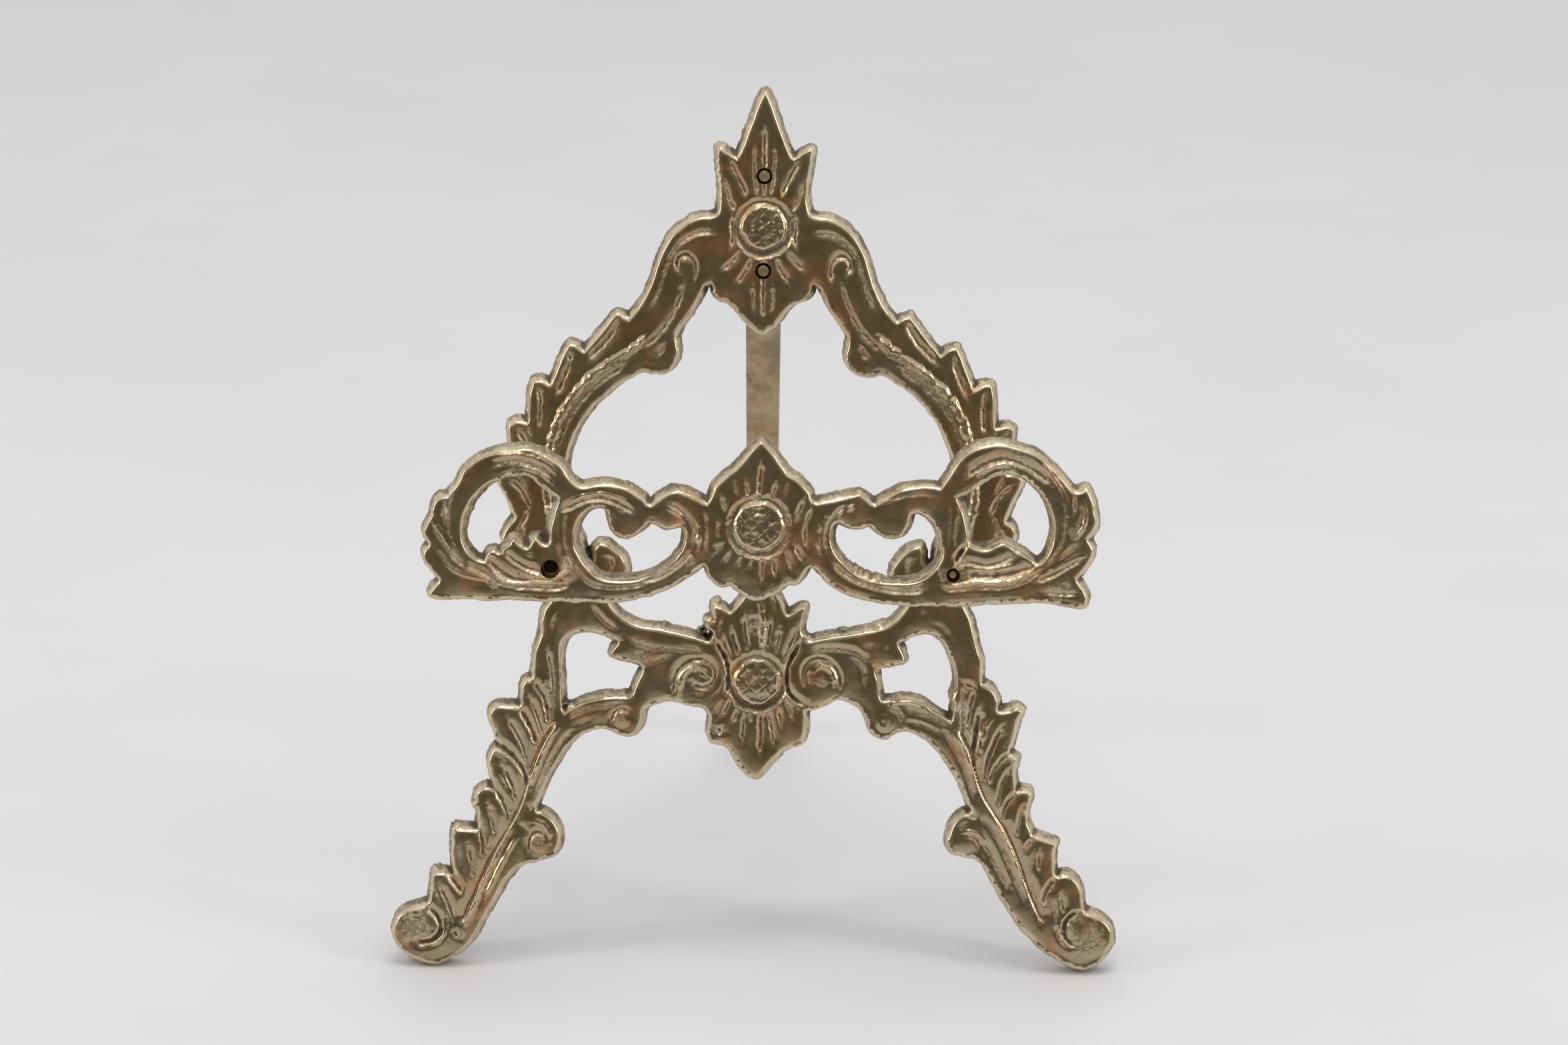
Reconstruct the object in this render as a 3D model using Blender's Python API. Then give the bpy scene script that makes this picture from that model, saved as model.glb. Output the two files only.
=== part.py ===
"""Plate display stand: small sand cast brass easel with a folding rear leg.

Units in the tables are millimetres, the scene is in metres, Z up, front at -Y.
Every casting is laid out in its own plane: u to the right, v up the slope,
w out of the front face. The plane leans back by LEAN.
"""
import math

import bmesh
import bpy
import numpy as np
from mathutils import Matrix, Vector
from mathutils.geometry import delaunay_2d_cdt

MM = 0.001
LEAN = math.radians(14.0)        # front frame and rail lean back together
LIFT = 0.4                       # puts the ground flats of the feet on z = 0
MID_X, MID_Y = -0.4245, 43.243   # middle of the footprint, the origin
FRAME_T = 3.4                    # thickness of the front frame casting
RAIL_T = 3.3                     # thickness of the gallery rail casting
RAIL_W = 23.0                    # front face of the rail, ahead of the frame face
DRAFT = 0.9                      # the back of a casting is this much wider
GAP = 0.3                        # clearance between neighbouring pieces

PEG_L = (-30.2, 62.9)            # ledge peg axes
PEG_R = (28.0, 62.7)
RIVETS = ((0.0, 104.6), (0.0, 118.6))
HINGE_V = 111.0                  # hinge pin height up the slope
HINGE_W = -9.6                   # hinge pin behind the front face
OPEN = math.radians(42.0)        # rear leg to frame angle on its stop
LEG_T = 3.4                      # rear leg thickness
KNUCKLE_R = 3.0

# Gallery rail, outer edge of the front face, clockwise from the middle tip (mm)
RAIL_OUTER = [
    (0.1, 81.4), (1.3, 80.2), (2.2, 79.1), (3.0, 77.9), (3.8, 76.9), (5.0, 76.2),
    (6.1, 75.2), (6.8, 74.4), (7.2, 73.3), (7.9, 72.8), (9.0, 73.0), (10.5, 73.2),
    (12.0, 73.5), (13.4, 73.85), (14.3, 74.0), (15.1, 73.5), (15.9, 72.8), (16.6, 72.5),
    (17.4, 73.0), (18.3, 73.6), (19.3, 74.2), (20.6, 74.8), (22.0, 75.1), (23.5, 75.3),
    (25.0, 75.2), (26.1, 75.1), (26.7, 75.8), (27.5, 77.0), (28.3, 78.3), (29.2, 79.6),
    (30.2, 80.4), (31.3, 81.0), (32.5, 81.35), (33.8, 81.5), (35.2, 81.45), (36.6, 81.1),
    (38.0, 80.7), (39.3, 80.2), (40.4, 79.5), (41.5, 78.5), (42.4, 77.6), (43.3, 76.6),
    (44.2, 75.6), (44.9, 74.9), (45.6, 74.7), (46.4, 74.9), (47.0, 75.2), (47.4, 74.4),
    (47.9, 73.2), (48.0, 72.2), (48.2, 71.2), (48.2, 70.2), (47.9, 69.3), (47.4, 68.6),
    (47.0, 68.1), (47.4, 67.5), (47.8, 66.7), (47.8, 65.8), (47.3, 64.8), (46.6, 63.8),
    (46.0, 63.0), (45.5, 62.4), (45.8, 61.8), (46.4, 61.0), (46.9, 60.2), (47.1, 59.4),
    (46.9, 58.7), (46.0, 58.8), (44.5, 59.1), (43.0, 59.35), (41.5, 59.55), (40.0, 59.6),
    (38.0, 59.55), (36.0, 59.45), (34.0, 59.3), (32.0, 59.15), (30.0, 59.0), (28.0, 58.9),
    (26.0, 58.8), (24.0, 58.8), (22.0, 58.85), (20.0, 58.95), (18.0, 59.2), (16.0, 59.5),
    (14.0, 60.0), (12.5, 60.6), (11.0, 61.5), (10.0, 62.3), (9.0, 63.2), (8.2, 63.9),
    (7.4, 64.1), (6.8, 63.7), (6.4, 63.0), (5.9, 62.2), (5.2, 61.7), (4.6, 61.7),
    (4.1, 61.9), (3.6, 61.5), (2.8, 60.7), (2.0, 60.2), (1.0, 59.8), (0.0, 59.4),
    (-0.7, 59.35), (-1.3, 59.6), (-2.0, 60.0), (-2.8, 60.6), (-3.5, 61.3), (-4.1, 61.6),
    (-5.0, 61.4), (-5.8, 61.4), (-6.4, 62.0), (-6.9, 62.9), (-7.3, 63.9), (-7.8, 64.4),
    (-8.5, 64.1), (-9.5, 63.3), (-11.0, 62.2), (-12.5, 61.3), (-14.0, 60.6), (-16.0, 59.9),
    (-18.0, 59.3), (-20.0, 58.95), (-22.0, 58.85), (-24.0, 58.8), (-26.0, 58.8), (-28.0, 58.85),
    (-30.0, 58.85), (-32.0, 58.9), (-34.0, 58.95), (-36.0, 59.0), (-38.0, 59.0), (-40.0, 59.0),
    (-42.0, 59.0), (-44.0, 58.95), (-45.5, 58.95), (-46.6, 59.0), (-47.1, 59.2), (-46.7, 59.9),
    (-46.2, 60.4), (-45.8, 61.0), (-46.0, 61.7), (-46.4, 62.3), (-47.1, 63.0), (-47.8, 63.8),
    (-48.1, 64.6), (-48.0, 65.3), (-47.5, 65.8), (-47.2, 66.2), (-47.5, 67.0), (-47.8, 67.7),
    (-48.0, 68.4), (-47.7, 69.2), (-47.3, 69.9), (-47.0, 70.5), (-46.9, 71.3), (-46.7, 72.1),
    (-46.2, 72.7), (-45.4, 73.0), (-44.8, 73.1), (-44.3, 73.8), (-43.7, 74.5), (-43.1, 75.4),
    (-42.8, 76.2), (-42.5, 76.9), (-41.6, 77.7), (-40.5, 78.5), (-39.3, 79.1), (-38.0, 79.5),
    (-36.5, 79.8), (-35.2, 80.0), (-34.0, 80.1), (-33.0, 79.9), (-32.0, 79.5), (-31.0, 79.0),
    (-30.0, 78.4), (-29.2, 77.9), (-28.6, 77.2), (-28.1, 76.4), (-27.4, 75.6), (-26.7, 75.0),
    (-26.0, 74.7), (-25.0, 74.7), (-24.0, 74.9), (-23.0, 75.0), (-22.0, 75.0), (-21.0, 74.9),
    (-20.0, 74.7), (-19.0, 74.3), (-18.0, 73.7), (-17.0, 73.0), (-16.3, 72.3), (-15.7, 72.2),
    (-14.7, 72.9), (-13.6, 73.7), (-12.6, 74.15), (-11.8, 74.2), (-10.8, 73.9), (-9.8, 73.5),
    (-8.8, 73.0), (-8.1, 72.6), (-7.5, 72.4), (-7.0, 73.1), (-6.6, 74.1), (-6.1, 75.1),
    (-5.3, 75.9), (-4.3, 76.8), (-3.4, 77.5), (-2.4, 78.6), (-1.5, 79.7), (-0.7, 80.7)]

RAIL_LOOP_L = [
    (-35.0, 77.2), (-36.5, 77.0), (-38.0, 76.4), (-39.3, 75.7), (-40.3, 74.8), (-41.3, 73.7),
    (-42.2, 72.3), (-42.9, 70.7), (-43.2, 69.2), (-43.3, 67.8), (-43.1, 66.7), (-42.6, 65.6),
    (-42.0, 64.8), (-41.2, 64.1), (-40.3, 63.7), (-39.6, 63.6), (-39.2, 64.2), (-38.9, 65.0),
    (-38.5, 65.2), (-37.8, 64.9), (-37.2, 64.9), (-36.8, 65.5), (-36.3, 65.9), (-35.8, 66.2),
    (-35.5, 66.9), (-35.1, 66.4), (-34.3, 65.9), (-33.5, 65.6), (-33.0, 65.9), (-32.6, 66.7),
    (-32.3, 67.1), (-31.9, 66.6), (-31.2, 66.2), (-30.4, 66.2), (-30.0, 66.8), (-29.9, 67.8),
    (-29.8, 69.0), (-29.5, 70.3), (-29.2, 71.5), (-28.8, 72.6), (-28.5, 73.3), (-29.1, 73.9),
    (-30.0, 74.5), (-31.0, 75.3), (-32.0, 76.1), (-33.0, 76.8), (-34.0, 77.15)]

RAIL_KIDNEY_L = [
    (-23.4, 72.5), (-24.6, 72.1), (-25.5, 71.4), (-26.2, 70.5), (-26.7, 69.5), (-27.0, 68.3),
    (-27.0, 67.2), (-26.9, 66.0), (-26.4, 64.9), (-25.7, 63.8), (-24.8, 62.7), (-23.8, 61.8),
    (-22.6, 61.2), (-21.2, 61.0), (-19.8, 61.0), (-18.4, 61.1), (-17.0, 61.4), (-15.5, 61.9),
    (-14.0, 62.6), (-12.8, 63.5), (-11.8, 64.5), (-11.0, 65.6), (-10.6, 66.6), (-10.4, 67.6),
    (-10.3, 68.6), (-10.5, 69.4), (-10.9, 69.9), (-11.6, 70.0), (-12.4, 69.8), (-13.4, 69.5),
    (-14.3, 69.8), (-15.0, 70.2), (-15.6, 70.5), (-16.3, 70.1), (-17.0, 69.3), (-17.9, 68.7),
    (-18.8, 68.3), (-19.6, 68.2), (-20.3, 68.5), (-20.9, 69.2), (-21.2, 70.0), (-21.4, 71.0),
    (-21.7, 72.0), (-22.4, 72.5)]

RAIL_KIDNEY_R = [
    (22.6, 72.2), (23.5, 72.1), (24.4, 71.6), (25.3, 70.7), (26.0, 69.6), (26.5, 68.2),
    (26.8, 66.8), (26.7, 65.4), (26.2, 64.2), (25.4, 63.2), (24.4, 62.3), (23.2, 61.6),
    (21.8, 61.2), (20.4, 61.1), (19.0, 61.1), (17.5, 61.2), (16.0, 61.5), (14.6, 62.0),
    (13.4, 62.7), (12.2, 63.7), (11.3, 64.7), (10.6, 65.7), (10.1, 66.8), (9.9, 67.8),
    (10.0, 68.8), (10.3, 69.8), (10.8, 70.5), (11.4, 70.8), (12.2, 70.4), (13.0, 70.05),
    (14.0, 69.9), (15.0, 70.2), (15.8, 70.6), (16.3, 70.2), (17.0, 69.5), (17.8, 69.0),
    (18.8, 68.7), (19.7, 68.7), (20.6, 69.1), (21.2, 70.0), (21.4, 71.0), (21.8, 71.9)]

RAIL_LOOP_R = [
    (27.8, 74.0), (29.2, 75.0), (30.5, 75.8), (32.0, 76.9), (33.3, 77.7), (34.7, 78.1),
    (36.0, 78.15), (37.3, 77.9), (38.6, 77.3), (39.8, 76.4), (40.9, 75.2), (41.7, 73.9),
    (42.3, 72.5), (42.7, 71.0), (42.8, 69.5), (42.7, 68.2), (42.5, 67.0), (42.0, 65.9),
    (41.3, 64.9), (40.5, 64.3), (39.9, 64.1), (39.3, 64.6), (38.3, 65.4), (37.5, 65.9),
    (36.7, 66.2), (35.9, 66.9), (35.1, 67.2), (34.4, 67.0), (33.5, 66.5), (32.5, 66.2),
    (31.5, 66.3), (30.6, 66.6), (30.1, 67.0), (29.8, 67.7), (29.7, 68.7), (29.5, 69.8),
    (29.2, 71.0), (28.8, 72.2), (28.3, 73.3)]

# Front frame, outer edge of the front face, clockwise from the top tip (mm)
FRAME_OUTER = [
    (0.0, 130.6), (0.8, 128.8), (1.6, 126.6), (2.4, 124.4), (3.3, 122.2), (4.1, 120.8),
    (4.9, 121.2), (5.8, 121.9), (6.7, 122.4), (6.5, 120.6), (6.2, 118.4), (6.0, 116.2),
    (6.1, 114.2), (6.6, 112.8), (7.7, 112.3), (9.3, 112.2), (11.2, 111.4), (13.0, 109.8),
    (14.4, 107.5), (15.3, 105.0), (16.0, 102.7), (17.0, 100.5), (18.4, 98.4), (19.8, 96.9),
    (20.7, 97.5), (21.6, 97.8), (22.6, 96.5), (24.0, 94.7), (25.4, 93.0), (26.3, 91.9),
    (26.9, 92.4), (27.7, 93.0), (28.6, 93.2), (29.2, 91.8), (29.9, 90.0), (30.6, 88.2),
    (31.1, 86.9), (31.9, 87.3), (32.9, 87.8), (33.8, 87.7), (34.0, 86.2), (34.1, 84.4),
    (34.2, 82.7), (34.3, 81.2), (35.1, 81.4), (36.2, 81.7), (37.1, 81.4), (36.9, 79.6),
    (36.5, 77.6), (36.1, 75.9), (35.9, 74.5), (36.7, 74.5), (37.8, 74.5), (38.5, 73.9),
    (37.9, 72.2), (37.0, 70.3), (36.3, 68.7), (35.9, 67.5), (36.6, 67.2), (37.3, 66.7),
    (37.5, 65.6), (36.9, 64.1), (35.4, 62.3), (33.4, 60.6), (31.4, 59.0), (30.2, 57.6),
    (29.8, 56.3), (30.0, 55.2), (30.5, 54.1), (31.0, 53.1), (31.3, 52.1), (31.6, 51.0),
    (31.9, 49.8), (32.2, 48.6), (32.6, 47.5), (32.8, 46.5), (32.8, 45.4), (32.8, 44.3),
    (33.0, 43.2), (33.7, 42.8), (34.4, 42.4), (35.0, 41.7), (35.3, 40.9), (35.4, 40.0),
    (35.3, 39.1), (36.0, 38.9), (36.8, 39.0), (37.7, 39.2), (38.5, 39.5), (39.0, 39.2),
    (38.6, 38.3), (38.3, 37.4), (38.1, 36.4), (37.9, 35.4), (37.6, 34.4), (37.2, 33.4),
    (37.2, 32.7), (37.8, 32.4), (38.4, 32.0), (38.3, 31.4), (38.0, 30.6), (37.9, 29.6),
    (38.0, 28.6), (38.1, 27.6), (38.3, 26.8), (39.0, 26.9), (39.7, 27.0), (40.4, 26.8),
    (40.4, 26.0), (40.2, 25.0), (40.0, 24.0), (39.9, 23.0), (40.1, 22.2), (40.5, 21.4),
    (40.9, 20.4), (41.7, 20.1), (42.6, 19.8), (43.5, 19.5), (44.4, 19.2), (44.2, 18.5),
    (44.1, 17.6), (44.1, 16.6), (44.1, 15.6), (44.3, 14.6), (44.8, 14.1), (45.6, 14.2),
    (46.5, 14.2), (47.3, 13.8), (47.9, 13.0), (48.2, 12.0), (48.3, 10.9), (48.5, 9.8),
    (48.9, 8.9), (49.7, 8.5), (50.6, 8.2), (51.5, 7.8), (52.2, 7.2), (52.7, 6.4),
    (52.95, 5.4), (52.9, 4.4), (52.5, 3.5), (51.9, 2.6), (51.0, 1.8), (50.0, 1.25),
    (49.0, 1.0), (48.0, 1.15), (46.8, 1.6), (45.6, 2.2), (44.4, 3.0), (43.2, 3.9),
    (42.0, 5.0), (40.8, 6.2), (39.7, 7.6), (38.7, 9.0), (37.8, 10.4), (37.0, 11.7),
    (36.2, 13.1), (35.5, 14.4), (34.8, 15.7), (34.1, 16.7), (33.3, 17.4), (32.4, 17.8),
    (31.4, 17.9), (30.2, 18.0), (29.4, 18.3), (29.0, 19.1), (29.0, 20.1), (29.3, 21.1),
    (29.7, 22.0), (30.3, 22.8), (31.1, 23.4), (32.0, 23.6), (32.4, 24.1), (32.1, 25.0),
    (31.7, 26.2), (31.2, 27.4), (30.7, 28.6), (30.0, 29.9), (29.2, 31.1), (28.3, 32.4),
    (27.4, 33.5), (26.5, 34.5), (25.5, 35.3), (24.5, 35.9), (23.4, 36.4), (22.4, 36.75),
    (21.4, 36.8), (20.7, 36.6), (20.0, 36.2), (19.3, 35.7), (18.5, 35.6), (17.8, 35.9),
    (17.2, 36.6), (16.9, 37.4), (16.6, 38.4), (16.0, 39.4), (15.2, 40.2), (14.3, 40.8),
    (13.4, 41.2), (12.4, 41.4), (11.4, 41.3), (10.5, 40.8), (9.5, 40.3), (8.5, 40.0),
    (7.6, 39.7), (6.9, 39.3), (6.7, 38.5), (6.7, 37.5), (6.7, 36.5), (6.6, 35.4),
    (6.3, 34.6), (5.6, 34.3), (4.8, 34.0), (4.0, 33.5), (3.2, 32.9), (2.4, 32.1),
    (1.7, 31.3), (1.1, 30.5), (0.4, 29.8), (-0.3, 29.4), (-0.9, 29.6), (-1.6, 30.2),
    (-2.3, 31.1), (-2.9, 32.1), (-3.5, 33.1), (-4.2, 33.9), (-5.0, 34.4), (-5.8, 34.6),
    (-6.6, 34.7), (-6.9, 35.5), (-6.9, 36.6), (-6.8, 37.6), (-6.9, 38.6), (-7.2, 39.3),
    (-7.9, 39.7), (-8.8, 40.0), (-9.8, 40.1), (-10.8, 40.3), (-11.8, 40.7), (-12.8, 41.0),
    (-13.7, 40.9), (-14.8, 40.6), (-15.8, 40.3), (-16.6, 39.8), (-17.2, 39.2), (-17.5, 38.4),
    (-17.6, 37.5), (-17.8, 36.7), (-18.2, 36.0), (-18.8, 35.6), (-19.6, 35.6), (-20.4, 35.8),
    (-21.1, 36.2), (-22.0, 36.5), (-23.0, 36.6), (-24.2, 36.5), (-25.4, 36.1), (-26.6, 35.5),
    (-27.7, 34.6), (-28.6, 33.6), (-29.3, 32.6), (-29.9, 31.5), (-30.6, 30.4), (-31.2, 29.3),
    (-31.8, 28.2), (-32.3, 27.0), (-32.7, 25.9), (-33.1, 24.8), (-33.3, 23.8), (-33.0, 23.0),
    (-32.3, 22.9), (-31.5, 22.5), (-30.7, 21.8), (-30.2, 21.0), (-29.9, 20.0), (-29.8, 19.0),
    (-30.0, 18.0), (-30.4, 17.4), (-31.2, 17.1), (-32.2, 16.7), (-33.2, 16.3), (-34.2, 16.1),
    (-35.1, 15.8), (-36.0, 15.1), (-36.9, 14.0), (-37.8, 12.8), (-38.5, 11.6), (-39.1, 10.4),
    (-39.7, 9.2), (-40.4, 8.0), (-41.1, 6.8), (-41.7, 5.6), (-42.4, 4.4), (-43.3, 3.3),
    (-44.2, 2.5), (-45.2, 1.8), (-46.2, 1.2), (-47.2, 0.8), (-48.2, 0.65), (-49.2, 0.75),
    (-50.2, 1.05), (-51.2, 1.6), (-52.1, 2.2), (-52.9, 3.0), (-53.5, 3.8), (-53.8, 4.8),
    (-53.7, 5.8), (-53.3, 6.7), (-52.7, 7.4), (-51.9, 7.9), (-51.0, 8.15), (-50.0, 8.5),
    (-49.3, 8.8), (-48.7, 9.1), (-48.4, 9.8), (-48.2, 10.8), (-48.1, 11.8), (-48.1, 12.7),
    (-48.0, 13.5), (-47.3, 13.6), (-46.5, 13.6), (-45.7, 13.3), (-45.1, 12.9), (-44.6, 12.7),
    (-44.7, 13.4), (-44.9, 14.3), (-45.0, 15.3), (-45.1, 16.3), (-45.1, 17.3), (-45.0, 18.3),
    (-45.0, 19.3), (-44.8, 20.2), (-43.6, 20.2), (-42.5, 20.2), (-41.6, 20.1), (-41.1, 20.4),
    (-41.2, 21.2), (-41.2, 22.1), (-41.2, 23.0), (-41.3, 24.0), (-41.4, 25.0), (-41.5, 25.9),
    (-41.1, 26.3), (-40.5, 26.6), (-39.9, 26.5), (-39.3, 26.3), (-38.9, 26.5), (-39.0, 27.2),
    (-39.1, 28.1), (-39.3, 29.0), (-39.5, 30.0), (-39.6, 31.0), (-39.4, 32.0), (-39.0, 32.6),
    (-38.4, 32.6), (-37.9, 33.1), (-38.2, 34.1), (-38.6, 35.2), (-39.0, 36.3), (-39.3, 37.4),
    (-39.4, 38.3), (-38.9, 38.9), (-38.2, 39.0), (-37.4, 38.95), (-36.5, 38.9), (-35.6, 38.8),
    (-35.1, 39.1), (-34.95, 40.0), (-34.85, 41.1), (-34.8, 42.1), (-34.4, 42.8), (-33.7, 43.0),
    (-33.3, 43.5), (-33.2, 44.4), (-33.1, 45.6), (-33.0, 46.8), (-32.8, 48.0), (-32.3, 49.3),
    (-32.0, 50.3), (-31.9, 51.3), (-31.9, 52.5), (-31.6, 53.7), (-30.9, 54.7), (-30.3, 55.6),
    (-30.2, 56.8), (-30.6, 58.0), (-31.8, 59.4), (-33.8, 61.0), (-35.8, 62.4), (-37.3, 63.6),
    (-37.8, 64.7), (-37.3, 65.9), (-36.5, 66.8), (-35.9, 67.4), (-36.3, 68.8), (-37.1, 70.5),
    (-38.1, 72.4), (-38.6, 73.8), (-37.9, 74.4), (-36.8, 74.6), (-36.0, 74.6), (-36.2, 75.9),
    (-36.5, 77.5), (-36.9, 79.5), (-37.0, 81.2), (-36.1, 81.6), (-35.1, 81.4), (-34.3, 81.3),
    (-34.1, 82.8), (-34.1, 84.5), (-33.9, 86.3), (-33.6, 87.6), (-32.7, 87.7), (-31.8, 87.2),
    (-31.1, 87.0), (-30.5, 88.3), (-29.8, 90.1), (-29.1, 91.9), (-28.4, 93.1), (-27.6, 92.9),
    (-26.8, 92.3), (-26.2, 92.0), (-25.3, 93.1), (-23.9, 94.8), (-22.5, 96.6), (-21.5, 97.8),
    (-20.6, 97.4), (-19.7, 96.9), (-18.4, 98.5), (-17.1, 100.6), (-16.1, 102.8), (-15.4, 105.1),
    (-14.4, 107.6), (-13.0, 109.8), (-11.2, 111.4), (-9.3, 112.2), (-7.7, 112.3), (-6.6, 112.8),
    (-6.2, 114.2), (-6.1, 116.2), (-6.2, 118.4), (-6.5, 120.6), (-6.6, 122.4), (-5.7, 121.9),
    (-4.8, 121.3), (-4.0, 120.9), (-3.2, 122.3), (-2.4, 124.4), (-1.6, 126.6), (-0.8, 128.8)]

# Lyre opening between the two upper scrolls, clockwise from the lower flower's top tip
FRAME_LYRE = [
    (0.1, 60.0), (-0.6, 58.8), (-1.2, 57.4), (-1.9, 56.1), (-2.4, 55.4), (-3.0, 54.6),
    (-3.6, 53.9), (-4.2, 53.4), (-5.0, 53.6), (-5.7, 54.0), (-6.5, 54.2), (-6.4, 53.0),
    (-6.4, 52.0), (-6.4, 51.0), (-6.5, 50.0), (-6.9, 49.2), (-7.6, 49.0), (-8.6, 49.3),
    (-10.0, 49.7), (-12.0, 50.2), (-14.0, 50.6), (-16.0, 50.95), (-18.0, 51.3), (-19.4, 51.8),
    (-20.6, 52.5), (-21.6, 53.4), (-22.4, 54.5), (-22.9, 55.5), (-22.7, 56.6), (-21.8, 57.5),
    (-20.7, 58.3), (-20.1, 59.4), (-20.2, 60.6), (-20.8, 61.7), (-21.8, 62.6), (-22.8, 63.3),
    (-23.7, 63.5), (-24.2, 62.8), (-24.3, 61.8), (-24.5, 60.8), (-25.3, 60.3), (-26.2, 60.8),
    (-26.5, 61.8), (-26.7, 63.2), (-27.2, 65.0), (-28.0, 67.0), (-28.8, 69.2), (-29.3, 71.6),
    (-29.4, 74.1), (-29.1, 76.6), (-28.4, 79.1), (-27.4, 81.4), (-26.0, 83.6), (-24.2, 85.7),
    (-22.0, 87.6), (-19.6, 89.2), (-17.4, 90.2), (-15.8, 89.8), (-14.5, 89.9), (-13.3, 90.9),
    (-12.8, 92.3), (-13.0, 93.7), (-13.1, 95.0), (-12.4, 96.5), (-11.3, 98.1), (-10.2, 99.8),
    (-9.3, 101.5), (-8.5, 102.9), (-7.6, 103.3), (-6.9, 102.7), (-6.8, 101.6), (-6.3, 100.9),
    (-5.4, 100.7), (-4.4, 100.1), (-3.4, 99.1), (-2.4, 97.9), (-1.4, 96.8), (-0.1, 96.0),
    (1.2, 96.8), (2.3, 97.9), (3.3, 99.1), (4.3, 100.1), (5.3, 100.7), (6.3, 101.0),
    (6.8, 101.7), (6.9, 102.7), (7.6, 103.3), (8.5, 102.9), (9.3, 101.5), (10.2, 99.8),
    (11.3, 98.1), (12.4, 96.5), (13.1, 95.0), (13.0, 93.7), (12.8, 92.3), (13.4, 90.9),
    (14.6, 89.9), (15.9, 89.8), (17.4, 90.2), (19.6, 89.2), (22.0, 87.6), (24.2, 85.7),
    (26.0, 83.6), (27.4, 81.4), (28.4, 79.1), (29.1, 76.6), (29.4, 74.1), (29.3, 71.6),
    (28.8, 69.2), (28.0, 67.0), (27.1, 65.0), (26.5, 63.3), (26.3, 61.9), (26.0, 60.8),
    (25.2, 60.2), (24.4, 60.7), (24.0, 61.7), (23.9, 62.8), (23.6, 63.6), (22.7, 63.4),
    (21.7, 62.6), (20.8, 61.6), (20.1, 60.5), (20.0, 59.4), (20.5, 58.4), (21.6, 57.6),
    (22.6, 56.8), (22.8, 55.6), (22.1, 54.5), (21.3, 53.4), (20.4, 52.4), (19.3, 51.7),
    (18.0, 51.2), (16.0, 50.8), (14.0, 50.4), (12.0, 50.1), (10.0, 49.7), (8.5, 49.4),
    (7.4, 49.2), (6.5, 49.7), (6.0, 50.6), (6.05, 51.8), (6.25, 53.0), (6.6, 54.3),
    (6.0, 54.0), (5.3, 53.6), (4.5, 53.1), (3.9, 53.0), (3.2, 54.3), (2.5, 55.8),
    (1.9, 56.9), (1.4, 57.9), (0.8, 59.1)]

# Heart shaped openings in the shoulders, clockwise from the top
FRAME_HEART_L = [
    (-24.6, 51.1), (-26.0, 51.1), (-27.4, 50.8), (-28.6, 50.1), (-29.3, 49.2), (-29.7, 48.0),
    (-29.8, 46.6), (-29.8, 45.0), (-29.7, 43.4), (-29.6, 41.8), (-29.6, 40.2), (-29.4, 38.7),
    (-29.0, 37.9), (-28.4, 38.2), (-27.6, 38.7), (-26.6, 39.2), (-25.6, 39.7), (-24.5, 40.1),
    (-23.2, 40.4), (-21.8, 40.5), (-20.4, 40.5), (-19.2, 40.6), (-18.5, 41.1), (-18.1, 42.1),
    (-17.6, 43.3), (-17.1, 44.3), (-16.8, 45.2), (-17.3, 46.0), (-18.3, 46.5), (-19.4, 46.8),
    (-20.5, 47.0), (-21.6, 47.3), (-21.3, 48.0), (-20.7, 48.7), (-20.2, 49.2), (-20.8, 49.6),
    (-21.5, 49.9), (-22.3, 50.4), (-23.3, 50.9)]

FRAME_HEART_R = [
    (24.5, 51.4), (25.6, 51.4), (26.6, 50.9), (27.5, 50.1), (28.3, 49.0), (28.9, 47.8),
    (29.4, 46.4), (29.7, 45.0), (29.8, 43.4), (29.7, 41.8), (29.5, 40.2), (29.3, 38.6),
    (29.0, 37.2), (28.3, 37.6), (27.4, 38.1), (26.5, 38.6), (25.6, 39.2), (24.7, 39.8),
    (23.7, 40.3), (22.6, 40.6), (21.4, 40.6), (20.2, 40.4), (19.0, 40.3), (18.1, 40.5),
    (17.8, 41.4), (17.6, 42.5), (17.4, 43.7), (17.1, 44.8), (16.8, 45.9), (17.4, 46.5),
    (18.3, 46.5), (19.4, 46.5), (20.5, 46.6), (21.4, 46.8), (21.2, 47.6), (20.8, 48.4),
    (20.4, 49.2), (20.9, 49.9), (21.6, 50.5), (22.5, 51.0), (23.4, 51.3)]

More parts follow.
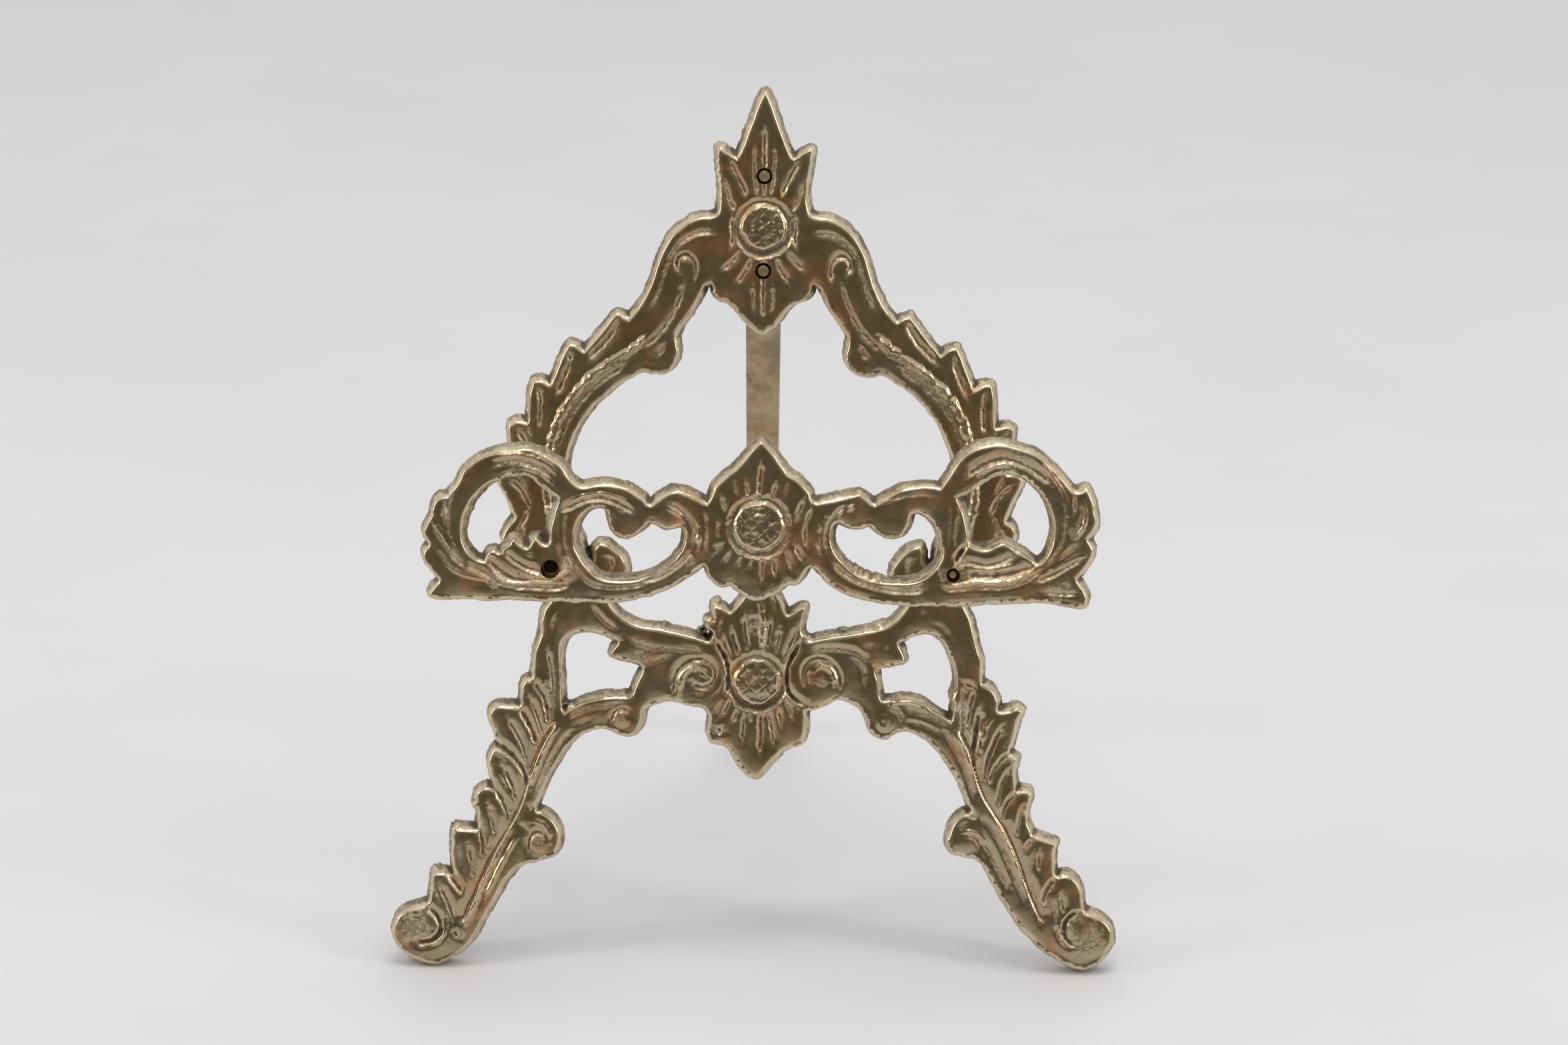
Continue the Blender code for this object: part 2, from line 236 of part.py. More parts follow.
# Raised ribs of the leaf work: points, half width, height
FRAME_RIBS = [
    ([(-30.0, 36.2), (-31.2, 34.5), (-32.3, 32.5), (-33.0, 30.2), (-34.0, 27.4), (-35.2, 24.4),
      (-36.8, 21.0), (-38.6, 17.8), (-40.2, 14.2), (-41.8, 10.6), (-43.2, 7.4)], 0.8, 0.55),
    ([(-33.6, 41.6), (-32.3, 39.0), (-31.6, 36.4)], 0.5, 0.35),
    ([(-37.9, 37.9), (-35.6, 35.0), (-34.0, 31.4)], 0.6, 0.4),
    ([(-38.6, 31.4), (-36.6, 29.4), (-35.6, 26.4)], 0.6, 0.4),
    ([(-40.2, 25.4), (-39.0, 22.8), (-38.6, 20.2)], 0.6, 0.4),
    ([(-43.6, 19.2), (-42.6, 16.4), (-41.6, 13.8)], 0.6, 0.4),
    ([(-47.0, 12.4), (-46.0, 10.0), (-45.2, 6.8)], 0.6, 0.4),
    ([(-31.4, 21.0), (-31.2, 19.4), (-32.4, 18.6), (-33.6, 19.4), (-33.6, 20.6)], 0.5, 0.35),
    ([(30.0, 36.0), (31.0, 33.6), (31.9, 31.0), (33.2, 27.6), (35.4, 23.6), (37.6, 19.4),
      (39.0, 16.0), (40.4, 12.0), (42.4, 7.8), (45.2, 4.4)], 0.8, 0.55),
    ([(32.4, 41.8), (32.0, 38.4), (31.6, 35.2)], 0.5, 0.35),
    ([(37.8, 38.0), (35.4, 34.6), (34.2, 30.6)], 0.6, 0.4),
    ([(37.6, 31.2), (35.8, 28.6), (35.2, 25.4)], 0.6, 0.4),
    ([(39.4, 25.8), (38.2, 22.8), (38.4, 20.0)], 0.6, 0.4),
    ([(43.2, 18.4), (42.0, 15.4), (41.2, 12.2)], 0.6, 0.4),
    ([(47.0, 12.6), (45.2, 9.8), (44.6, 6.8)], 0.6, 0.4),
    ([(30.8, 21.4), (30.6, 19.6), (32.0, 19.0), (33.4, 20.2), (33.0, 21.4)], 0.5, 0.35),
    ([(-21.6, 52.0), (-18.0, 50.0), (-14.0, 49.0), (-10.0, 48.2), (-7.2, 46.6), (-6.0, 44.4),
      (-6.6, 42.2), (-8.6, 41.4), (-10.6, 42.2), (-11.0, 44.2), (-9.6, 45.4)], 0.7, 0.5),
    ([(21.4, 51.6), (18.0, 50.0), (14.0, 49.2), (10.0, 48.4), (7.2, 46.8), (5.8, 44.4),
      (6.4, 42.2), (8.4, 41.4), (10.2, 42.4), (10.4, 44.4), (9.0, 45.2)], 0.7, 0.5),
    ([(-30.8, 53.0), (-31.2, 49.0), (-31.6, 45.0)], 0.6, 0.35),
    ([(30.2, 52.0), (31.0, 48.6), (31.4, 45.0)], 0.6, 0.35),
    ([(-29.4, 58.6), (-31.6, 63.0), (-33.0, 68.0), (-33.4, 74.0), (-32.6, 80.0), (-30.4, 85.4),
      (-26.8, 89.8), (-22.4, 93.2), (-18.0, 95.6), (-14.4, 98.8), (-11.8, 102.6), (-11.4, 106.0),
      (-9.4, 107.8), (-8.2, 106.2), (-9.2, 104.9)], 0.8, 0.55),
    ([(29.4, 58.6), (31.6, 63.0), (33.0, 68.0), (33.4, 74.0), (32.6, 80.0), (30.4, 85.4),
      (26.8, 89.8), (22.4, 93.2), (18.0, 95.6), (14.4, 98.8), (11.8, 102.6), (11.4, 106.0),
      (9.4, 107.8), (8.2, 106.2), (9.2, 104.9)], 0.8, 0.55),
    ([(0.1, 57.6), (0.0, 53.0), (0.0, 49.2)], 0.6, 0.4),
    ([(-5.0, 52.0), (-3.2, 48.0)], 0.5, 0.35),
    ([(5.0, 52.0), (3.2, 48.0)], 0.5, 0.35),
    ([(-0.2, 31.6), (0.0, 35.4), (0.1, 38.6)], 0.6, 0.4),
    ([(-5.0, 36.0), (-3.4, 39.4)], 0.5, 0.35),
    ([(5.0, 36.0), (3.4, 39.4)], 0.5, 0.35),
    ([(0.0, 127.6), (0.0, 121.0), (0.0, 118.6)], 0.6, 0.4),
    ([(-4.6, 119.4), (-2.8, 115.4)], 0.5, 0.35),
    ([(4.6, 119.4), (2.8, 115.4)], 0.5, 0.35),
    ([(0.0, 98.2), (0.0, 103.4)], 0.6, 0.4),
]
FRAME_BOSSES = [(-0.1, 43.6, 3.6, 0.6), (0.0, 111.0, 3.5, 0.6), (-50.6, 5.0, 2.6, 0.45),
                (49.8, 5.0, 2.6, 0.45), (-19.8, 37.6, 1.2, 0.35), (19.0, 37.6, 1.2, 0.35),
                (-22.0, 60.6, 1.4, 0.35), (22.0, 60.6, 1.4, 0.35)]

RAIL_RIBS = [
    ([(-41.0, 61.0), (-37.0, 60.6), (-33.0, 60.4), (-29.0, 60.3), (-25.0, 59.9), (-20.0, 59.9),
      (-15.0, 61.0), (-11.0, 63.4), (-9.2, 66.2), (-8.8, 69.4), (-10.0, 71.8), (-12.6, 72.3)], 0.6, 0.4),
    ([(39.0, 61.4), (35.0, 60.9), (31.0, 60.4), (27.0, 60.0), (22.0, 59.9), (17.0, 60.3),
      (12.4, 62.0), (9.4, 64.6), (8.4, 67.8), (9.0, 71.0), (11.6, 72.2), (14.0, 72.1)], 0.6, 0.4),
    ([(-45.0, 71.6), (-43.6, 74.2), (-41.0, 76.8), (-38.0, 78.2), (-35.0, 78.7), (-32.0, 78.0),
      (-29.6, 75.8), (-27.6, 74.0), (-24.0, 73.8), (-20.8, 73.2), (-18.6, 71.2), (-19.4, 69.8)], 0.6, 0.4),
    ([(44.6, 72.6), (43.4, 75.0), (41.2, 77.4), (38.0, 79.3), (34.6, 79.9), (31.4, 79.0),
      (29.0, 76.6), (26.8, 74.4), (23.0, 73.7), (20.0, 72.8), (18.4, 71.2), (19.6, 70.0)], 0.6, 0.4),
    ([(-36.6, 64.2), (-34.4, 63.0), (-32.4, 62.2)], 0.4, 0.3),
    ([(-39.0, 63.6), (-36.0, 62.0), (-33.0, 61.4)], 0.4, 0.3),
    ([(38.2, 64.4), (34.6, 63.6), (30.8, 63.2)], 0.4, 0.3),
    ([(35.0, 66.2), (32.6, 65.0), (30.4, 64.6)], 0.4, 0.3),
    ([(-46.8, 68.2), (-45.6, 66.2), (-43.6, 64.2)], 0.5, 0.35),
    ([(-46.6, 64.6), (-45.0, 62.6), (-42.6, 61.6)], 0.5, 0.35),
    ([(46.8, 66.4), (44.4, 64.8), (42.0, 63.6)], 0.5, 0.35),
    ([(46.6, 70.2), (45.2, 68.0), (44.0, 66.4)], 0.5, 0.35),
    ([(0.1, 79.6), (0.1, 76.6), (0.0, 73.8)], 0.6, 0.4),
    ([(-5.0, 74.4), (-3.4, 72.4)], 0.5, 0.35),
    ([(5.2, 74.2), (3.6, 72.2)], 0.5, 0.35),
    ([(-0.2, 61.4), (0.2, 64.6)], 0.6, 0.4),
    ([(-5.4, 63.4), (-3.6, 65.6)], 0.5, 0.35),
    ([(5.4, 63.4), (3.8, 65.8)], 0.5, 0.35),
]
RAIL_BOSSES = [(0.0, 69.2, 3.8, 0.6)]


def at(u, v, w):
    """Point of the leaning casting plane in world metres."""
    c, s = math.cos(LEAN), math.sin(LEAN)
    return Vector(((u - MID_X) * MM, (v * s - w * c - MID_Y) * MM, (v * c + w * s + LIFT) * MM))


def clear_scene():
    for ob in list(bpy.data.objects):
        bpy.data.objects.remove(ob, do_unlink=True)
    for me in list(bpy.data.meshes):
        bpy.data.meshes.remove(me)
    for ma in list(bpy.data.materials):
        bpy.data.materials.remove(ma)


def metal(name, rgb, rough):
    mat = bpy.data.materials.new(name)
    mat.use_nodes = True
    node = mat.node_tree.nodes["Principled BSDF"]
    node.inputs["Base Color"].default_value = (rgb[0], rgb[1], rgb[2], 1.0)
    node.inputs["Metallic"].default_value = 1.0
    node.inputs["Roughness"].default_value = rough
    mat.diffuse_color = (rgb[0], rgb[1], rgb[2], 1.0)
    return mat


# ---------------------------------------------------------------- plan fields

def signed_distance(loops, x, y):
    """Distance to the edge lines, positive on the metal (even-odd rule)."""
    shape = x.shape
    px, py = x.ravel(), y.ravel()
    best = np.full(px.shape, 1e9)
    inside = np.zeros(px.shape, bool)
    for loop in loops:
        pts = np.array(loop, float)
        nxt = np.roll(pts, -1, axis=0)
        for (ax, ay), (bx, by) in zip(pts, nxt):
            dx, dy = bx - ax, by - ay
            t = np.clip(((px - ax) * dx + (py - ay) * dy) / (dx * dx + dy * dy), 0.0, 1.0)
            best = np.minimum(best, (px - ax - t * dx) ** 2 + (py - ay - t * dy) ** 2)
            cross = (ay > py) != (by > py)
            if cross.any():
                hit = px < ax + dx * (py - ay) / (by - ay + (1e-12 if by == ay else 0.0))
                inside ^= cross & hit
    d = np.sqrt(best)
    return np.where(inside, d, -d).reshape(shape)


class Plan:
    """Distance field of a casting on a square grid."""

    def __init__(self, loops, step=0.32):
        pts = np.array([p for loop in loops for p in loop], float)
        lo, hi = pts.min(axis=0) - 2.6, pts.max(axis=0) + 2.6
        self.x0, self.y0, self.h = lo[0], lo[1], step
        self.nx = int((hi[0] - lo[0]) / step) + 2
        self.ny = int((hi[1] - lo[1]) / step) + 2
        gx, gy = np.meshgrid(lo[0] + step * np.arange(self.nx), lo[1] + step * np.arange(self.ny))
        self.s = signed_distance(loops, gx, gy)

    def at(self, u, v):
        fx = (u - self.x0) / self.h
        fy = (v - self.y0) / self.h
        i = min(max(int(fx), 0), self.nx - 2)
        j = min(max(int(fy), 0), self.ny - 2)
        a, b = fx - i, fy - j
        s = self.s
        return float((s[j, i] * (1 - a) + s[j, i + 1] * a) * (1 - b)
                     + (s[j + 1, i] * (1 - a) + s[j + 1, i + 1] * a) * b)

    def contours(self, level):
        """Closed lines where the field equals the level, metal on the left."""
        f = self.s - level + 1e-7
        links, pos = {}, {}

        def point(i0, j0, i1, j1):
            key = (i0, j0, i1, j1)
            if key not in pos:
                a, b = f[j0, i0], f[j1, i1]
                t = min(max(a / (a - b), 0.02), 0.98)
                pos[key] = (self.x0 + self.h * (i0 + t * (i1 - i0)),
                            self.y0 + self.h * (j0 + t * (j1 - j0)))
            return key

        inside = f > 0
        mixed = np.zeros((self.ny - 1, self.nx - 1), int)
        for dj in (0, 1):
            for di in (0, 1):
                mixed += inside[dj:self.ny - 1 + dj, di:self.nx - 1 + di]
        for j, i in np.argwhere((mixed > 0) & (mixed < 4)):
            i, j = int(i), int(j)
            c = [inside[j, i], inside[j, i + 1], inside[j + 1, i + 1], inside[j + 1, i]]
            edges = [(i, j, i + 1, j), (i + 1, j, i + 1, j + 1), (i, j + 1, i + 1, j + 1), (i, j, i, j + 1)]
            starts = [k for k in range(4) if c[k] and not c[(k + 1) % 4]]
            ends = [k for k in range(4) if not c[k] and c[(k + 1) % 4]]
            if len(starts) == 2:
                mean = f[j, i] + f[j, i + 1] + f[j + 1, i + 1] + f[j + 1, i]
                if mean > 0:
                    pairs = [(starts[0], ends[0] if (ends[0] - starts[0]) % 4 == 1 else ends[1])]
                    rest = [e for e in ends if e != pairs[0][1]][0]
                    pairs.append((starts[1], rest))
                else:
                    pairs = [(starts[0], ends[0] if (starts[0] - ends[0]) % 4 == 1 else ends[1])]
                    rest = [e for e in ends if e != pairs[0][1]][0]
                    pairs.append((starts[1], rest))
            else:
                pairs = [(starts[0], ends[0])]
            for a, b in pairs:
                links[point(*edges[a])] = point(*edges[b])
        loops = []
        while links:
            start = next(iter(links))
            key, loop = start, []
            while key in links:
                loop.append(pos[key])
                key = links.pop(key)
            if len(loop) > 8:
                loops.append(loop)
        return loops


def simplify(loop, tol, longest=6.0):
    """Douglas-Peucker on a closed line."""
    pts = np.array(loop, float)
    far = int(np.argmax(((pts - pts[0]) ** 2).sum(axis=1)))
    keep = {0, far}

    def split(a, b):
        n = (b - a) % len(pts) or len(pts)
        if n < 2:
            return
        idx = [(a + k) % len(pts) for k in range(1, n)]
        p, q = pts[a], pts[b]
        d = q - p
        length = math.hypot(d[0], d[1]) or 1e-9
        off = [abs(d[0] * (pts[k][1] - p[1]) - d[1] * (pts[k][0] - p[0])) / length for k in idx]
        m = int(np.argmax(off))
        if off[m] > tol or length > longest:
            if off[m] <= tol:
                m = len(idx) // 2
            keep.add(idx[m])
            split(a, idx[m])
            split(idx[m], b)

    split(0, far)
    split(far, 0)
    return [tuple(pts[k]) for k in sorted(keep)]


def seg_distance(u, v, line):
    best = 1e9
    for (ax, ay), (bx, by) in zip(line[:-1], line[1:]):
        dx, dy = bx - ax, by - ay
        t = min(max(((u - ax) * dx + (v - ay) * dy) / (dx * dx + dy * dy), 0.0), 1.0)
        best = min(best, math.hypot(u - ax - t * dx, v - ay - t * dy))
    return best


def resample(line, step):
    out = [line[0]]
    for (ax, ay), (bx, by) in zip(line[:-1], line[1:]):
        n = max(1, int(round(math.hypot(bx - ax, by - ay) / step)))
        for k in range(1, n + 1):
            out.append((ax + (bx - ax) * k / n, ay + (by - ay) * k / n))
    return out


def circle(u, v, r, n):
    return [(u + r * math.cos(2 * math.pi * k / n), v + r * math.sin(2 * math.pi * k / n)) for k in range(n)]


# ------------------------------------------------------------------- castings

def casting(name, loops, thick, front_w, ribs, bosses, holes, mat):
    """One sand casting: flat wide back, drafted walls, chamfered relief face."""
    plan = Plan(loops)
    back_lines = [simplify(c, 0.06) for c in plan.contours(-DRAFT)]
    shoulder = [simplify(c, 0.06) for c in plan.contours(-0.3)]
    face = [simplify(c, 0.07) for c in plan.contours(0.45)]

    def height(u, v, s):
        if s <= -0.3:
            base = (thick - 0.6) * min(max((s + DRAFT) / (DRAFT - 0.3), 0.0), 1.0)
            return base
        if s < 0.45:
            return thick - 0.6 + 0.6 * (s + 0.3) / 0.75
        up = 0.0
        for line, half, rise in ribs:
            d = seg_distance(u, v, line)
            if d < half:
                up = max(up, rise * (1.0 - (d / half) ** 2))
        for cx, cy, r, rise in bosses:
            d = math.hypot(u - cx, v - cy)
            if d < r:
                up = rise * (1.0 - 0.55 * (d / r) ** 2)
            elif d < r + 0.55:
                up = -0.35
        for cx, cy, r in holes:
            if math.hypot(u - cx, v - cy) < r + 2.6:
                up = min(up, 0.0)
        return thick + up * min(1.0, (s - 0.45) / 0.4)

    verts, edges, fixed = [], [], {}

    def add_loop(line, h=None, closed=True):
        first = len(verts)
        for k, p in enumerate(line):
            if h is not None:
                fixed[len(verts)] = h
            verts.append(Vector((p[0], p[1])))
            if k:
                edges.append((first + k - 1, first + k))
        if closed:
            edges.append((first + len(line) - 1, first))
        return first

    for line in back_lines:
        add_loop(line, 0.0)
    def add_broken(line, h):
        """Closed line, interrupted where a bore passes through it."""
        clear = [not any(math.hypot(u - cx, v - cy) < r + 0.12 for cx, cy, r in holes) for u, v in line]
        first = {}
        for k, p in enumerate(line):
            if clear[k]:
                first[k] = len(verts)
                fixed[len(verts)] = h
                verts.append(Vector((p[0], p[1])))
        for k in range(len(line)):
            n = (k + 1) % len(line)
            if k in first and n in first and not any(
                    seg_distance(cx, cy, [line[k], line[n]]) < r + 0.05 for cx, cy, r in holes):
                edges.append((first[k], first[n]))

    for line in shoulder:
        add_broken(line, thick - 0.6)
    for line in face:
        add_broken(line, thick)
    rims = []
    for cx, cy, r in holes:
        rims.append((add_loop(circle(cx, cy, r, 20)), 20))
    near_hole = lambda u, v, m: any(math.hypot(u - cx, v - cy) < r + m for cx, cy, r in holes)
    for cx, cy, r, rise in bosses:
        for ring, n in ((r * 0.5, 10), (r, 18), (r + 0.25, 18), (r + 0.55, 18)):
            pts = circle(cx, cy, ring, n)
            if all(plan.at(u, v) > 0.55 and not near_hole(u, v, 0.3) for u, v in pts):
                add_loop(pts)
        verts.append(Vector((cx, cy)))
    for line, half, rise in ribs:
        mid = resample(line, 1.5)
        prev = None
        for k, (u, v) in enumerate(mid):
            ok = plan.at(u, v) > 0.6 and not near_hole(u, v, 0.5) and not any(
                math.hypot(u - cx, v - cy) < r + 0.6 for cx, cy, r, _ in bosses)
            if not ok:
                prev = None
                continue
            verts.append(Vector((u, v)))
            if prev is not None:
                edges.append((prev, len(verts) - 1))
            prev = len(verts) - 1
            a = mid[max(k - 1, 0)]
            b = mid[min(k + 1, len(mid) - 1)]
            length = math.hypot(b[0] - a[0], b[1] - a[1])
            nx, ny = -(b[1] - a[1]) / length, (b[0] - a[0]) / length
            for side in (-1, 1):
                su, sv = u + side * half * nx, v + side * half * ny
                if plan.at(su, sv) > 0.6 and not near_hole(su, sv, 0.3):
                    verts.append(Vector((su, sv)))

    tv, te, tf, ov, oe, of_ = delaunay_2d_cdt(verts, edges, [], 0, 1e-5)
    hole_set = [(cx, cy, r * 0.97) for cx, cy, r in holes]

    def metal_here(u, v, field):
        if field < -DRAFT:
            return False
        return not any(math.hypot(u - cx, v - cy) < r for cx, cy, r in hole_set)

    top_h = []
    for k, p in enumerate(tv):
        known = [fixed[i] for i in ov[k] if i in fixed]
        top_h.append(min(known) if known else height(p.x, p.y, plan.at(p.x, p.y)))

    # outer region test by polygon so that the back line is followed exactly
    rings = [np.array(line) for line in back_lines]

    def in_back(u, v):
        odd = False
        for ring in rings:
            ax, ay = ring[:, 0], ring[:, 1]
            bx, by = np.roll(ax, -1), np.roll(ay, -1)
            cross = (ay > v) != (by > v)
            with np.errstate(divide="ignore", invalid="ignore"):
                hit = cross & (u < ax + (bx - ax) * (v - ay) / (by - ay))
            odd ^= bool(hit.sum() % 2)
        return odd

    bm = bmesh.new()
    top_v, bot_v = {}, {}
    w_back = front_w - thick

    def keep(face_idx, pts):
        cu = sum(pts[i].x for i in face_idx) / len(face_idx)
        cv = sum(pts[i].y for i in face_idx) / len(face_idx)
        return in_back(cu, cv) and not any(math.hypot(cu - cx, cv - cy) < r for cx, cy, r in hole_set)

    back_key = {}
    for k, p in enumerate(tv):
        if any(i in fixed and fixed[i] == 0.0 for i in ov[k]):
            back_key[(round(p.x, 5), round(p.y, 5))] = k

    def top_vert(k):
        if k not in top_v:
            p = tv[k]
            top_v[k] = bm.verts.new(at(p.x, p.y, w_back + top_h[k]))
        return top_v[k]

    for f in tf:
        if keep(f, tv):
            bm.faces.new([top_vert(i) for i in f])

    # flat back
    bverts, bedges = [], []
    for line in back_lines:
        first = len(bverts)
        for k, p in enumerate(line):
            bverts.append(Vector((p[0], p[1])))
            bedges.append((first + k, first + (k + 1) % len(line)))
    bore_rings = []
    for cx, cy, r in holes:
        first = len(bverts)
        lines = circle(cx, cy, r, 20)
        on = [(math.atan2(p.y - cy, p.x - cx), p.x, p.y) for p in tv
              if abs(math.hypot(p.x - cx, p.y - cy) - r) < 0.04
              and seg_distance(p.x, p.y, lines + lines[:1]) < 1e-4]
        ring = [(x, y) for _, x, y in sorted(on)]
        bore_rings.append(ring)
        for k, p in enumerate(ring):
            bverts.append(Vector((p[0], p[1])))
            bedges.append((first + k, first + (k + 1) % len(ring)))
    cv, ce, cf, cov, _, _ = delaunay_2d_cdt(bverts, bedges, [], 0, 1e-5)

    def bot_vert(k):
        if k not in bot_v:
            p = cv[k]
            key = (round(p.x, 5), round(p.y, 5))
            if key in back_key:
                bot_v[k] = top_vert(back_key[key])
            else:
                bot_v[k] = bm.verts.new(at(p.x, p.y, w_back))
        return bot_v[k]

    for f in cf:
        if keep(f, cv):
            bm.faces.new([bot_vert(i) for i in reversed(f)])

    # bores
    top_at = {(round(p.x, 4), round(p.y, 4)): k for k, p in enumerate(tv)}
    bot_at = {(round(p.x, 4), round(p.y, 4)): k for k, p in enumerate(cv)}
    for ring in bore_rings:
        for k in range(len(ring)):
            a = (round(ring[k][0], 4), round(ring[k][1], 4))
            b = (round(ring[(k + 1) % len(ring)][0], 4), round(ring[(k + 1) % len(ring)][1], 4))
            bm.faces.new([top_vert(top_at[a]), top_vert(top_at[b]), bot_vert(bot_at[b]), bot_vert(bot_at[a])])
    return finish(name, bm, mat)


def finish(name, bm, mat, origin=None, smooth=False):
    bm.verts.ensure_lookup_table()
    loose = [v for v in bm.verts if not v.link_faces]
    bmesh.ops.delete(bm, geom=loose, context="VERTS")
    bmesh.ops.recalc_face_normals(bm, faces=bm.faces)
    if bm.calc_volume(signed=True) < 0:
        bmesh.ops.reverse_faces(bm, faces=bm.faces)
    if origin is not None:
        bmesh.ops.translate(bm, vec=-origin, verts=bm.verts)
    me = bpy.data.meshes.new(name)
    bm.to_mesh(me)
    bm.free()
    for poly in me.polygons:
        poly.use_smooth = smooth
    ob = bpy.data.objects.new(name, me)
    if origin is not None:
        ob.location = origin
    me.materials.append(mat)
    bpy.context.scene.collection.objects.link(ob)
    return ob


def ground_flat(ob):
    """Grind the metal below z = 0 away and close the cut."""
    bm = bmesh.new()
    bm.from_mesh(ob.data)
    off = ob.location.z
    geom = bm.verts[:] + bm.edges[:] + bm.faces[:]
    cut = bmesh.ops.bisect_plane(bm, geom=geom, plane_co=(0.0, 0.0, -off), plane_no=(0.0, 0.0, 1.0),
                                 clear_inner=True, dist=1e-7)
    rim = [e for e in cut["geom_cut"] if isinstance(e, bmesh.types.BMEdge)]
    for v in {v for e in rim for v in e.verts}:
        v.co.z = -off
    bmesh.ops.holes_fill(bm, edges=rim, sides=0)
    bmesh.ops.remove_doubles(bm, verts=bm.verts, dist=2e-6)
    bmesh.ops.dissolve_degenerate(bm, edges=bm.edges, dist=1e-6)
    bmesh.ops.triangulate(bm, faces=[f for f in bm.faces if len(f.verts) > 3])
    bmesh.ops.recalc_face_normals(bm, faces=bm.faces)
    bm.to_mesh(ob.data)
    bm.free()


# ------------------------------------------------------------- turned pieces

def turned(name, u, v, w0, profile, mat, seg=28, bore=None, hexes=0):
    """Turned piece along w. profile: (w, r) from back to front, closed on the axis
    or, with a bore, closed on the bore radius."""
    bm = bmesh.new()
    rows = []
    for w, r in profile:
        n = seg
        ring = []
        for k in range(n):
            a = 2 * math.pi * (k + 0.5) / n
            rr = r
            ring.append(bm.verts.new(at(u + rr * math.cos(a), v + rr * math.sin(a), w0 + w)))
        rows.append(ring)
    for a, b in zip(rows[:-1], rows[1:]):
        for k in range(seg):
            bm.faces.new([a[k], a[(k + 1) % seg], b[(k + 1) % seg], b[k]])
    if bore is None:
        bm.faces.new(rows[0])
        bm.faces.new(rows[-1])
    else:
        for k in range(seg):
            bm.faces.new([rows[-1][k], rows[-1][(k + 1) % seg], rows[0][(k + 1) % seg], rows[0][k]])
    return finish(name, bm, mat)


def hex_nut(name, u, v, w0, w1, flats, bore, mat):
    """Hexagonal nut with a chamfered back face and a round bore."""
    bm = bmesh.new()
    n = 24
    step = 2 * math.pi / n

    def hexr(a, r):
        sector = math.pi / 3
        x = (a + sector / 2) % sector - sector / 2
        return r / math.cos(x)

    rows = []
    for w, r, hexed in ((w1, bore, 0), (w1, flats, 1), (w0 + 0.35, flats, 1), (w0, flats * 0.93, 0), (w0, bore, 0)):
        ring = []
        for k in range(n):
            a = step * k
            rr = hexr(a, r) if hexed else r
            ring.append(bm.verts.new(at(u + rr * math.cos(a), v + rr * math.sin(a), w)))
        rows.append(ring)
    for i in range(len(rows)):
        a, b = rows[i], rows[(i + 1) % len(rows)]
        for k in range(n):
            bm.faces.new([a[k], a[(k + 1) % n], b[(k + 1) % n], b[k]])
    return finish(name, bm, mat)


def ledge_arm(name, u, v, tip_r, mat):
    """Ledge peg: slim spigot through the rail, turned shank with two collars,
    slim threaded spigot through the frame."""
    rail_back = RAIL_W - RAIL_T
    front = RAIL_W - 0.9
    prof = [(-7.4, 0.75), (-7.1, 1.0), (GAP, 1.0), (GAP, 1.9), (0.6, 2.2), (1.5, 2.2), (1.9, 1.75),
            (2.4, 1.6), (4.0, 1.7), (9.7, 1.85), (15.4, 1.7), (17.0, 1.6), (17.5, 1.75), (17.9, 2.2),
            (rail_back - 0.6, 2.2), (rail_back - GAP, 1.9), (rail_back - GAP, tip_r), (front - 0.25, tip_r),
            (front, tip_r * 0.7)]
    return turned(name, u, v, 0.0, prof, mat)


def tube_x(bm, y, z, x0, x1, r_out, r_in, n, matrix=None):
    """Ring section along x between x0 and x1 (mm, local)."""
    rows = []
    for x, r in ((x0, r_in), (x0, r_out), (x1, r_out), (x1, r_in)):
        rows.append([bm.verts.new(Vector((x * MM, (y + r * math.cos(2 * math.pi * k / n)) * MM,
                                          (z + r * math.sin(2 * math.pi * k / n)) * MM))) for k in range(n)])
    return rows


def slab(name, outline, holes, x0, x1, frame, mat, origin=None):
    """Plate cut from an outline in the (y, z) plane of a local frame, x0..x1 thick."""
    verts, edges = [], []
    for loop in [outline] + holes:
        first = len(verts)
        for k, p in enumerate(loop):
            verts.append(Vector(p))
            edges.append((first + k, first + (k + 1) % len(loop)))
    cv, _, cf, cov, _, _ = delaunay_2d_cdt(verts, edges, [], 0, 1e-6)
    inv = {}
    for k, src in enumerate(cov):
        for i in src:
            inv[i] = k
    loops = [outline] + holes

    def odd(u, v):
        res = False
        for loop in loops:
            for (ax, ay), (bx, by) in zip(loop, loop[1:] + loop[:1]):
                if (ay > v) != (by > v) and u < ax + (bx - ax) * (v - ay) / (by - ay):
                    res = not res
        return res

    bm = bmesh.new()
    lo = [bm.verts.new(frame @ Vector((x0 * MM, p.x * MM, p.y * MM))) for p in cv]
    hi = [bm.verts.new(frame @ Vector((x1 * MM, p.x * MM, p.y * MM))) for p in cv]
    for f in cf:
        cu = sum(cv[i].x for i in f) / 3.0
        cw = sum(cv[i].y for i in f) / 3.0
        if odd(cu, cw):
            bm.faces.new([lo[i] for i in f])
            bm.faces.new([hi[i] for i in reversed(f)])
    for a, b in edges:
        a, b = inv[a], inv[b]
        bm.faces.new([lo[a], lo[b], hi[b], hi[a]])
    return finish(name, bm, mat, origin=origin)


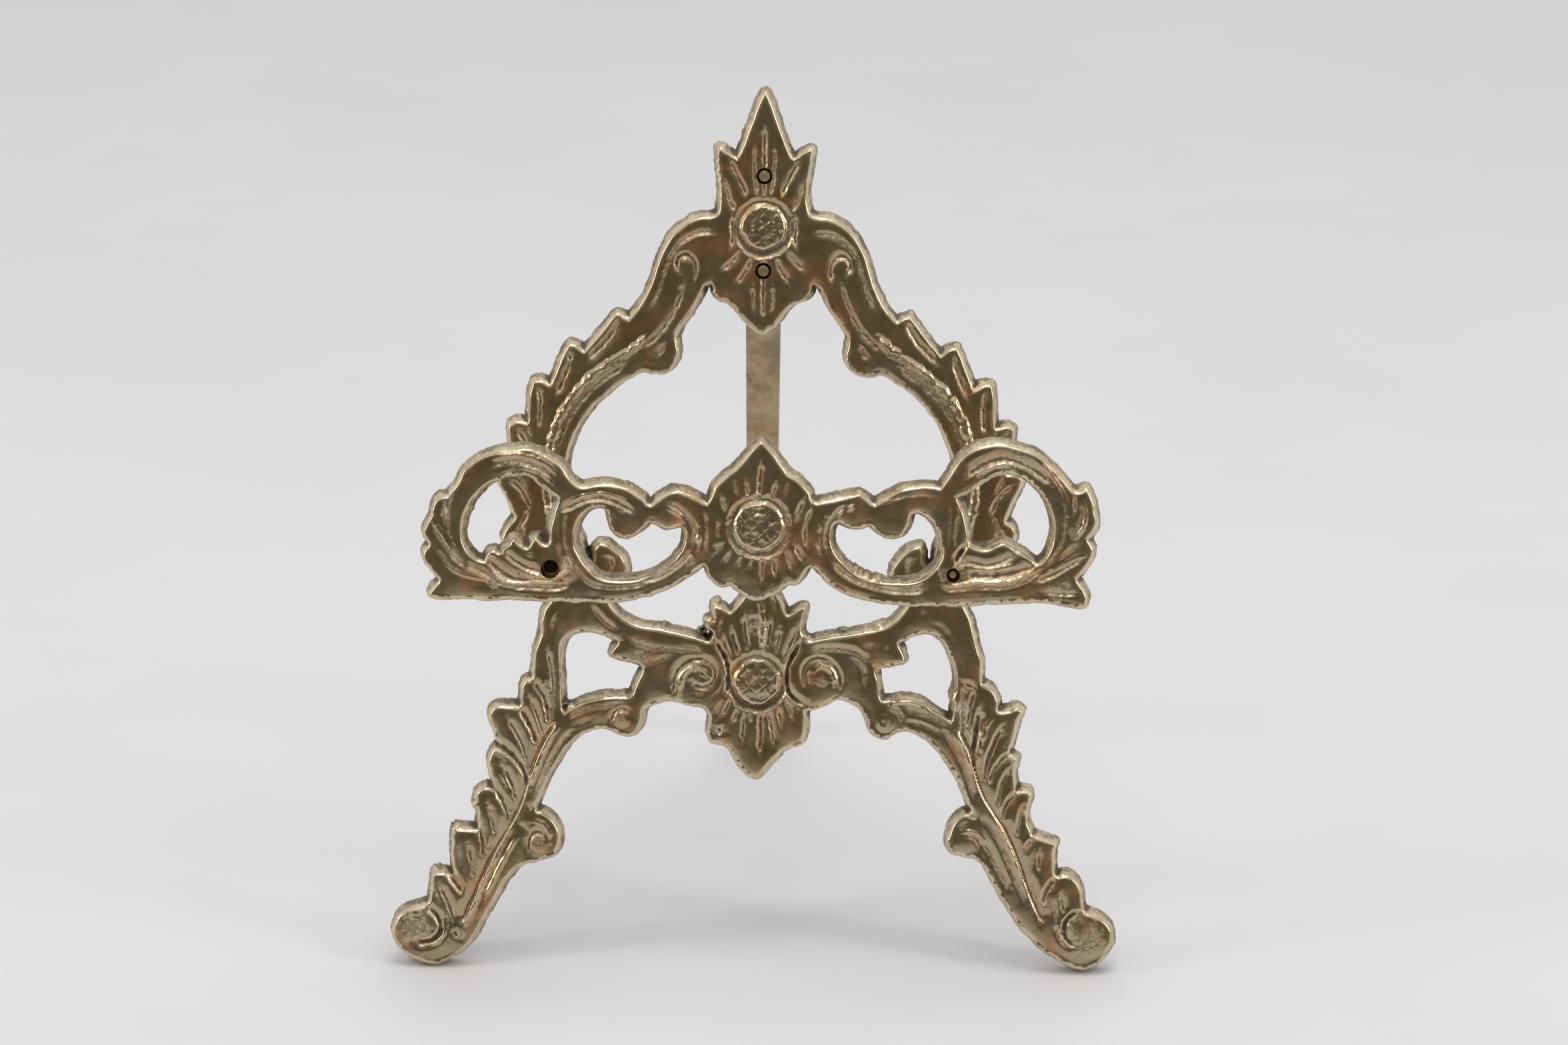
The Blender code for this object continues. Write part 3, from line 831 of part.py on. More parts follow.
def hinge_bracket(mat):
    """Riveted plate with two cheeks that carry the hinge pin: one bent and
    brazed piece, modelled as one closed body."""
    v0, v1 = HINGE_V - 8.8, HINGE_V + 10.0
    back = -FRAME_T - GAP
    plate = back - 1.6
    half, cheek = 5.6, 1.8
    inner = half - cheek
    n = 18
    bm = bmesh.new()
    # profile of a cheek in (w, v): from the plate out around the pin eye
    r = 2.9
    eye = []
    for k in range(n + 1):
        a = math.radians(90.0) + math.pi * k / n
        eye.append((HINGE_W + r * math.cos(a), HINGE_V + r * math.sin(a)))
    cheek_loop = [(plate, HINGE_V + 4.6)] + eye + [(plate, HINGE_V - 4.6)]
    bore = circle(HINGE_W, HINGE_V, 1.3, 24)
    verts, edges = [], []
    for loop in (cheek_loop, bore):
        first = len(verts)
        for k, p in enumerate(loop):
            verts.append(Vector(p))
            edges.append((first + k, first + (k + 1) % len(loop)))
    cv, _, cf, cov, _, _ = delaunay_2d_cdt(verts, edges, [], 0, 1e-6)
    inv = {i: k for k, src in enumerate(cov) for i in src}

    def in_cheek(w, v):
        odd = False
        for (ax, ay), (bx, by) in zip(cheek_loop, cheek_loop[1:] + cheek_loop[:1]):
            if (ay > v) != (by > v) and w < ax + (bx - ax) * (v - ay) / (by - ay):
                odd = not odd
        return odd and math.hypot(w - HINGE_W, v - HINGE_V) > 1.29

    root = len(cheek_loop) - 1
    for x_in, x_out in ((inner, half), (-half, -inner)):
        lo = [bm.verts.new(at(x_in, p.y, p.x)) for p in cv]
        hi = [bm.verts.new(at(x_out, p.y, p.x)) for p in cv]
        for f in cf:
            cw = sum(cv[i].x for i in f) / 3.0
            cz = sum(cv[i].y for i in f) / 3.0
            if in_cheek(cw, cz):
                bm.faces.new([lo[i] for i in f])
                bm.faces.new([hi[i] for i in reversed(f)])
        for a, b in edges:
            if {a, b} == {0, root}:
                continue            # the root stays open, it is welded to the plate
            bm.faces.new([lo[inv[a]], lo[inv[b]], hi[inv[b]], hi[inv[a]]])
    # plate: its back side is cut around the cheek roots and the rivet bores
    foot = [[(inner, HINGE_V - 4.6), (half, HINGE_V - 4.6), (half, HINGE_V + 4.6), (inner, HINGE_V + 4.6)],
            [(-half, HINGE_V - 4.6), (-inner, HINGE_V - 4.6), (-inner, HINGE_V + 4.6), (-half, HINGE_V + 4.6)]]
    rim = [(half, HINGE_V - 4.6), (half, HINGE_V + 4.6), (4.6, HINGE_V + 7.4), (2.6, v1), (-2.6, v1),
           (-4.6, HINGE_V + 7.4), (-half, HINGE_V + 4.6), (-half, HINGE_V - 4.6), (-4.6, HINGE_V - 6.4),
           (-2.6, v0), (2.6, v0), (4.6, HINGE_V - 6.4)]
    bores = [circle(u, v, 1.2, 20) for u, v in RIVETS]

    def face_set(with_feet, w, flip):
        vs, es = [], []
        loops = [rim] + bores
        lines = list(loops)
        for loop in loops:
            first = len(vs)
            for k, p in enumerate(loop):
                vs.append(Vector(p))
                es.append((first + k, first + (k + 1) % len(loop)))
        if with_feet:
            for loop in foot:
                first = len(vs)
                for k, p in enumerate(loop):
                    vs.append(Vector(p))
                    es.append((first + k, first + (k + 1) % len(loop)))
        tv, _, tf, _, _, _ = delaunay_2d_cdt(vs, es, [], 0, 1e-6)
        made = [bm.verts.new(at(p.x, p.y, w)) for p in tv]
        for f in tf:
            cu = sum(tv[i].x for i in f) / 3.0
            cz = sum(tv[i].y for i in f) / 3.0
            odd = False
            for loop in lines:
                for (ax, ay), (bx, by) in zip(loop, loop[1:] + loop[:1]):
                    if (ay > cz) != (by > cz) and cu < ax + (bx - ax) * (cz - ay) / (by - ay):
                        odd = not odd
            if not odd:
                continue
            if with_feet and inner < abs(cu) < half and abs(cz - HINGE_V) < 4.6:
                continue
            idx = list(reversed(f)) if flip else list(f)
            bm.faces.new([made[i] for i in idx])
        where = {(round(p.x, 4), round(p.y, 4)): m for p, m in zip(tv, made)}
        return where

    front_v = face_set(False, back, False)
    back_v = face_set(True, plate, True)
    for loop in [rim] + bores:
        for a, b in zip(loop, loop[1:] + loop[:1]):
            ka, kb = (round(a[0], 4), round(a[1], 4)), (round(b[0], 4), round(b[1], 4))
            bm.faces.new([front_v[ka], front_v[kb], back_v[kb], back_v[ka]])
    bmesh.ops.remove_doubles(bm, verts=bm.verts, dist=1e-7)
    return finish("hinge_bracket", bm, mat)


def hinge_pin(mat):
    """Headed pin along x."""
    bm = bmesh.new()
    n = 28
    prof = [(-6.9, 1.9), (-6.6, 2.2), (-6.0, 2.2), (-6.0, 1.2), (7.9, 1.2), (8.1, 0.95)]
    rows = []
    for x, r in prof:
        rows.append([bm.verts.new(at(x, HINGE_V + r * math.sin(2 * math.pi * k / n),
                                     HINGE_W + r * math.cos(2 * math.pi * k / n))) for k in range(n)])
    for a, b in zip(rows[:-1], rows[1:]):
        for k in range(n):
            bm.faces.new([a[k], a[(k + 1) % n], b[(k + 1) % n], b[k]])
    bm.faces.new(rows[0])
    bm.faces.new(rows[-1])
    return finish("hinge_pin", bm, mat)


def pin_collar(mat):
    """Collar that keeps the pin in its cheeks."""
    bm = bmesh.new()
    n = 28
    prof = [(5.9, 1.3), (5.9, 2.2), (7.0, 2.2), (7.3, 1.9), (7.3, 1.3)]
    rows = []
    for x, r in prof:
        rows.append([bm.verts.new(at(x, HINGE_V + r * math.sin(2 * math.pi * k / n),
                                     HINGE_W + r * math.cos(2 * math.pi * k / n))) for k in range(n)])
    for i in range(len(rows)):
        a, b = rows[i], rows[(i + 1) % len(rows)]
        for k in range(n):
            bm.faces.new([a[k], a[(k + 1) % n], b[(k + 1) % n], b[k]])
    return finish("pin_collar", bm, mat)


def rear_leg(mat):
    """Folding strut. Local z runs down the leg from the pin, local y is its
    thickness (towards the back), x is its width."""
    pin = at(0.0, HINGE_V, HINGE_W)
    down = Vector((0.0, -math.sin(LEAN), -math.cos(LEAN)))
    leg_dir = Matrix.Rotation(OPEN, 3, "X") @ down        # swings backwards
    back_dir = leg_dir.cross(Vector((1.0, 0.0, 0.0)))
    if back_dir.y < 0:
        back_dir.negate()
    reach = pin.z / -leg_dir.z / MM                       # pin to ground along the leg
    length = reach + 1.2
    half_t = LEG_T / 2.0
    # side outline (y, z): heel above the pin, eye, slightly curved strut, toe
    stop = -FRAME_T - GAP - 1.6 - 0.15                    # heel rests 0.15 off the plate
    # the heel is cut parallel to the bracket plate in the open position
    normal = Vector((0.0, -math.cos(LEAN), math.sin(LEAN)))
    ny, nz = back_dir.dot(normal), leg_dir.dot(normal)

    top = -5.6
    za = ((stop - HINGE_W) + half_t * ny) / nz            # stop face starts here
    yb = ((stop - HINGE_W) - top * nz) / ny               # and ends at the heel's top
    r = KNUCKLE_R
    right = [(half_t, top + 0.8), (half_t, -r * 0.8)]
    arc_r = [(r * math.cos(math.radians(a)), r * math.sin(math.radians(a))) for a in range(-50, 51, 20)]
    down_r = [(half_t + 0.2, 4.6), (half_t + 0.5, 20.0), (half_t + 0.9, 50.0), (half_t + 0.7, 85.0),
              (half_t + 0.2, length - 14.0), (half_t + 0.1, length - 5.0), (half_t + 0.6, length - 1.8), (half_t + 0.3, length)]
    down_l = [(-half_t - 0.7, length), (-half_t - 1.0, length - 1.8), (-half_t - 0.3, length - 5.0),
              (-half_t - 0.1, length - 14.0), (-half_t + 0.3, 85.0), (-half_t + 0.5, 50.0), (-half_t + 0.2, 20.0),
              (-half_t - 0.2, 4.6)]
    arc_l = [(-r * math.cos(math.radians(a)), r * math.sin(math.radians(a))) for a in range(50, -51, -20)]
    left = [(-half_t, -r * 0.8), (-half_t, za), (yb, top), (half_t - 0.8, top)]
    side = right + arc_r + down_r + down_l + arc_l + left
    bore = circle(0.0, 0.0, 1.3, 24)
    frame = Matrix.Identity(4)
    for k in range(3):
        frame[k][1] = back_dir[k]
        frame[k][2] = leg_dir[k]
    frame.translation = pin

    # width along the leg: eye 6.8 wide, strut tapering, toe a little wider
    def half_w(z):
        keys = [(-20.0, 2.5), (-4.0, 3.1), (0.0, 3.45), (4.0, 3.45), (8.0, 2.7), (50.0, 2.45), (90.0, 2.3),
                (length - 8.0, 2.4), (length - 2.0, 3.0), (length + 5.0, 3.0)]
        for (z0, a), (z1, b) in zip(keys[:-1], keys[1:]):
            if z <= z1:
                return a + (b - a) * max(0.0, (z - z0)) / (z1 - z0)
        return keys[-1][1]

    verts, edges = [], []
    rows = [side, bore]
    for loop in rows:
        first = len(verts)
        for k, p in enumerate(loop):
            verts.append(Vector(p))
            edges.append((first + k, first + (k + 1) % len(loop)))
    for z in (8.0, 30.0, 65.0):
        verts.append(Vector((0.1, z)))
    cv, _, cf, cov, _, _ = delaunay_2d_cdt(verts, edges, [], 0, 1e-6)
    inv = {i: k for k, src in enumerate(cov) for i in src}
    n_side = len(side)

    def odd(u, v):
        res = False
        for loop in rows:
            for (ax, ay), (bx, by) in zip(loop, loop[1:] + loop[:1]):
                if (ay > v) != (by > v) and u < ax + (bx - ax) * (v - ay) / (by - ay):
                    res = not res
        return res

    bm = bmesh.new()
    lo = [bm.verts.new(frame @ Vector((-half_w(p.y) * MM, p.x * MM, p.y * MM))) for p in cv]
    hi = [bm.verts.new(frame @ Vector((half_w(p.y) * MM, p.x * MM, p.y * MM))) for p in cv]
    for f in cf:
        if odd(sum(cv[i].x for i in f) / 3.0, sum(cv[i].y for i in f) / 3.0):
            bm.faces.new([lo[i] for i in f])
            bm.faces.new([hi[i] for i in reversed(f)])
    for a, b in edges:
        a, b = inv[a], inv[b]
        bm.faces.new([lo[a], lo[b], hi[b], hi[a]])
    # soften the long edges of the strut and the toe
    bmesh.ops.recalc_face_normals(bm, faces=bm.faces)
    ob = finish("rear_leg", bm, mat, origin=pin)
    return ob


def build():
    clear_scene()
    cast = metal("cast_brass", (0.40, 0.29, 0.14), 0.38)
    rail_m = metal("rail_brass", (0.42, 0.31, 0.15), 0.36)
    turned_m = metal("turned_brass", (0.48, 0.36, 0.17), 0.30)
    hinge_m = metal("hinge_brass", (0.38, 0.28, 0.14), 0.42)
    leg_m = metal("leg_brass", (0.39, 0.285, 0.14), 0.42)
    steel_m = metal("nut_brass", (0.45, 0.34, 0.17), 0.35)

    frame_ob = casting("front_frame", [FRAME_OUTER, FRAME_LYRE, FRAME_HEART_L, FRAME_HEART_R], FRAME_T, 0.0,
                       FRAME_RIBS, FRAME_BOSSES,
                       [(PEG_L[0], PEG_L[1], 1.3), (PEG_R[0], PEG_R[1], 1.3)]
                       + [(u, v, 1.2) for u, v in RIVETS], cast)
    ground_flat(frame_ob)
    casting("gallery_rail", [RAIL_OUTER, RAIL_LOOP_L, RAIL_KIDNEY_L, RAIL_KIDNEY_R, RAIL_LOOP_R], RAIL_T, RAIL_W,
            RAIL_RIBS, RAIL_BOSSES, [(PEG_L[0], PEG_L[1], 1.35), (PEG_R[0], PEG_R[1], 1.0)], rail_m)
    ledge_arm("left_ledge_arm", PEG_L[0], PEG_L[1], 1.0, turned_m)
    ledge_arm("right_ledge_arm", PEG_R[0], PEG_R[1], 0.7, turned_m)
    for side, (u, v) in (("left", PEG_L), ("right", PEG_R)):
        hex_nut(side + "_arm_nut", u, v, -FRAME_T - GAP - 2.4, -FRAME_T - GAP, 2.3, 1.3, steel_m)
    hinge_bracket(hinge_m)
    for k, (u, v) in enumerate(RIVETS, 1):
        back = -FRAME_T - GAP - 1.6 - GAP
        turned("hinge_rivet_%d" % k, u, v, 0.0,
               [(back - 0.8, 0.9), (back - 0.55, 1.6), (back, 1.9), (back, 0.9), (-0.25, 0.9), (-0.1, 0.75)], turned_m, seg=24)
    hinge_pin(turned_m)
    pin_collar(turned_m)
    leg = rear_leg(leg_m)
    ground_flat(leg)


build()
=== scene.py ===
"""Looks of the plate display stand: sand cast, polished and aged brass.

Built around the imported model. Lengths in the tables are millimetres in the
plane of the castings: u to the right, v up the slope, w out of the front.
"""
import math

import bmesh
import bpy
import numpy as np
from mathutils import Matrix, Vector
from mathutils.geometry import delaunay_2d_cdt


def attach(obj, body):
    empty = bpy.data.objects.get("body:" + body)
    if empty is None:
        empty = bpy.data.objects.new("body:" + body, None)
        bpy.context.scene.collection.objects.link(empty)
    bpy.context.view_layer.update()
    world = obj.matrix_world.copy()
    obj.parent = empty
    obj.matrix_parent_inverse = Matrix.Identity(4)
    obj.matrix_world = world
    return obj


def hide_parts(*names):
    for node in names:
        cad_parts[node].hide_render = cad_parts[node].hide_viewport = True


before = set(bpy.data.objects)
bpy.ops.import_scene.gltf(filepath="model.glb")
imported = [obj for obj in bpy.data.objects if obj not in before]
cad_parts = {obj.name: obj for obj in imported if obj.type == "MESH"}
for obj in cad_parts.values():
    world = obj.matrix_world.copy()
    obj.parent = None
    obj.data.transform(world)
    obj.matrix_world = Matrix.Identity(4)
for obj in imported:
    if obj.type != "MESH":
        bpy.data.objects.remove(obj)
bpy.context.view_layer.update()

MM = 0.001
LEAN = math.radians(14.0)
LIFT = 0.4
MID_X, MID_Y = -0.4245, 43.243
FRAME_T = 3.4
RAIL_T = 3.3
RAIL_W = 23.0
WIDE = 1.05                      # the back of a casting is this much wider
GAP = 0.3
PEG_L = (-30.2, 62.9)
PEG_R = (28.0, 62.7)
RIVETS = ((0.0, 104.6), (0.0, 118.6))
HINGE_V = 111.0
HINGE_W = -9.6
OPEN = math.radians(42.0)
LEG_T = 3.4
KNUCKLE_R = 3.0

LEG_BODY = "leg"
TABLE = (0.65, 0.648, 0.665)
ROOM_DIR = (0.0, -0.99, 0.12)
# room brightness by the angle to ROOM_DIR: 0 opposite, 1 straight at it
ROOM = [(0.0, (0.76, 0.755, 0.76)), (0.45, (0.84, 0.83, 0.82)), (0.60, (0.70, 0.68, 0.65)), (0.68, (0.44, 0.40, 0.35)),
        (0.745, (0.33, 0.25, 0.18)), (0.795, (0.38, 0.21, 0.12)), (0.855, (0.24, 0.155, 0.095)), (0.90, (0.152, 0.131, 0.094)),
        (1.0, (0.142, 0.126, 0.093))]
SKY = (0.86, 0.86, 0.865)
LIGHTS = [
    ("top_box", (0.05, -0.05, 0.9), (0, 0, 0.05), 0.5, 0.35, 2.2, (1.0, 0.99, 0.97)),
    ("left_box", (-0.75, -0.25, 0.35), (0, 0, 0.05), 0.10, 0.45, 1.25, (1.0, 0.98, 0.95)),
    ("right_box", (0.75, -0.30, 0.40), (0, 0, 0.05), 0.12, 0.45, 1.5, (1.0, 0.99, 0.97)),
    ("high_front", (-0.12, -0.75, 0.85), (0, 0, 0.05), 0.16, 0.10, 0.6, (1.0, 0.97, 0.93)),
]

# Gallery rail, outer edge of the front face, clockwise from the middle tip (mm)
RAIL_OUTER = [
    (0.1, 81.4), (1.3, 80.2), (2.2, 79.1), (3.0, 77.9), (3.8, 76.9), (5.0, 76.2),
    (6.1, 75.2), (6.8, 74.4), (7.2, 73.3), (7.9, 72.8), (9.0, 73.0), (10.5, 73.2),
    (12.0, 73.5), (13.4, 73.85), (14.3, 74.0), (15.1, 73.5), (15.9, 72.8), (16.6, 72.5),
    (17.4, 73.0), (18.3, 73.6), (19.3, 74.2), (20.6, 74.8), (22.0, 75.1), (23.5, 75.3),
    (25.0, 75.2), (26.1, 75.1), (26.7, 75.8), (27.5, 77.0), (28.3, 78.3), (29.2, 79.6),
    (30.2, 80.4), (31.3, 81.0), (32.5, 81.35), (33.8, 81.5), (35.2, 81.45), (36.6, 81.1),
    (38.0, 80.7), (39.3, 80.2), (40.4, 79.5), (41.5, 78.5), (42.4, 77.6), (43.3, 76.6),
    (44.2, 75.6), (44.9, 74.9), (45.6, 74.7), (46.4, 74.9), (47.0, 75.2), (47.4, 74.4),
    (47.9, 73.2), (48.0, 72.2), (48.2, 71.2), (48.2, 70.2), (47.9, 69.3), (47.4, 68.6),
    (47.0, 68.1), (47.4, 67.5), (47.8, 66.7), (47.8, 65.8), (47.3, 64.8), (46.6, 63.8),
    (46.0, 63.0), (45.5, 62.4), (45.8, 61.8), (46.4, 61.0), (46.9, 60.2), (47.1, 59.4),
    (46.9, 58.7), (46.0, 58.8), (44.5, 59.1), (43.0, 59.35), (41.5, 59.55), (40.0, 59.6),
    (38.0, 59.55), (36.0, 59.45), (34.0, 59.3), (32.0, 59.15), (30.0, 59.0), (28.0, 58.9),
    (26.0, 58.8), (24.0, 58.8), (22.0, 58.85), (20.0, 58.95), (18.0, 59.2), (16.0, 59.5),
    (14.0, 60.0), (12.5, 60.6), (11.0, 61.5), (10.0, 62.3), (9.0, 63.2), (8.2, 63.9),
    (7.4, 64.1), (6.8, 63.7), (6.4, 63.0), (5.9, 62.2), (5.2, 61.7), (4.6, 61.7),
    (4.1, 61.9), (3.6, 61.5), (2.8, 60.7), (2.0, 60.2), (1.0, 59.8), (0.0, 59.4),
    (-0.7, 59.35), (-1.3, 59.6), (-2.0, 60.0), (-2.8, 60.6), (-3.5, 61.3), (-4.1, 61.6),
    (-5.0, 61.4), (-5.8, 61.4), (-6.4, 62.0), (-6.9, 62.9), (-7.3, 63.9), (-7.8, 64.4),
    (-8.5, 64.1), (-9.5, 63.3), (-11.0, 62.2), (-12.5, 61.3), (-14.0, 60.6), (-16.0, 59.9),
    (-18.0, 59.3), (-20.0, 58.95), (-22.0, 58.85), (-24.0, 58.8), (-26.0, 58.8), (-28.0, 58.85),
    (-30.0, 58.85), (-32.0, 58.9), (-34.0, 58.95), (-36.0, 59.0), (-38.0, 59.0), (-40.0, 59.0),
    (-42.0, 59.0), (-44.0, 58.95), (-45.5, 58.95), (-46.6, 59.0), (-47.1, 59.2), (-46.7, 59.9),
    (-46.2, 60.4), (-45.8, 61.0), (-46.0, 61.7), (-46.4, 62.3), (-47.1, 63.0), (-47.8, 63.8),
    (-48.1, 64.6), (-48.0, 65.3), (-47.5, 65.8), (-47.2, 66.2), (-47.5, 67.0), (-47.8, 67.7),
    (-48.0, 68.4), (-47.7, 69.2), (-47.3, 69.9), (-47.0, 70.5), (-46.9, 71.3), (-46.7, 72.1),
    (-46.2, 72.7), (-45.4, 73.0), (-44.8, 73.1), (-44.3, 73.8), (-43.7, 74.5), (-43.1, 75.4),
    (-42.8, 76.2), (-42.5, 76.9), (-41.6, 77.7), (-40.5, 78.5), (-39.3, 79.1), (-38.0, 79.5),
    (-36.5, 79.8), (-35.2, 80.0), (-34.0, 80.1), (-33.0, 79.9), (-32.0, 79.5), (-31.0, 79.0),
    (-30.0, 78.4), (-29.2, 77.9), (-28.6, 77.2), (-28.1, 76.4), (-27.4, 75.6), (-26.7, 75.0),
    (-26.0, 74.7), (-25.0, 74.7), (-24.0, 74.9), (-23.0, 75.0), (-22.0, 75.0), (-21.0, 74.9),
    (-20.0, 74.7), (-19.0, 74.3), (-18.0, 73.7), (-17.0, 73.0), (-16.3, 72.3), (-15.7, 72.2),
    (-14.7, 72.9), (-13.6, 73.7), (-12.6, 74.15), (-11.8, 74.2), (-10.8, 73.9), (-9.8, 73.5),
    (-8.8, 73.0), (-8.1, 72.6), (-7.5, 72.4), (-7.0, 73.1), (-6.6, 74.1), (-6.1, 75.1),
    (-5.3, 75.9), (-4.3, 76.8), (-3.4, 77.5), (-2.4, 78.6), (-1.5, 79.7), (-0.7, 80.7)]

RAIL_LOOP_L = [
    (-35.0, 77.2), (-36.5, 77.0), (-38.0, 76.4), (-39.3, 75.7), (-40.3, 74.8), (-41.3, 73.7),
    (-42.2, 72.3), (-42.9, 70.7), (-43.2, 69.2), (-43.3, 67.8), (-43.1, 66.7), (-42.6, 65.6),
    (-42.0, 64.8), (-41.2, 64.1), (-40.3, 63.7), (-39.6, 63.6), (-39.2, 64.2), (-38.9, 65.0),
    (-38.5, 65.2), (-37.8, 64.9), (-37.2, 64.9), (-36.8, 65.5), (-36.3, 65.9), (-35.8, 66.2),
    (-35.5, 66.9), (-35.1, 66.4), (-34.3, 65.9), (-33.5, 65.6), (-33.0, 65.9), (-32.6, 66.7),
    (-32.3, 67.1), (-31.9, 66.6), (-31.2, 66.2), (-30.4, 66.2), (-30.0, 66.8), (-29.9, 67.8),
    (-29.8, 69.0), (-29.5, 70.3), (-29.2, 71.5), (-28.8, 72.6), (-28.5, 73.3), (-29.1, 73.9),
    (-30.0, 74.5), (-31.0, 75.3), (-32.0, 76.1), (-33.0, 76.8), (-34.0, 77.15)]

RAIL_KIDNEY_L = [
    (-23.4, 72.5), (-24.6, 72.1), (-25.5, 71.4), (-26.2, 70.5), (-26.7, 69.5), (-27.0, 68.3),
    (-27.0, 67.2), (-26.9, 66.0), (-26.4, 64.9), (-25.7, 63.8), (-24.8, 62.7), (-23.8, 61.8),
    (-22.6, 61.2), (-21.2, 61.0), (-19.8, 61.0), (-18.4, 61.1), (-17.0, 61.4), (-15.5, 61.9),
    (-14.0, 62.6), (-12.8, 63.5), (-11.8, 64.5), (-11.0, 65.6), (-10.6, 66.6), (-10.4, 67.6),
    (-10.3, 68.6), (-10.5, 69.4), (-10.9, 69.9), (-11.6, 70.0), (-12.4, 69.8), (-13.4, 69.5),
    (-14.3, 69.8), (-15.0, 70.2), (-15.6, 70.5), (-16.3, 70.1), (-17.0, 69.3), (-17.9, 68.7),
    (-18.8, 68.3), (-19.6, 68.2), (-20.3, 68.5), (-20.9, 69.2), (-21.2, 70.0), (-21.4, 71.0),
    (-21.7, 72.0), (-22.4, 72.5)]

RAIL_KIDNEY_R = [
    (22.6, 72.2), (23.5, 72.1), (24.4, 71.6), (25.3, 70.7), (26.0, 69.6), (26.5, 68.2),
    (26.8, 66.8), (26.7, 65.4), (26.2, 64.2), (25.4, 63.2), (24.4, 62.3), (23.2, 61.6),
    (21.8, 61.2), (20.4, 61.1), (19.0, 61.1), (17.5, 61.2), (16.0, 61.5), (14.6, 62.0),
    (13.4, 62.7), (12.2, 63.7), (11.3, 64.7), (10.6, 65.7), (10.1, 66.8), (9.9, 67.8),
    (10.0, 68.8), (10.3, 69.8), (10.8, 70.5), (11.4, 70.8), (12.2, 70.4), (13.0, 70.05),
    (14.0, 69.9), (15.0, 70.2), (15.8, 70.6), (16.3, 70.2), (17.0, 69.5), (17.8, 69.0),
    (18.8, 68.7), (19.7, 68.7), (20.6, 69.1), (21.2, 70.0), (21.4, 71.0), (21.8, 71.9)]

RAIL_LOOP_R = [
    (27.8, 74.0), (29.2, 75.0), (30.5, 75.8), (32.0, 76.9), (33.3, 77.7), (34.7, 78.1),
    (36.0, 78.15), (37.3, 77.9), (38.6, 77.3), (39.8, 76.4), (40.9, 75.2), (41.7, 73.9),
    (42.3, 72.5), (42.7, 71.0), (42.8, 69.5), (42.7, 68.2), (42.5, 67.0), (42.0, 65.9),
    (41.3, 64.9), (40.5, 64.3), (39.9, 64.1), (39.3, 64.6), (38.3, 65.4), (37.5, 65.9),
    (36.7, 66.2), (35.9, 66.9), (35.1, 67.2), (34.4, 67.0), (33.5, 66.5), (32.5, 66.2),
    (31.5, 66.3), (30.6, 66.6), (30.1, 67.0), (29.8, 67.7), (29.7, 68.7), (29.5, 69.8),
    (29.2, 71.0), (28.8, 72.2), (28.3, 73.3)]

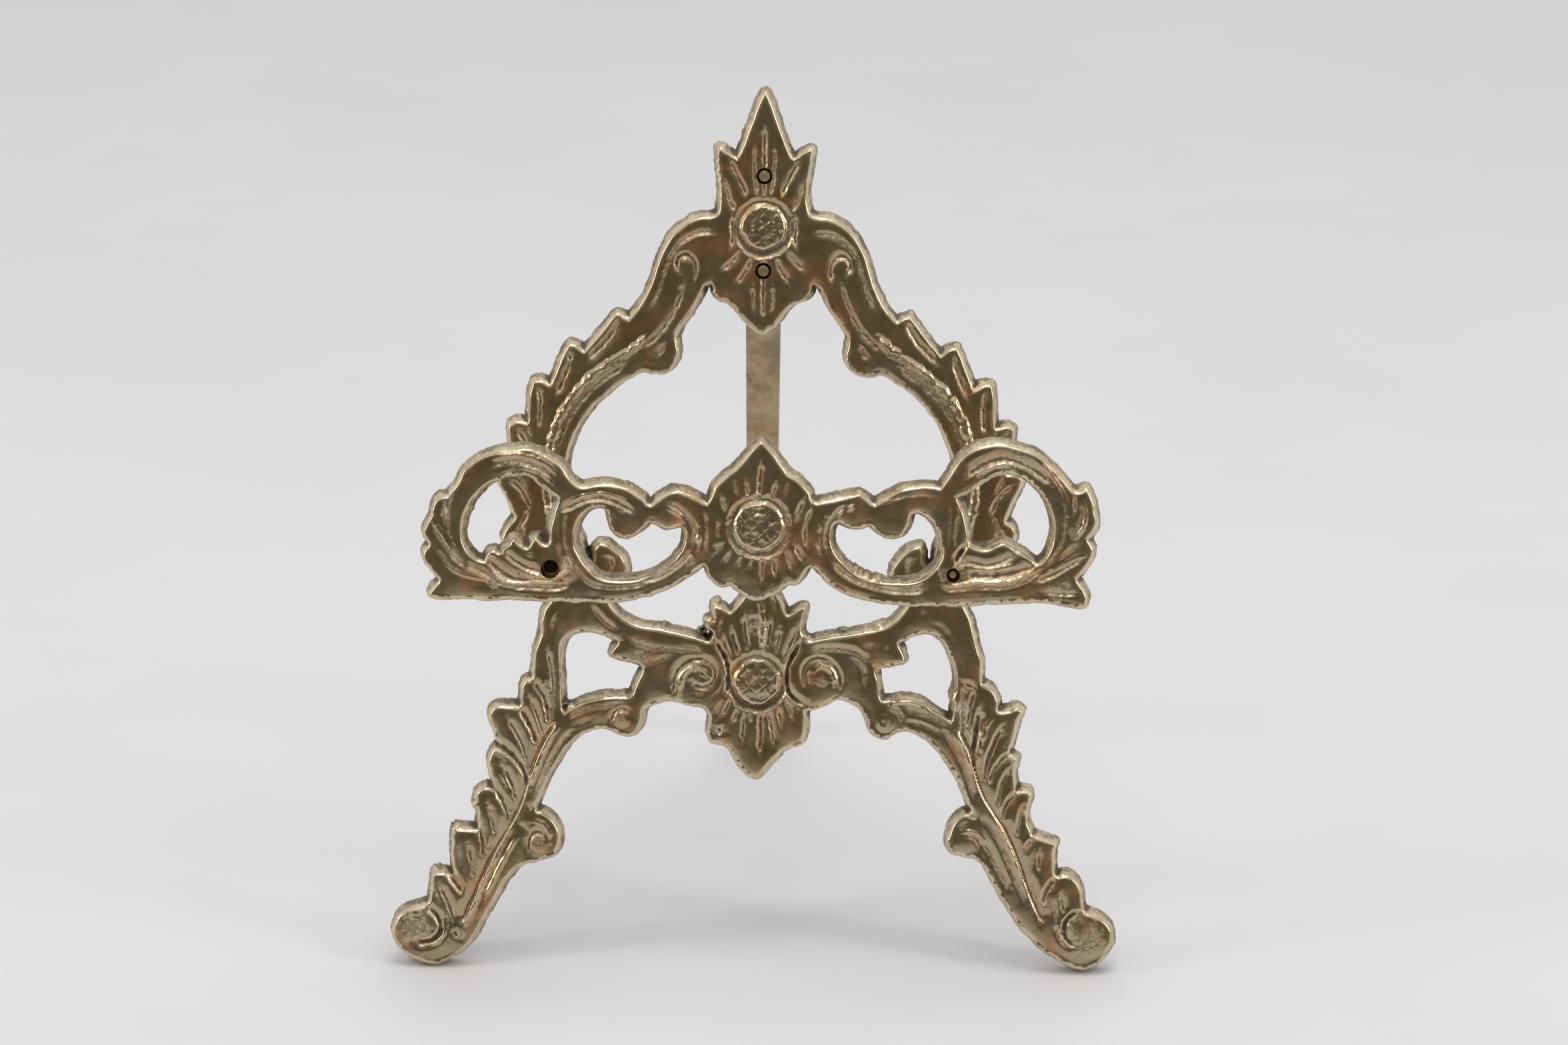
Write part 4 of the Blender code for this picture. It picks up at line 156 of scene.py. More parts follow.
# Front frame, outer edge of the front face, clockwise from the top tip (mm)
FRAME_OUTER = [
    (0.0, 130.6), (0.8, 128.8), (1.6, 126.6), (2.4, 124.4), (3.3, 122.2), (4.1, 120.8),
    (4.9, 121.2), (5.8, 121.9), (6.7, 122.4), (6.5, 120.6), (6.2, 118.4), (6.0, 116.2),
    (6.1, 114.2), (6.6, 112.8), (7.7, 112.3), (9.3, 112.2), (11.2, 111.4), (13.0, 109.8),
    (14.4, 107.5), (15.3, 105.0), (16.0, 102.7), (17.0, 100.5), (18.4, 98.4), (19.8, 96.9),
    (20.7, 97.5), (21.6, 97.8), (22.6, 96.5), (24.0, 94.7), (25.4, 93.0), (26.3, 91.9),
    (26.9, 92.4), (27.7, 93.0), (28.6, 93.2), (29.2, 91.8), (29.9, 90.0), (30.6, 88.2),
    (31.1, 86.9), (31.9, 87.3), (32.9, 87.8), (33.8, 87.7), (34.0, 86.2), (34.1, 84.4),
    (34.2, 82.7), (34.3, 81.2), (35.1, 81.4), (36.2, 81.7), (37.1, 81.4), (36.9, 79.6),
    (36.5, 77.6), (36.1, 75.9), (35.9, 74.5), (36.7, 74.5), (37.8, 74.5), (38.5, 73.9),
    (37.9, 72.2), (37.0, 70.3), (36.3, 68.7), (35.9, 67.5), (36.6, 67.2), (37.3, 66.7),
    (37.5, 65.6), (36.9, 64.1), (35.4, 62.3), (33.4, 60.6), (31.4, 59.0), (30.2, 57.6),
    (29.8, 56.3), (30.0, 55.2), (30.5, 54.1), (31.0, 53.1), (31.3, 52.1), (31.6, 51.0),
    (31.9, 49.8), (32.2, 48.6), (32.6, 47.5), (32.8, 46.5), (32.8, 45.4), (32.8, 44.3),
    (33.0, 43.2), (33.7, 42.8), (34.4, 42.4), (35.0, 41.7), (35.3, 40.9), (35.4, 40.0),
    (35.3, 39.1), (36.0, 38.9), (36.8, 39.0), (37.7, 39.2), (38.5, 39.5), (39.0, 39.2),
    (38.6, 38.3), (38.3, 37.4), (38.1, 36.4), (37.9, 35.4), (37.6, 34.4), (37.2, 33.4),
    (37.2, 32.7), (37.8, 32.4), (38.4, 32.0), (38.3, 31.4), (38.0, 30.6), (37.9, 29.6),
    (38.0, 28.6), (38.1, 27.6), (38.3, 26.8), (39.0, 26.9), (39.7, 27.0), (40.4, 26.8),
    (40.4, 26.0), (40.2, 25.0), (40.0, 24.0), (39.9, 23.0), (40.1, 22.2), (40.5, 21.4),
    (40.9, 20.4), (41.7, 20.1), (42.6, 19.8), (43.5, 19.5), (44.4, 19.2), (44.2, 18.5),
    (44.1, 17.6), (44.1, 16.6), (44.1, 15.6), (44.3, 14.6), (44.8, 14.1), (45.6, 14.2),
    (46.5, 14.2), (47.3, 13.8), (47.9, 13.0), (48.2, 12.0), (48.3, 10.9), (48.5, 9.8),
    (48.9, 8.9), (49.7, 8.5), (50.6, 8.2), (51.5, 7.8), (52.2, 7.2), (52.7, 6.4),
    (52.95, 5.4), (52.9, 4.4), (52.5, 3.5), (51.9, 2.6), (51.0, 1.8), (50.0, 1.25),
    (49.0, 1.0), (48.0, 1.15), (46.8, 1.6), (45.6, 2.2), (44.4, 3.0), (43.2, 3.9),
    (42.0, 5.0), (40.8, 6.2), (39.7, 7.6), (38.7, 9.0), (37.8, 10.4), (37.0, 11.7),
    (36.2, 13.1), (35.5, 14.4), (34.8, 15.7), (34.1, 16.7), (33.3, 17.4), (32.4, 17.8),
    (31.4, 17.9), (30.2, 18.0), (29.4, 18.3), (29.0, 19.1), (29.0, 20.1), (29.3, 21.1),
    (29.7, 22.0), (30.3, 22.8), (31.1, 23.4), (32.0, 23.6), (32.4, 24.1), (32.1, 25.0),
    (31.7, 26.2), (31.2, 27.4), (30.7, 28.6), (30.0, 29.9), (29.2, 31.1), (28.3, 32.4),
    (27.4, 33.5), (26.5, 34.5), (25.5, 35.3), (24.5, 35.9), (23.4, 36.4), (22.4, 36.75),
    (21.4, 36.8), (20.7, 36.6), (20.0, 36.2), (19.3, 35.7), (18.5, 35.6), (17.8, 35.9),
    (17.2, 36.6), (16.9, 37.4), (16.6, 38.4), (16.0, 39.4), (15.2, 40.2), (14.3, 40.8),
    (13.4, 41.2), (12.4, 41.4), (11.4, 41.3), (10.5, 40.8), (9.5, 40.3), (8.5, 40.0),
    (7.6, 39.7), (6.9, 39.3), (6.7, 38.5), (6.7, 37.5), (6.7, 36.5), (6.6, 35.4),
    (6.3, 34.6), (5.6, 34.3), (4.8, 34.0), (4.0, 33.5), (3.2, 32.9), (2.4, 32.1),
    (1.7, 31.3), (1.1, 30.5), (0.4, 29.8), (-0.3, 29.4), (-0.9, 29.6), (-1.6, 30.2),
    (-2.3, 31.1), (-2.9, 32.1), (-3.5, 33.1), (-4.2, 33.9), (-5.0, 34.4), (-5.8, 34.6),
    (-6.6, 34.7), (-6.9, 35.5), (-6.9, 36.6), (-6.8, 37.6), (-6.9, 38.6), (-7.2, 39.3),
    (-7.9, 39.7), (-8.8, 40.0), (-9.8, 40.1), (-10.8, 40.3), (-11.8, 40.7), (-12.8, 41.0),
    (-13.7, 40.9), (-14.8, 40.6), (-15.8, 40.3), (-16.6, 39.8), (-17.2, 39.2), (-17.5, 38.4),
    (-17.6, 37.5), (-17.8, 36.7), (-18.2, 36.0), (-18.8, 35.6), (-19.6, 35.6), (-20.4, 35.8),
    (-21.1, 36.2), (-22.0, 36.5), (-23.0, 36.6), (-24.2, 36.5), (-25.4, 36.1), (-26.6, 35.5),
    (-27.7, 34.6), (-28.6, 33.6), (-29.3, 32.6), (-29.9, 31.5), (-30.6, 30.4), (-31.2, 29.3),
    (-31.8, 28.2), (-32.3, 27.0), (-32.7, 25.9), (-33.1, 24.8), (-33.3, 23.8), (-33.0, 23.0),
    (-32.3, 22.9), (-31.5, 22.5), (-30.7, 21.8), (-30.2, 21.0), (-29.9, 20.0), (-29.8, 19.0),
    (-30.0, 18.0), (-30.4, 17.4), (-31.2, 17.1), (-32.2, 16.7), (-33.2, 16.3), (-34.2, 16.1),
    (-35.1, 15.8), (-36.0, 15.1), (-36.9, 14.0), (-37.8, 12.8), (-38.5, 11.6), (-39.1, 10.4),
    (-39.7, 9.2), (-40.4, 8.0), (-41.1, 6.8), (-41.7, 5.6), (-42.4, 4.4), (-43.3, 3.3),
    (-44.2, 2.5), (-45.2, 1.8), (-46.2, 1.2), (-47.2, 0.8), (-48.2, 0.65), (-49.2, 0.75),
    (-50.2, 1.05), (-51.2, 1.6), (-52.1, 2.2), (-52.9, 3.0), (-53.5, 3.8), (-53.8, 4.8),
    (-53.7, 5.8), (-53.3, 6.7), (-52.7, 7.4), (-51.9, 7.9), (-51.0, 8.15), (-50.0, 8.5),
    (-49.3, 8.8), (-48.7, 9.1), (-48.4, 9.8), (-48.2, 10.8), (-48.1, 11.8), (-48.1, 12.7),
    (-48.0, 13.5), (-47.3, 13.6), (-46.5, 13.6), (-45.7, 13.3), (-45.1, 12.9), (-44.6, 12.7),
    (-44.7, 13.4), (-44.9, 14.3), (-45.0, 15.3), (-45.1, 16.3), (-45.1, 17.3), (-45.0, 18.3),
    (-45.0, 19.3), (-44.8, 20.2), (-43.6, 20.2), (-42.5, 20.2), (-41.6, 20.1), (-41.1, 20.4),
    (-41.2, 21.2), (-41.2, 22.1), (-41.2, 23.0), (-41.3, 24.0), (-41.4, 25.0), (-41.5, 25.9),
    (-41.1, 26.3), (-40.5, 26.6), (-39.9, 26.5), (-39.3, 26.3), (-38.9, 26.5), (-39.0, 27.2),
    (-39.1, 28.1), (-39.3, 29.0), (-39.5, 30.0), (-39.6, 31.0), (-39.4, 32.0), (-39.0, 32.6),
    (-38.4, 32.6), (-37.9, 33.1), (-38.2, 34.1), (-38.6, 35.2), (-39.0, 36.3), (-39.3, 37.4),
    (-39.4, 38.3), (-38.9, 38.9), (-38.2, 39.0), (-37.4, 38.95), (-36.5, 38.9), (-35.6, 38.8),
    (-35.1, 39.1), (-34.95, 40.0), (-34.85, 41.1), (-34.8, 42.1), (-34.4, 42.8), (-33.7, 43.0),
    (-33.3, 43.5), (-33.2, 44.4), (-33.1, 45.6), (-33.0, 46.8), (-32.8, 48.0), (-32.3, 49.3),
    (-32.0, 50.3), (-31.9, 51.3), (-31.9, 52.5), (-31.6, 53.7), (-30.9, 54.7), (-30.3, 55.6),
    (-30.2, 56.8), (-30.6, 58.0), (-31.8, 59.4), (-33.8, 61.0), (-35.8, 62.4), (-37.3, 63.6),
    (-37.8, 64.7), (-37.3, 65.9), (-36.5, 66.8), (-35.9, 67.4), (-36.3, 68.8), (-37.1, 70.5),
    (-38.1, 72.4), (-38.6, 73.8), (-37.9, 74.4), (-36.8, 74.6), (-36.0, 74.6), (-36.2, 75.9),
    (-36.5, 77.5), (-36.9, 79.5), (-37.0, 81.2), (-36.1, 81.6), (-35.1, 81.4), (-34.3, 81.3),
    (-34.1, 82.8), (-34.1, 84.5), (-33.9, 86.3), (-33.6, 87.6), (-32.7, 87.7), (-31.8, 87.2),
    (-31.1, 87.0), (-30.5, 88.3), (-29.8, 90.1), (-29.1, 91.9), (-28.4, 93.1), (-27.6, 92.9),
    (-26.8, 92.3), (-26.2, 92.0), (-25.3, 93.1), (-23.9, 94.8), (-22.5, 96.6), (-21.5, 97.8),
    (-20.6, 97.4), (-19.7, 96.9), (-18.4, 98.5), (-17.1, 100.6), (-16.1, 102.8), (-15.4, 105.1),
    (-14.4, 107.6), (-13.0, 109.8), (-11.2, 111.4), (-9.3, 112.2), (-7.7, 112.3), (-6.6, 112.8),
    (-6.2, 114.2), (-6.1, 116.2), (-6.2, 118.4), (-6.5, 120.6), (-6.6, 122.4), (-5.7, 121.9),
    (-4.8, 121.3), (-4.0, 120.9), (-3.2, 122.3), (-2.4, 124.4), (-1.6, 126.6), (-0.8, 128.8)]

# Lyre opening between the two upper scrolls, clockwise from the lower flower's top tip
FRAME_LYRE = [
    (0.1, 60.0), (-0.6, 58.8), (-1.2, 57.4), (-1.9, 56.1), (-2.4, 55.4), (-3.0, 54.6),
    (-3.6, 53.9), (-4.2, 53.4), (-5.0, 53.6), (-5.7, 54.0), (-6.5, 54.2), (-6.4, 53.0),
    (-6.4, 52.0), (-6.4, 51.0), (-6.5, 50.0), (-6.9, 49.2), (-7.6, 49.0), (-8.6, 49.3),
    (-10.0, 49.7), (-12.0, 50.2), (-14.0, 50.6), (-16.0, 50.95), (-18.0, 51.3), (-19.4, 51.8),
    (-20.6, 52.5), (-21.6, 53.4), (-22.4, 54.5), (-22.9, 55.5), (-22.7, 56.6), (-21.8, 57.5),
    (-20.7, 58.3), (-20.1, 59.4), (-20.2, 60.6), (-20.8, 61.7), (-21.8, 62.6), (-22.8, 63.3),
    (-23.7, 63.5), (-24.2, 62.8), (-24.3, 61.8), (-24.5, 60.8), (-25.3, 60.3), (-26.2, 60.8),
    (-26.5, 61.8), (-26.7, 63.2), (-27.2, 65.0), (-28.0, 67.0), (-28.8, 69.2), (-29.3, 71.6),
    (-29.4, 74.1), (-29.1, 76.6), (-28.4, 79.1), (-27.4, 81.4), (-26.0, 83.6), (-24.2, 85.7),
    (-22.0, 87.6), (-19.6, 89.2), (-17.4, 90.2), (-15.8, 89.8), (-14.5, 89.9), (-13.3, 90.9),
    (-12.8, 92.3), (-13.0, 93.7), (-13.1, 95.0), (-12.4, 96.5), (-11.3, 98.1), (-10.2, 99.8),
    (-9.3, 101.5), (-8.5, 102.9), (-7.6, 103.3), (-6.9, 102.7), (-6.8, 101.6), (-6.3, 100.9),
    (-5.4, 100.7), (-4.4, 100.1), (-3.4, 99.1), (-2.4, 97.9), (-1.4, 96.8), (-0.1, 96.0),
    (1.2, 96.8), (2.3, 97.9), (3.3, 99.1), (4.3, 100.1), (5.3, 100.7), (6.3, 101.0),
    (6.8, 101.7), (6.9, 102.7), (7.6, 103.3), (8.5, 102.9), (9.3, 101.5), (10.2, 99.8),
    (11.3, 98.1), (12.4, 96.5), (13.1, 95.0), (13.0, 93.7), (12.8, 92.3), (13.4, 90.9),
    (14.6, 89.9), (15.9, 89.8), (17.4, 90.2), (19.6, 89.2), (22.0, 87.6), (24.2, 85.7),
    (26.0, 83.6), (27.4, 81.4), (28.4, 79.1), (29.1, 76.6), (29.4, 74.1), (29.3, 71.6),
    (28.8, 69.2), (28.0, 67.0), (27.1, 65.0), (26.5, 63.3), (26.3, 61.9), (26.0, 60.8),
    (25.2, 60.2), (24.4, 60.7), (24.0, 61.7), (23.9, 62.8), (23.6, 63.6), (22.7, 63.4),
    (21.7, 62.6), (20.8, 61.6), (20.1, 60.5), (20.0, 59.4), (20.5, 58.4), (21.6, 57.6),
    (22.6, 56.8), (22.8, 55.6), (22.1, 54.5), (21.3, 53.4), (20.4, 52.4), (19.3, 51.7),
    (18.0, 51.2), (16.0, 50.8), (14.0, 50.4), (12.0, 50.1), (10.0, 49.7), (8.5, 49.4),
    (7.4, 49.2), (6.5, 49.7), (6.0, 50.6), (6.05, 51.8), (6.25, 53.0), (6.6, 54.3),
    (6.0, 54.0), (5.3, 53.6), (4.5, 53.1), (3.9, 53.0), (3.2, 54.3), (2.5, 55.8),
    (1.9, 56.9), (1.4, 57.9), (0.8, 59.1)]

# Heart shaped openings in the shoulders, clockwise from the top
FRAME_HEART_L = [
    (-24.6, 51.1), (-26.0, 51.1), (-27.4, 50.8), (-28.6, 50.1), (-29.3, 49.2), (-29.7, 48.0),
    (-29.8, 46.6), (-29.8, 45.0), (-29.7, 43.4), (-29.6, 41.8), (-29.6, 40.2), (-29.4, 38.7),
    (-29.0, 37.9), (-28.4, 38.2), (-27.6, 38.7), (-26.6, 39.2), (-25.6, 39.7), (-24.5, 40.1),
    (-23.2, 40.4), (-21.8, 40.5), (-20.4, 40.5), (-19.2, 40.6), (-18.5, 41.1), (-18.1, 42.1),
    (-17.6, 43.3), (-17.1, 44.3), (-16.8, 45.2), (-17.3, 46.0), (-18.3, 46.5), (-19.4, 46.8),
    (-20.5, 47.0), (-21.6, 47.3), (-21.3, 48.0), (-20.7, 48.7), (-20.2, 49.2), (-20.8, 49.6),
    (-21.5, 49.9), (-22.3, 50.4), (-23.3, 50.9)]

FRAME_HEART_R = [
    (24.5, 51.4), (25.6, 51.4), (26.6, 50.9), (27.5, 50.1), (28.3, 49.0), (28.9, 47.8),
    (29.4, 46.4), (29.7, 45.0), (29.8, 43.4), (29.7, 41.8), (29.5, 40.2), (29.3, 38.6),
    (29.0, 37.2), (28.3, 37.6), (27.4, 38.1), (26.5, 38.6), (25.6, 39.2), (24.7, 39.8),
    (23.7, 40.3), (22.6, 40.6), (21.4, 40.6), (20.2, 40.4), (19.0, 40.3), (18.1, 40.5),
    (17.8, 41.4), (17.6, 42.5), (17.4, 43.7), (17.1, 44.8), (16.8, 45.9), (17.4, 46.5),
    (18.3, 46.5), (19.4, 46.5), (20.5, 46.6), (21.4, 46.8), (21.2, 47.6), (20.8, 48.4),
    (20.4, 49.2), (20.9, 49.9), (21.6, 50.5), (22.5, 51.0), (23.4, 51.3)]

# Relief strokes: (kind, points, half width, depth). Kinds: "g" groove, "r" ridge,
# "e" edge: the metal left of the line stands proud and slopes away from it.
RAIL_STROKES = [
    # left end loop: shallow cast hollow along its top, rib beside it
    ("g", [(-38.8, 77.6), (-37.2, 78.35), (-35.5, 78.55), (-34.0, 78.35), (-32.5, 77.8), (-31.2, 77.0), (-30.1, 76.1)], 0.75, 0.34),
    ("r", [(-34.4, 77.75), (-32.8, 77.3), (-31.2, 76.5), (-29.9, 75.4)], 0.28, 0.16),
    ("r", [(-38.2, 79.0), (-36.0, 79.35), (-34.0, 79.3), (-32.0, 78.7), (-30.2, 77.7), (-28.9, 76.4)], 0.4, 0.14),
    ("g", [(-44.2, 74.2), (-44.75, 72.0), (-44.95, 70.0), (-44.8, 68.0), (-44.2, 66.0), (-43.3, 64.4), (-42.2, 63.2)], 0.4, 0.26),
    ("g", [(-45.25, 72.9), (-45.5, 71.4), (-45.5, 70.1), (-45.3, 68.8)], 0.32, 0.34),
    ("r", [(-45.1, 72.8), (-45.15, 71.0), (-45.1, 69.2)], 0.18, 0.12),
    ("g", [(-47.4, 69.3), (-46.5, 68.0), (-45.7, 66.8), (-44.9, 65.6), (-44.1, 64.6), (-43.2, 63.8), (-42.2, 63.2)], 0.42, 0.42),
    ("r", [(-46.9, 69.1), (-45.9, 67.7), (-45.0, 66.3), (-44.1, 65.2), (-43.2, 64.3)], 0.22, 0.14),
    ("e", [(-46.2, 63.5), (-45.2, 63.1), (-44.2, 62.35), (-42.8, 61.7), (-41.0, 61.25), (-39.2, 61.0), (-37.4, 60.6)], 1.5, 0.2),
    ("g", [(-46.9, 65.6), (-46.0, 64.6), (-45.0, 63.6), (-44.0, 62.9), (-42.8, 62.3)], 0.35, 0.2),
    ("g", [(-42.6, 63.4), (-41.0, 62.9), (-39.6, 62.2), (-38.2, 61.3), (-36.6, 60.7), (-34.6, 60.35), (-32.4, 60.2), (-30.0, 60.15),
           (-28.2, 60.5), (-27.0, 61.2)], 0.5, 0.42),
    # leaf below the left loop
    ("g", [(-36.9, 65.5), (-36.1, 64.7), (-35.1, 63.9), (-34.0, 63.25), (-32.9, 62.85), (-31.6, 62.75)], 0.42, 0.62),
    ("g", [(-39.5, 64.5), (-38.6, 63.6), (-37.7, 62.8), (-36.7, 62.0), (-35.5, 61.4), (-34.0, 61.25), (-32.6, 61.35)], 0.62, 0.7),
    ("r", [(-38.3, 62.2), (-37.0, 61.1), (-35.0, 60.85), (-32.6, 60.95), (-30.2, 60.95), (-28.4, 61.1)], 0.3, 0.3),
    ("r", [(-33.4, 62.2), (-32.0, 61.85), (-30.4, 61.65), (-29.0, 61.9), (-28.1, 62.7), (-28.2, 63.9)], 0.3, 0.3),
    ("g", [(-34.0, 65.6), (-33.2, 65.0), (-32.2, 64.6)], 0.4, 0.14),
    ("g", [(-29.4, 66.4), (-28.9, 65.4), (-28.6, 64.4)], 0.5, 0.25),
    ("g", [(-28.9, 72.4), (-29.15, 70.0), (-29.1, 67.6), (-28.7, 65.6), (-27.8, 63.6), (-26.6, 62.0), (-25.4, 61.0)], 0.28, 0.12),
    ("g", [(-27.9, 71.0), (-28.2, 68.4), (-27.9, 66.0), (-27.1, 64.0), (-25.9, 62.2), (-24.4, 60.9), (-22.4, 60.35), (-20.0, 60.3),
           (-17.6, 60.6), (-15.4, 61.3)], 0.32, 0.24),
    # left kidney scroll: sunk leaf on its crown
    ("g", [(-28.9, 71.35), (-27.6, 71.85), (-26.4, 72.45), (-25.2, 72.95), (-24.0, 73.25), (-22.8, 73.25), (-21.6, 73.0), (-20.4, 72.5),
           (-19.2, 71.9), (-18.2, 71.3)], 0.46, 0.6),
    ("r", [(-27.0, 72.9), (-25.4, 73.6), (-23.6, 73.95), (-21.8, 73.8), (-20.0, 73.2), (-18.4, 72.3)], 0.28, 0.14),
    ("g", [(-21.2, 72.3), (-20.4, 71.9), (-19.4, 71.2)], 0.5, 0.22),
    ("g", [(-17.4, 61.05), (-15.8, 61.45), (-14.3, 62.0), (-12.9, 62.75), (-11.7, 63.6), (-10.6, 64.7), (-9.8, 65.9)], 0.36, 0.5),
    ("g", [(-13.2, 72.75), (-12.2, 72.2), (-11.1, 71.3), (-10.2, 70.2), (-9.7, 68.9), (-9.55, 67.4), (-9.8, 66.0)], 0.36, 0.36),
    ("r", [(-13.2, 72.0), (-12.2, 71.5), (-11.2, 70.7)], 0.32, 0.22),
    ("r", [(-9.1, 70.8), (-8.75, 69.2), (-8.75, 67.6), (-9.0, 66.0)], 0.3, 0.2),
    ("g", [(-8.0, 71.6), (-7.7, 69.6), (-7.6, 67.6), (-7.7, 65.6)], 0.36, 0.34),
    # middle leaf, above the flower
    ("g", [(0.1, 78.6), (0.05, 77.2), (-0.05, 75.8), (-0.15, 74.4), (-0.15, 73.6)], 0.42, 0.75),
    ("g", [(-2.15, 76.0), (-1.95, 74.8), (-1.7, 73.5)], 0.3, 0.42),
    ("g", [(2.3, 75.8), (2.05, 74.8), (1.75, 73.5)], 0.36, 0.5),
    ("g", [(-3.9, 76.4), (-3.6, 75.0), (-3.1, 73.8)], 0.4, 0.2),
    ("g", [(4.2, 76.0), (3.8, 74.8), (3.3, 73.6)], 0.4, 0.2),
    ("g", [(6.5, 73.5), (6.0, 72.5), (5.5, 71.4), (5.1, 70.1)], 0.42, 0.55),
    ("g", [(-5.7, 73.9), (-5.3, 72.6), (-4.8, 71.4)], 0.4, 0.35),
    ("g", [(7.6, 72.2), (6.95, 70.8), (6.6, 69.2), (6.55, 67.6), (6.9, 66.2)], 0.42, 0.5),
    ("g", [(-6.2, 70.3), (-6.0, 68.8), (-6.2, 67.4)], 0.4, 0.28),
    ("g", [(-6.9, 66.4), (-5.8, 66.3), (-4.9, 66.9)], 0.4, 0.25),
    # middle leaf, below the flower
    ("g", [(0.5, 65.2), (0.42, 63.8), (0.35, 62.4), (0.35, 61.2)], 0.46, 0.62),
    ("g", [(1.85, 65.3), (2.05, 64.2), (2.2, 63.0), (2.25, 62.0)], 0.42, 0.58),
    ("g", [(3.7, 66.1), (4.1, 65.0), (4.45, 63.8), (4.7, 62.8)], 0.4, 0.52),
    ("g", [(5.0, 66.9), (5.5, 65.9), (6.0, 64.9), (6.4, 64.2)], 0.4, 0.5),
    ("g", [(-0.9, 65.0), (-1.1, 64.0), (-1.4, 63.0)], 0.34, 0.26),
    ("g", [(-2.3, 65.4), (-2.8, 64.3), (-3.2, 63.4)], 0.36, 0.28),
    ("g", [(-3.9, 66.0), (-4.6, 64.9), (-5.3, 64.0)], 0.36, 0.28),
    ("g", [(-5.0, 67.0), (-5.8, 65.9), (-6.6, 65.0)], 0.34, 0.24),
    # right kidney scroll
    ("g", [(12.6, 72.65), (11.5, 72.0), (10.6, 71.0), (9.95, 69.9), (9.6, 68.6), (9.5, 67.2), (9.7, 65.9)], 0.34, 0.38),
    ("r", [(11.9, 71.9), (11.3, 71.3)], 0.3, 0.25),
    ("r", [(13.6, 72.55), (12.6, 72.1)], 0.35, 0.25),
    ("r", [(8.8, 70.4), (8.5, 69.0), (8.45, 67.4), (8.8, 65.8)], 0.3, 0.18),
    ("g", [(10.4, 64.3), (11.6, 63.2), (12.9, 62.3), (14.5, 61.5), (16.3, 60.9), (18.3, 60.45), (20.4, 60.2), (22.4, 60.25), (24.2, 60.6)], 0.4, 0.42),
    ("g", [(19.4, 60.7), (21.0, 60.65), (22.6, 60.8), (24.2, 61.4)], 0.26, 0.22),
    ("g", [(17.6, 73.0), (19.2, 73.75), (21.2, 74.3), (23.4, 74.5), (25.4, 74.3)], 0.34, 0.16),
    ("g", [(28.7, 73.0), (28.75, 71.2), (28.35, 69.4), (28.2, 67.8), (28.3, 66.4)], 0.42, 0.26),
    ("g", [(27.4, 73.2), (27.5, 71.0), (27.4, 68.6), (27.2, 66.2)], 0.3, 0.12),
    # right end loop: deep rough hollow on its crown
    ("g", [(29.8, 77.0), (30.6, 77.75), (31.6, 78.45), (32.8, 79.05), (34.0, 79.5), (35.2, 79.65), (36.4, 79.4), (37.8, 78.9),
           (39.2, 78.2), (40.6, 77.3), (41.9, 76.2)], 0.6, 0.72),
    ("g", [(34.4, 80.1), (35.4, 79.9)], 0.4, 0.5),
    ("r", [(30.6, 77.15), (31.8, 77.9), (33.2, 78.5), (34.6, 78.9), (36.0, 78.9)], 0.3, 0.22),
    ("r", [(40.0, 79.3), (41.6, 77.9), (42.9, 76.3), (43.9, 74.6)], 0.28, 0.14),
    ("g", [(40.9, 78.9), (42.2, 77.6), (43.4, 76.0), (44.2, 74.6), (44.8, 73.0)], 0.28, 0.18),
    ("g", [(43.6, 73.6), (44.0, 71.8), (44.1, 70.0), (43.9, 68.2), (43.3, 66.6), (42.3, 65.1), (41.1, 64.0)], 0.4, 0.22),
    ("g", [(45.2, 74.9), (45.35, 73.8), (45.4, 72.6), (45.3, 71.6)], 0.36, 0.46),
    ("r", [(46.75, 73.7), (46.95, 72.4), (46.95, 71.0), (46.5, 69.6), (45.6, 68.3)], 0.26, 0.2),
    ("g", [(46.2, 73.6), (46.4, 72.0), (46.2, 70.6), (45.6, 69.2)], 0.4, 0.24),
    # leaf below the right loop
    ("g", [(28.15, 64.1), (28.5, 65.0), (29.0, 65.9), (29.6, 66.7), (30.0, 67.3)], 0.34, 1.1),
    ("g", [(28.9, 64.45), (30.3, 64.6), (31.6, 64.35), (32.9, 64.15), (34.2, 64.45), (35.4, 65.0), (36.4, 65.6), (37.1, 66.0)], 0.42, 0.5),
    ("g", [(29.6, 62.65), (31.2, 62.65), (32.8, 62.65), (34.4, 62.7), (36.0, 62.95), (37.6, 63.4), (38.9, 63.9), (39.7, 64.2)], 0.55, 0.66),
    ("r", [(30.4, 63.6), (32.2, 63.5), (34.2, 63.6), (36.0, 63.9), (37.4, 64.4)], 0.42, 0.14),
    ("r", [(27.2, 61.3), (28.6, 61.25), (30.0, 61.55), (31.6, 61.75), (33.4, 61.65), (35.2, 61.75), (36.8, 62.1), (38.2, 62.7), (39.4, 63.5)], 0.3, 0.3),
    ("g", [(26.2, 60.9), (28.0, 60.65), (30.0, 60.85), (32.0, 61.0), (34.0, 60.95), (36.0, 61.15), (38.0, 61.8), (39.8, 62.8), (41.2, 63.9)], 0.42, 0.3),
    ("g", [(39.6, 61.8), (41.2, 62.4), (42.8, 63.15), (44.2, 63.95), (45.6, 64.75), (47.0, 65.4)], 0.42, 0.44),
    ("r", [(41.0, 62.9), (42.6, 63.7), (44.0, 64.5), (45.4, 65.2), (46.8, 65.7)], 0.24, 0.14),
    ("g", [(43.0, 65.1), (44.2, 66.0), (45.4, 66.8), (46.4, 67.3)], 0.32, 0.3),
    ("g", [(41.0, 60.3), (42.8, 60.3), (44.6, 60.2), (46.3, 60.2)], 0.4, 0.32),
    ("g", [(43.4, 61.4), (44.6, 61.2), (45.6, 61.1)], 0.4, 0.2),
]
RAIL_DISCS = [
    # flower: centre, radius, rise, ring groove depth
    (-0.1, 69.45, 3.75, 0.34, 0.42),
]

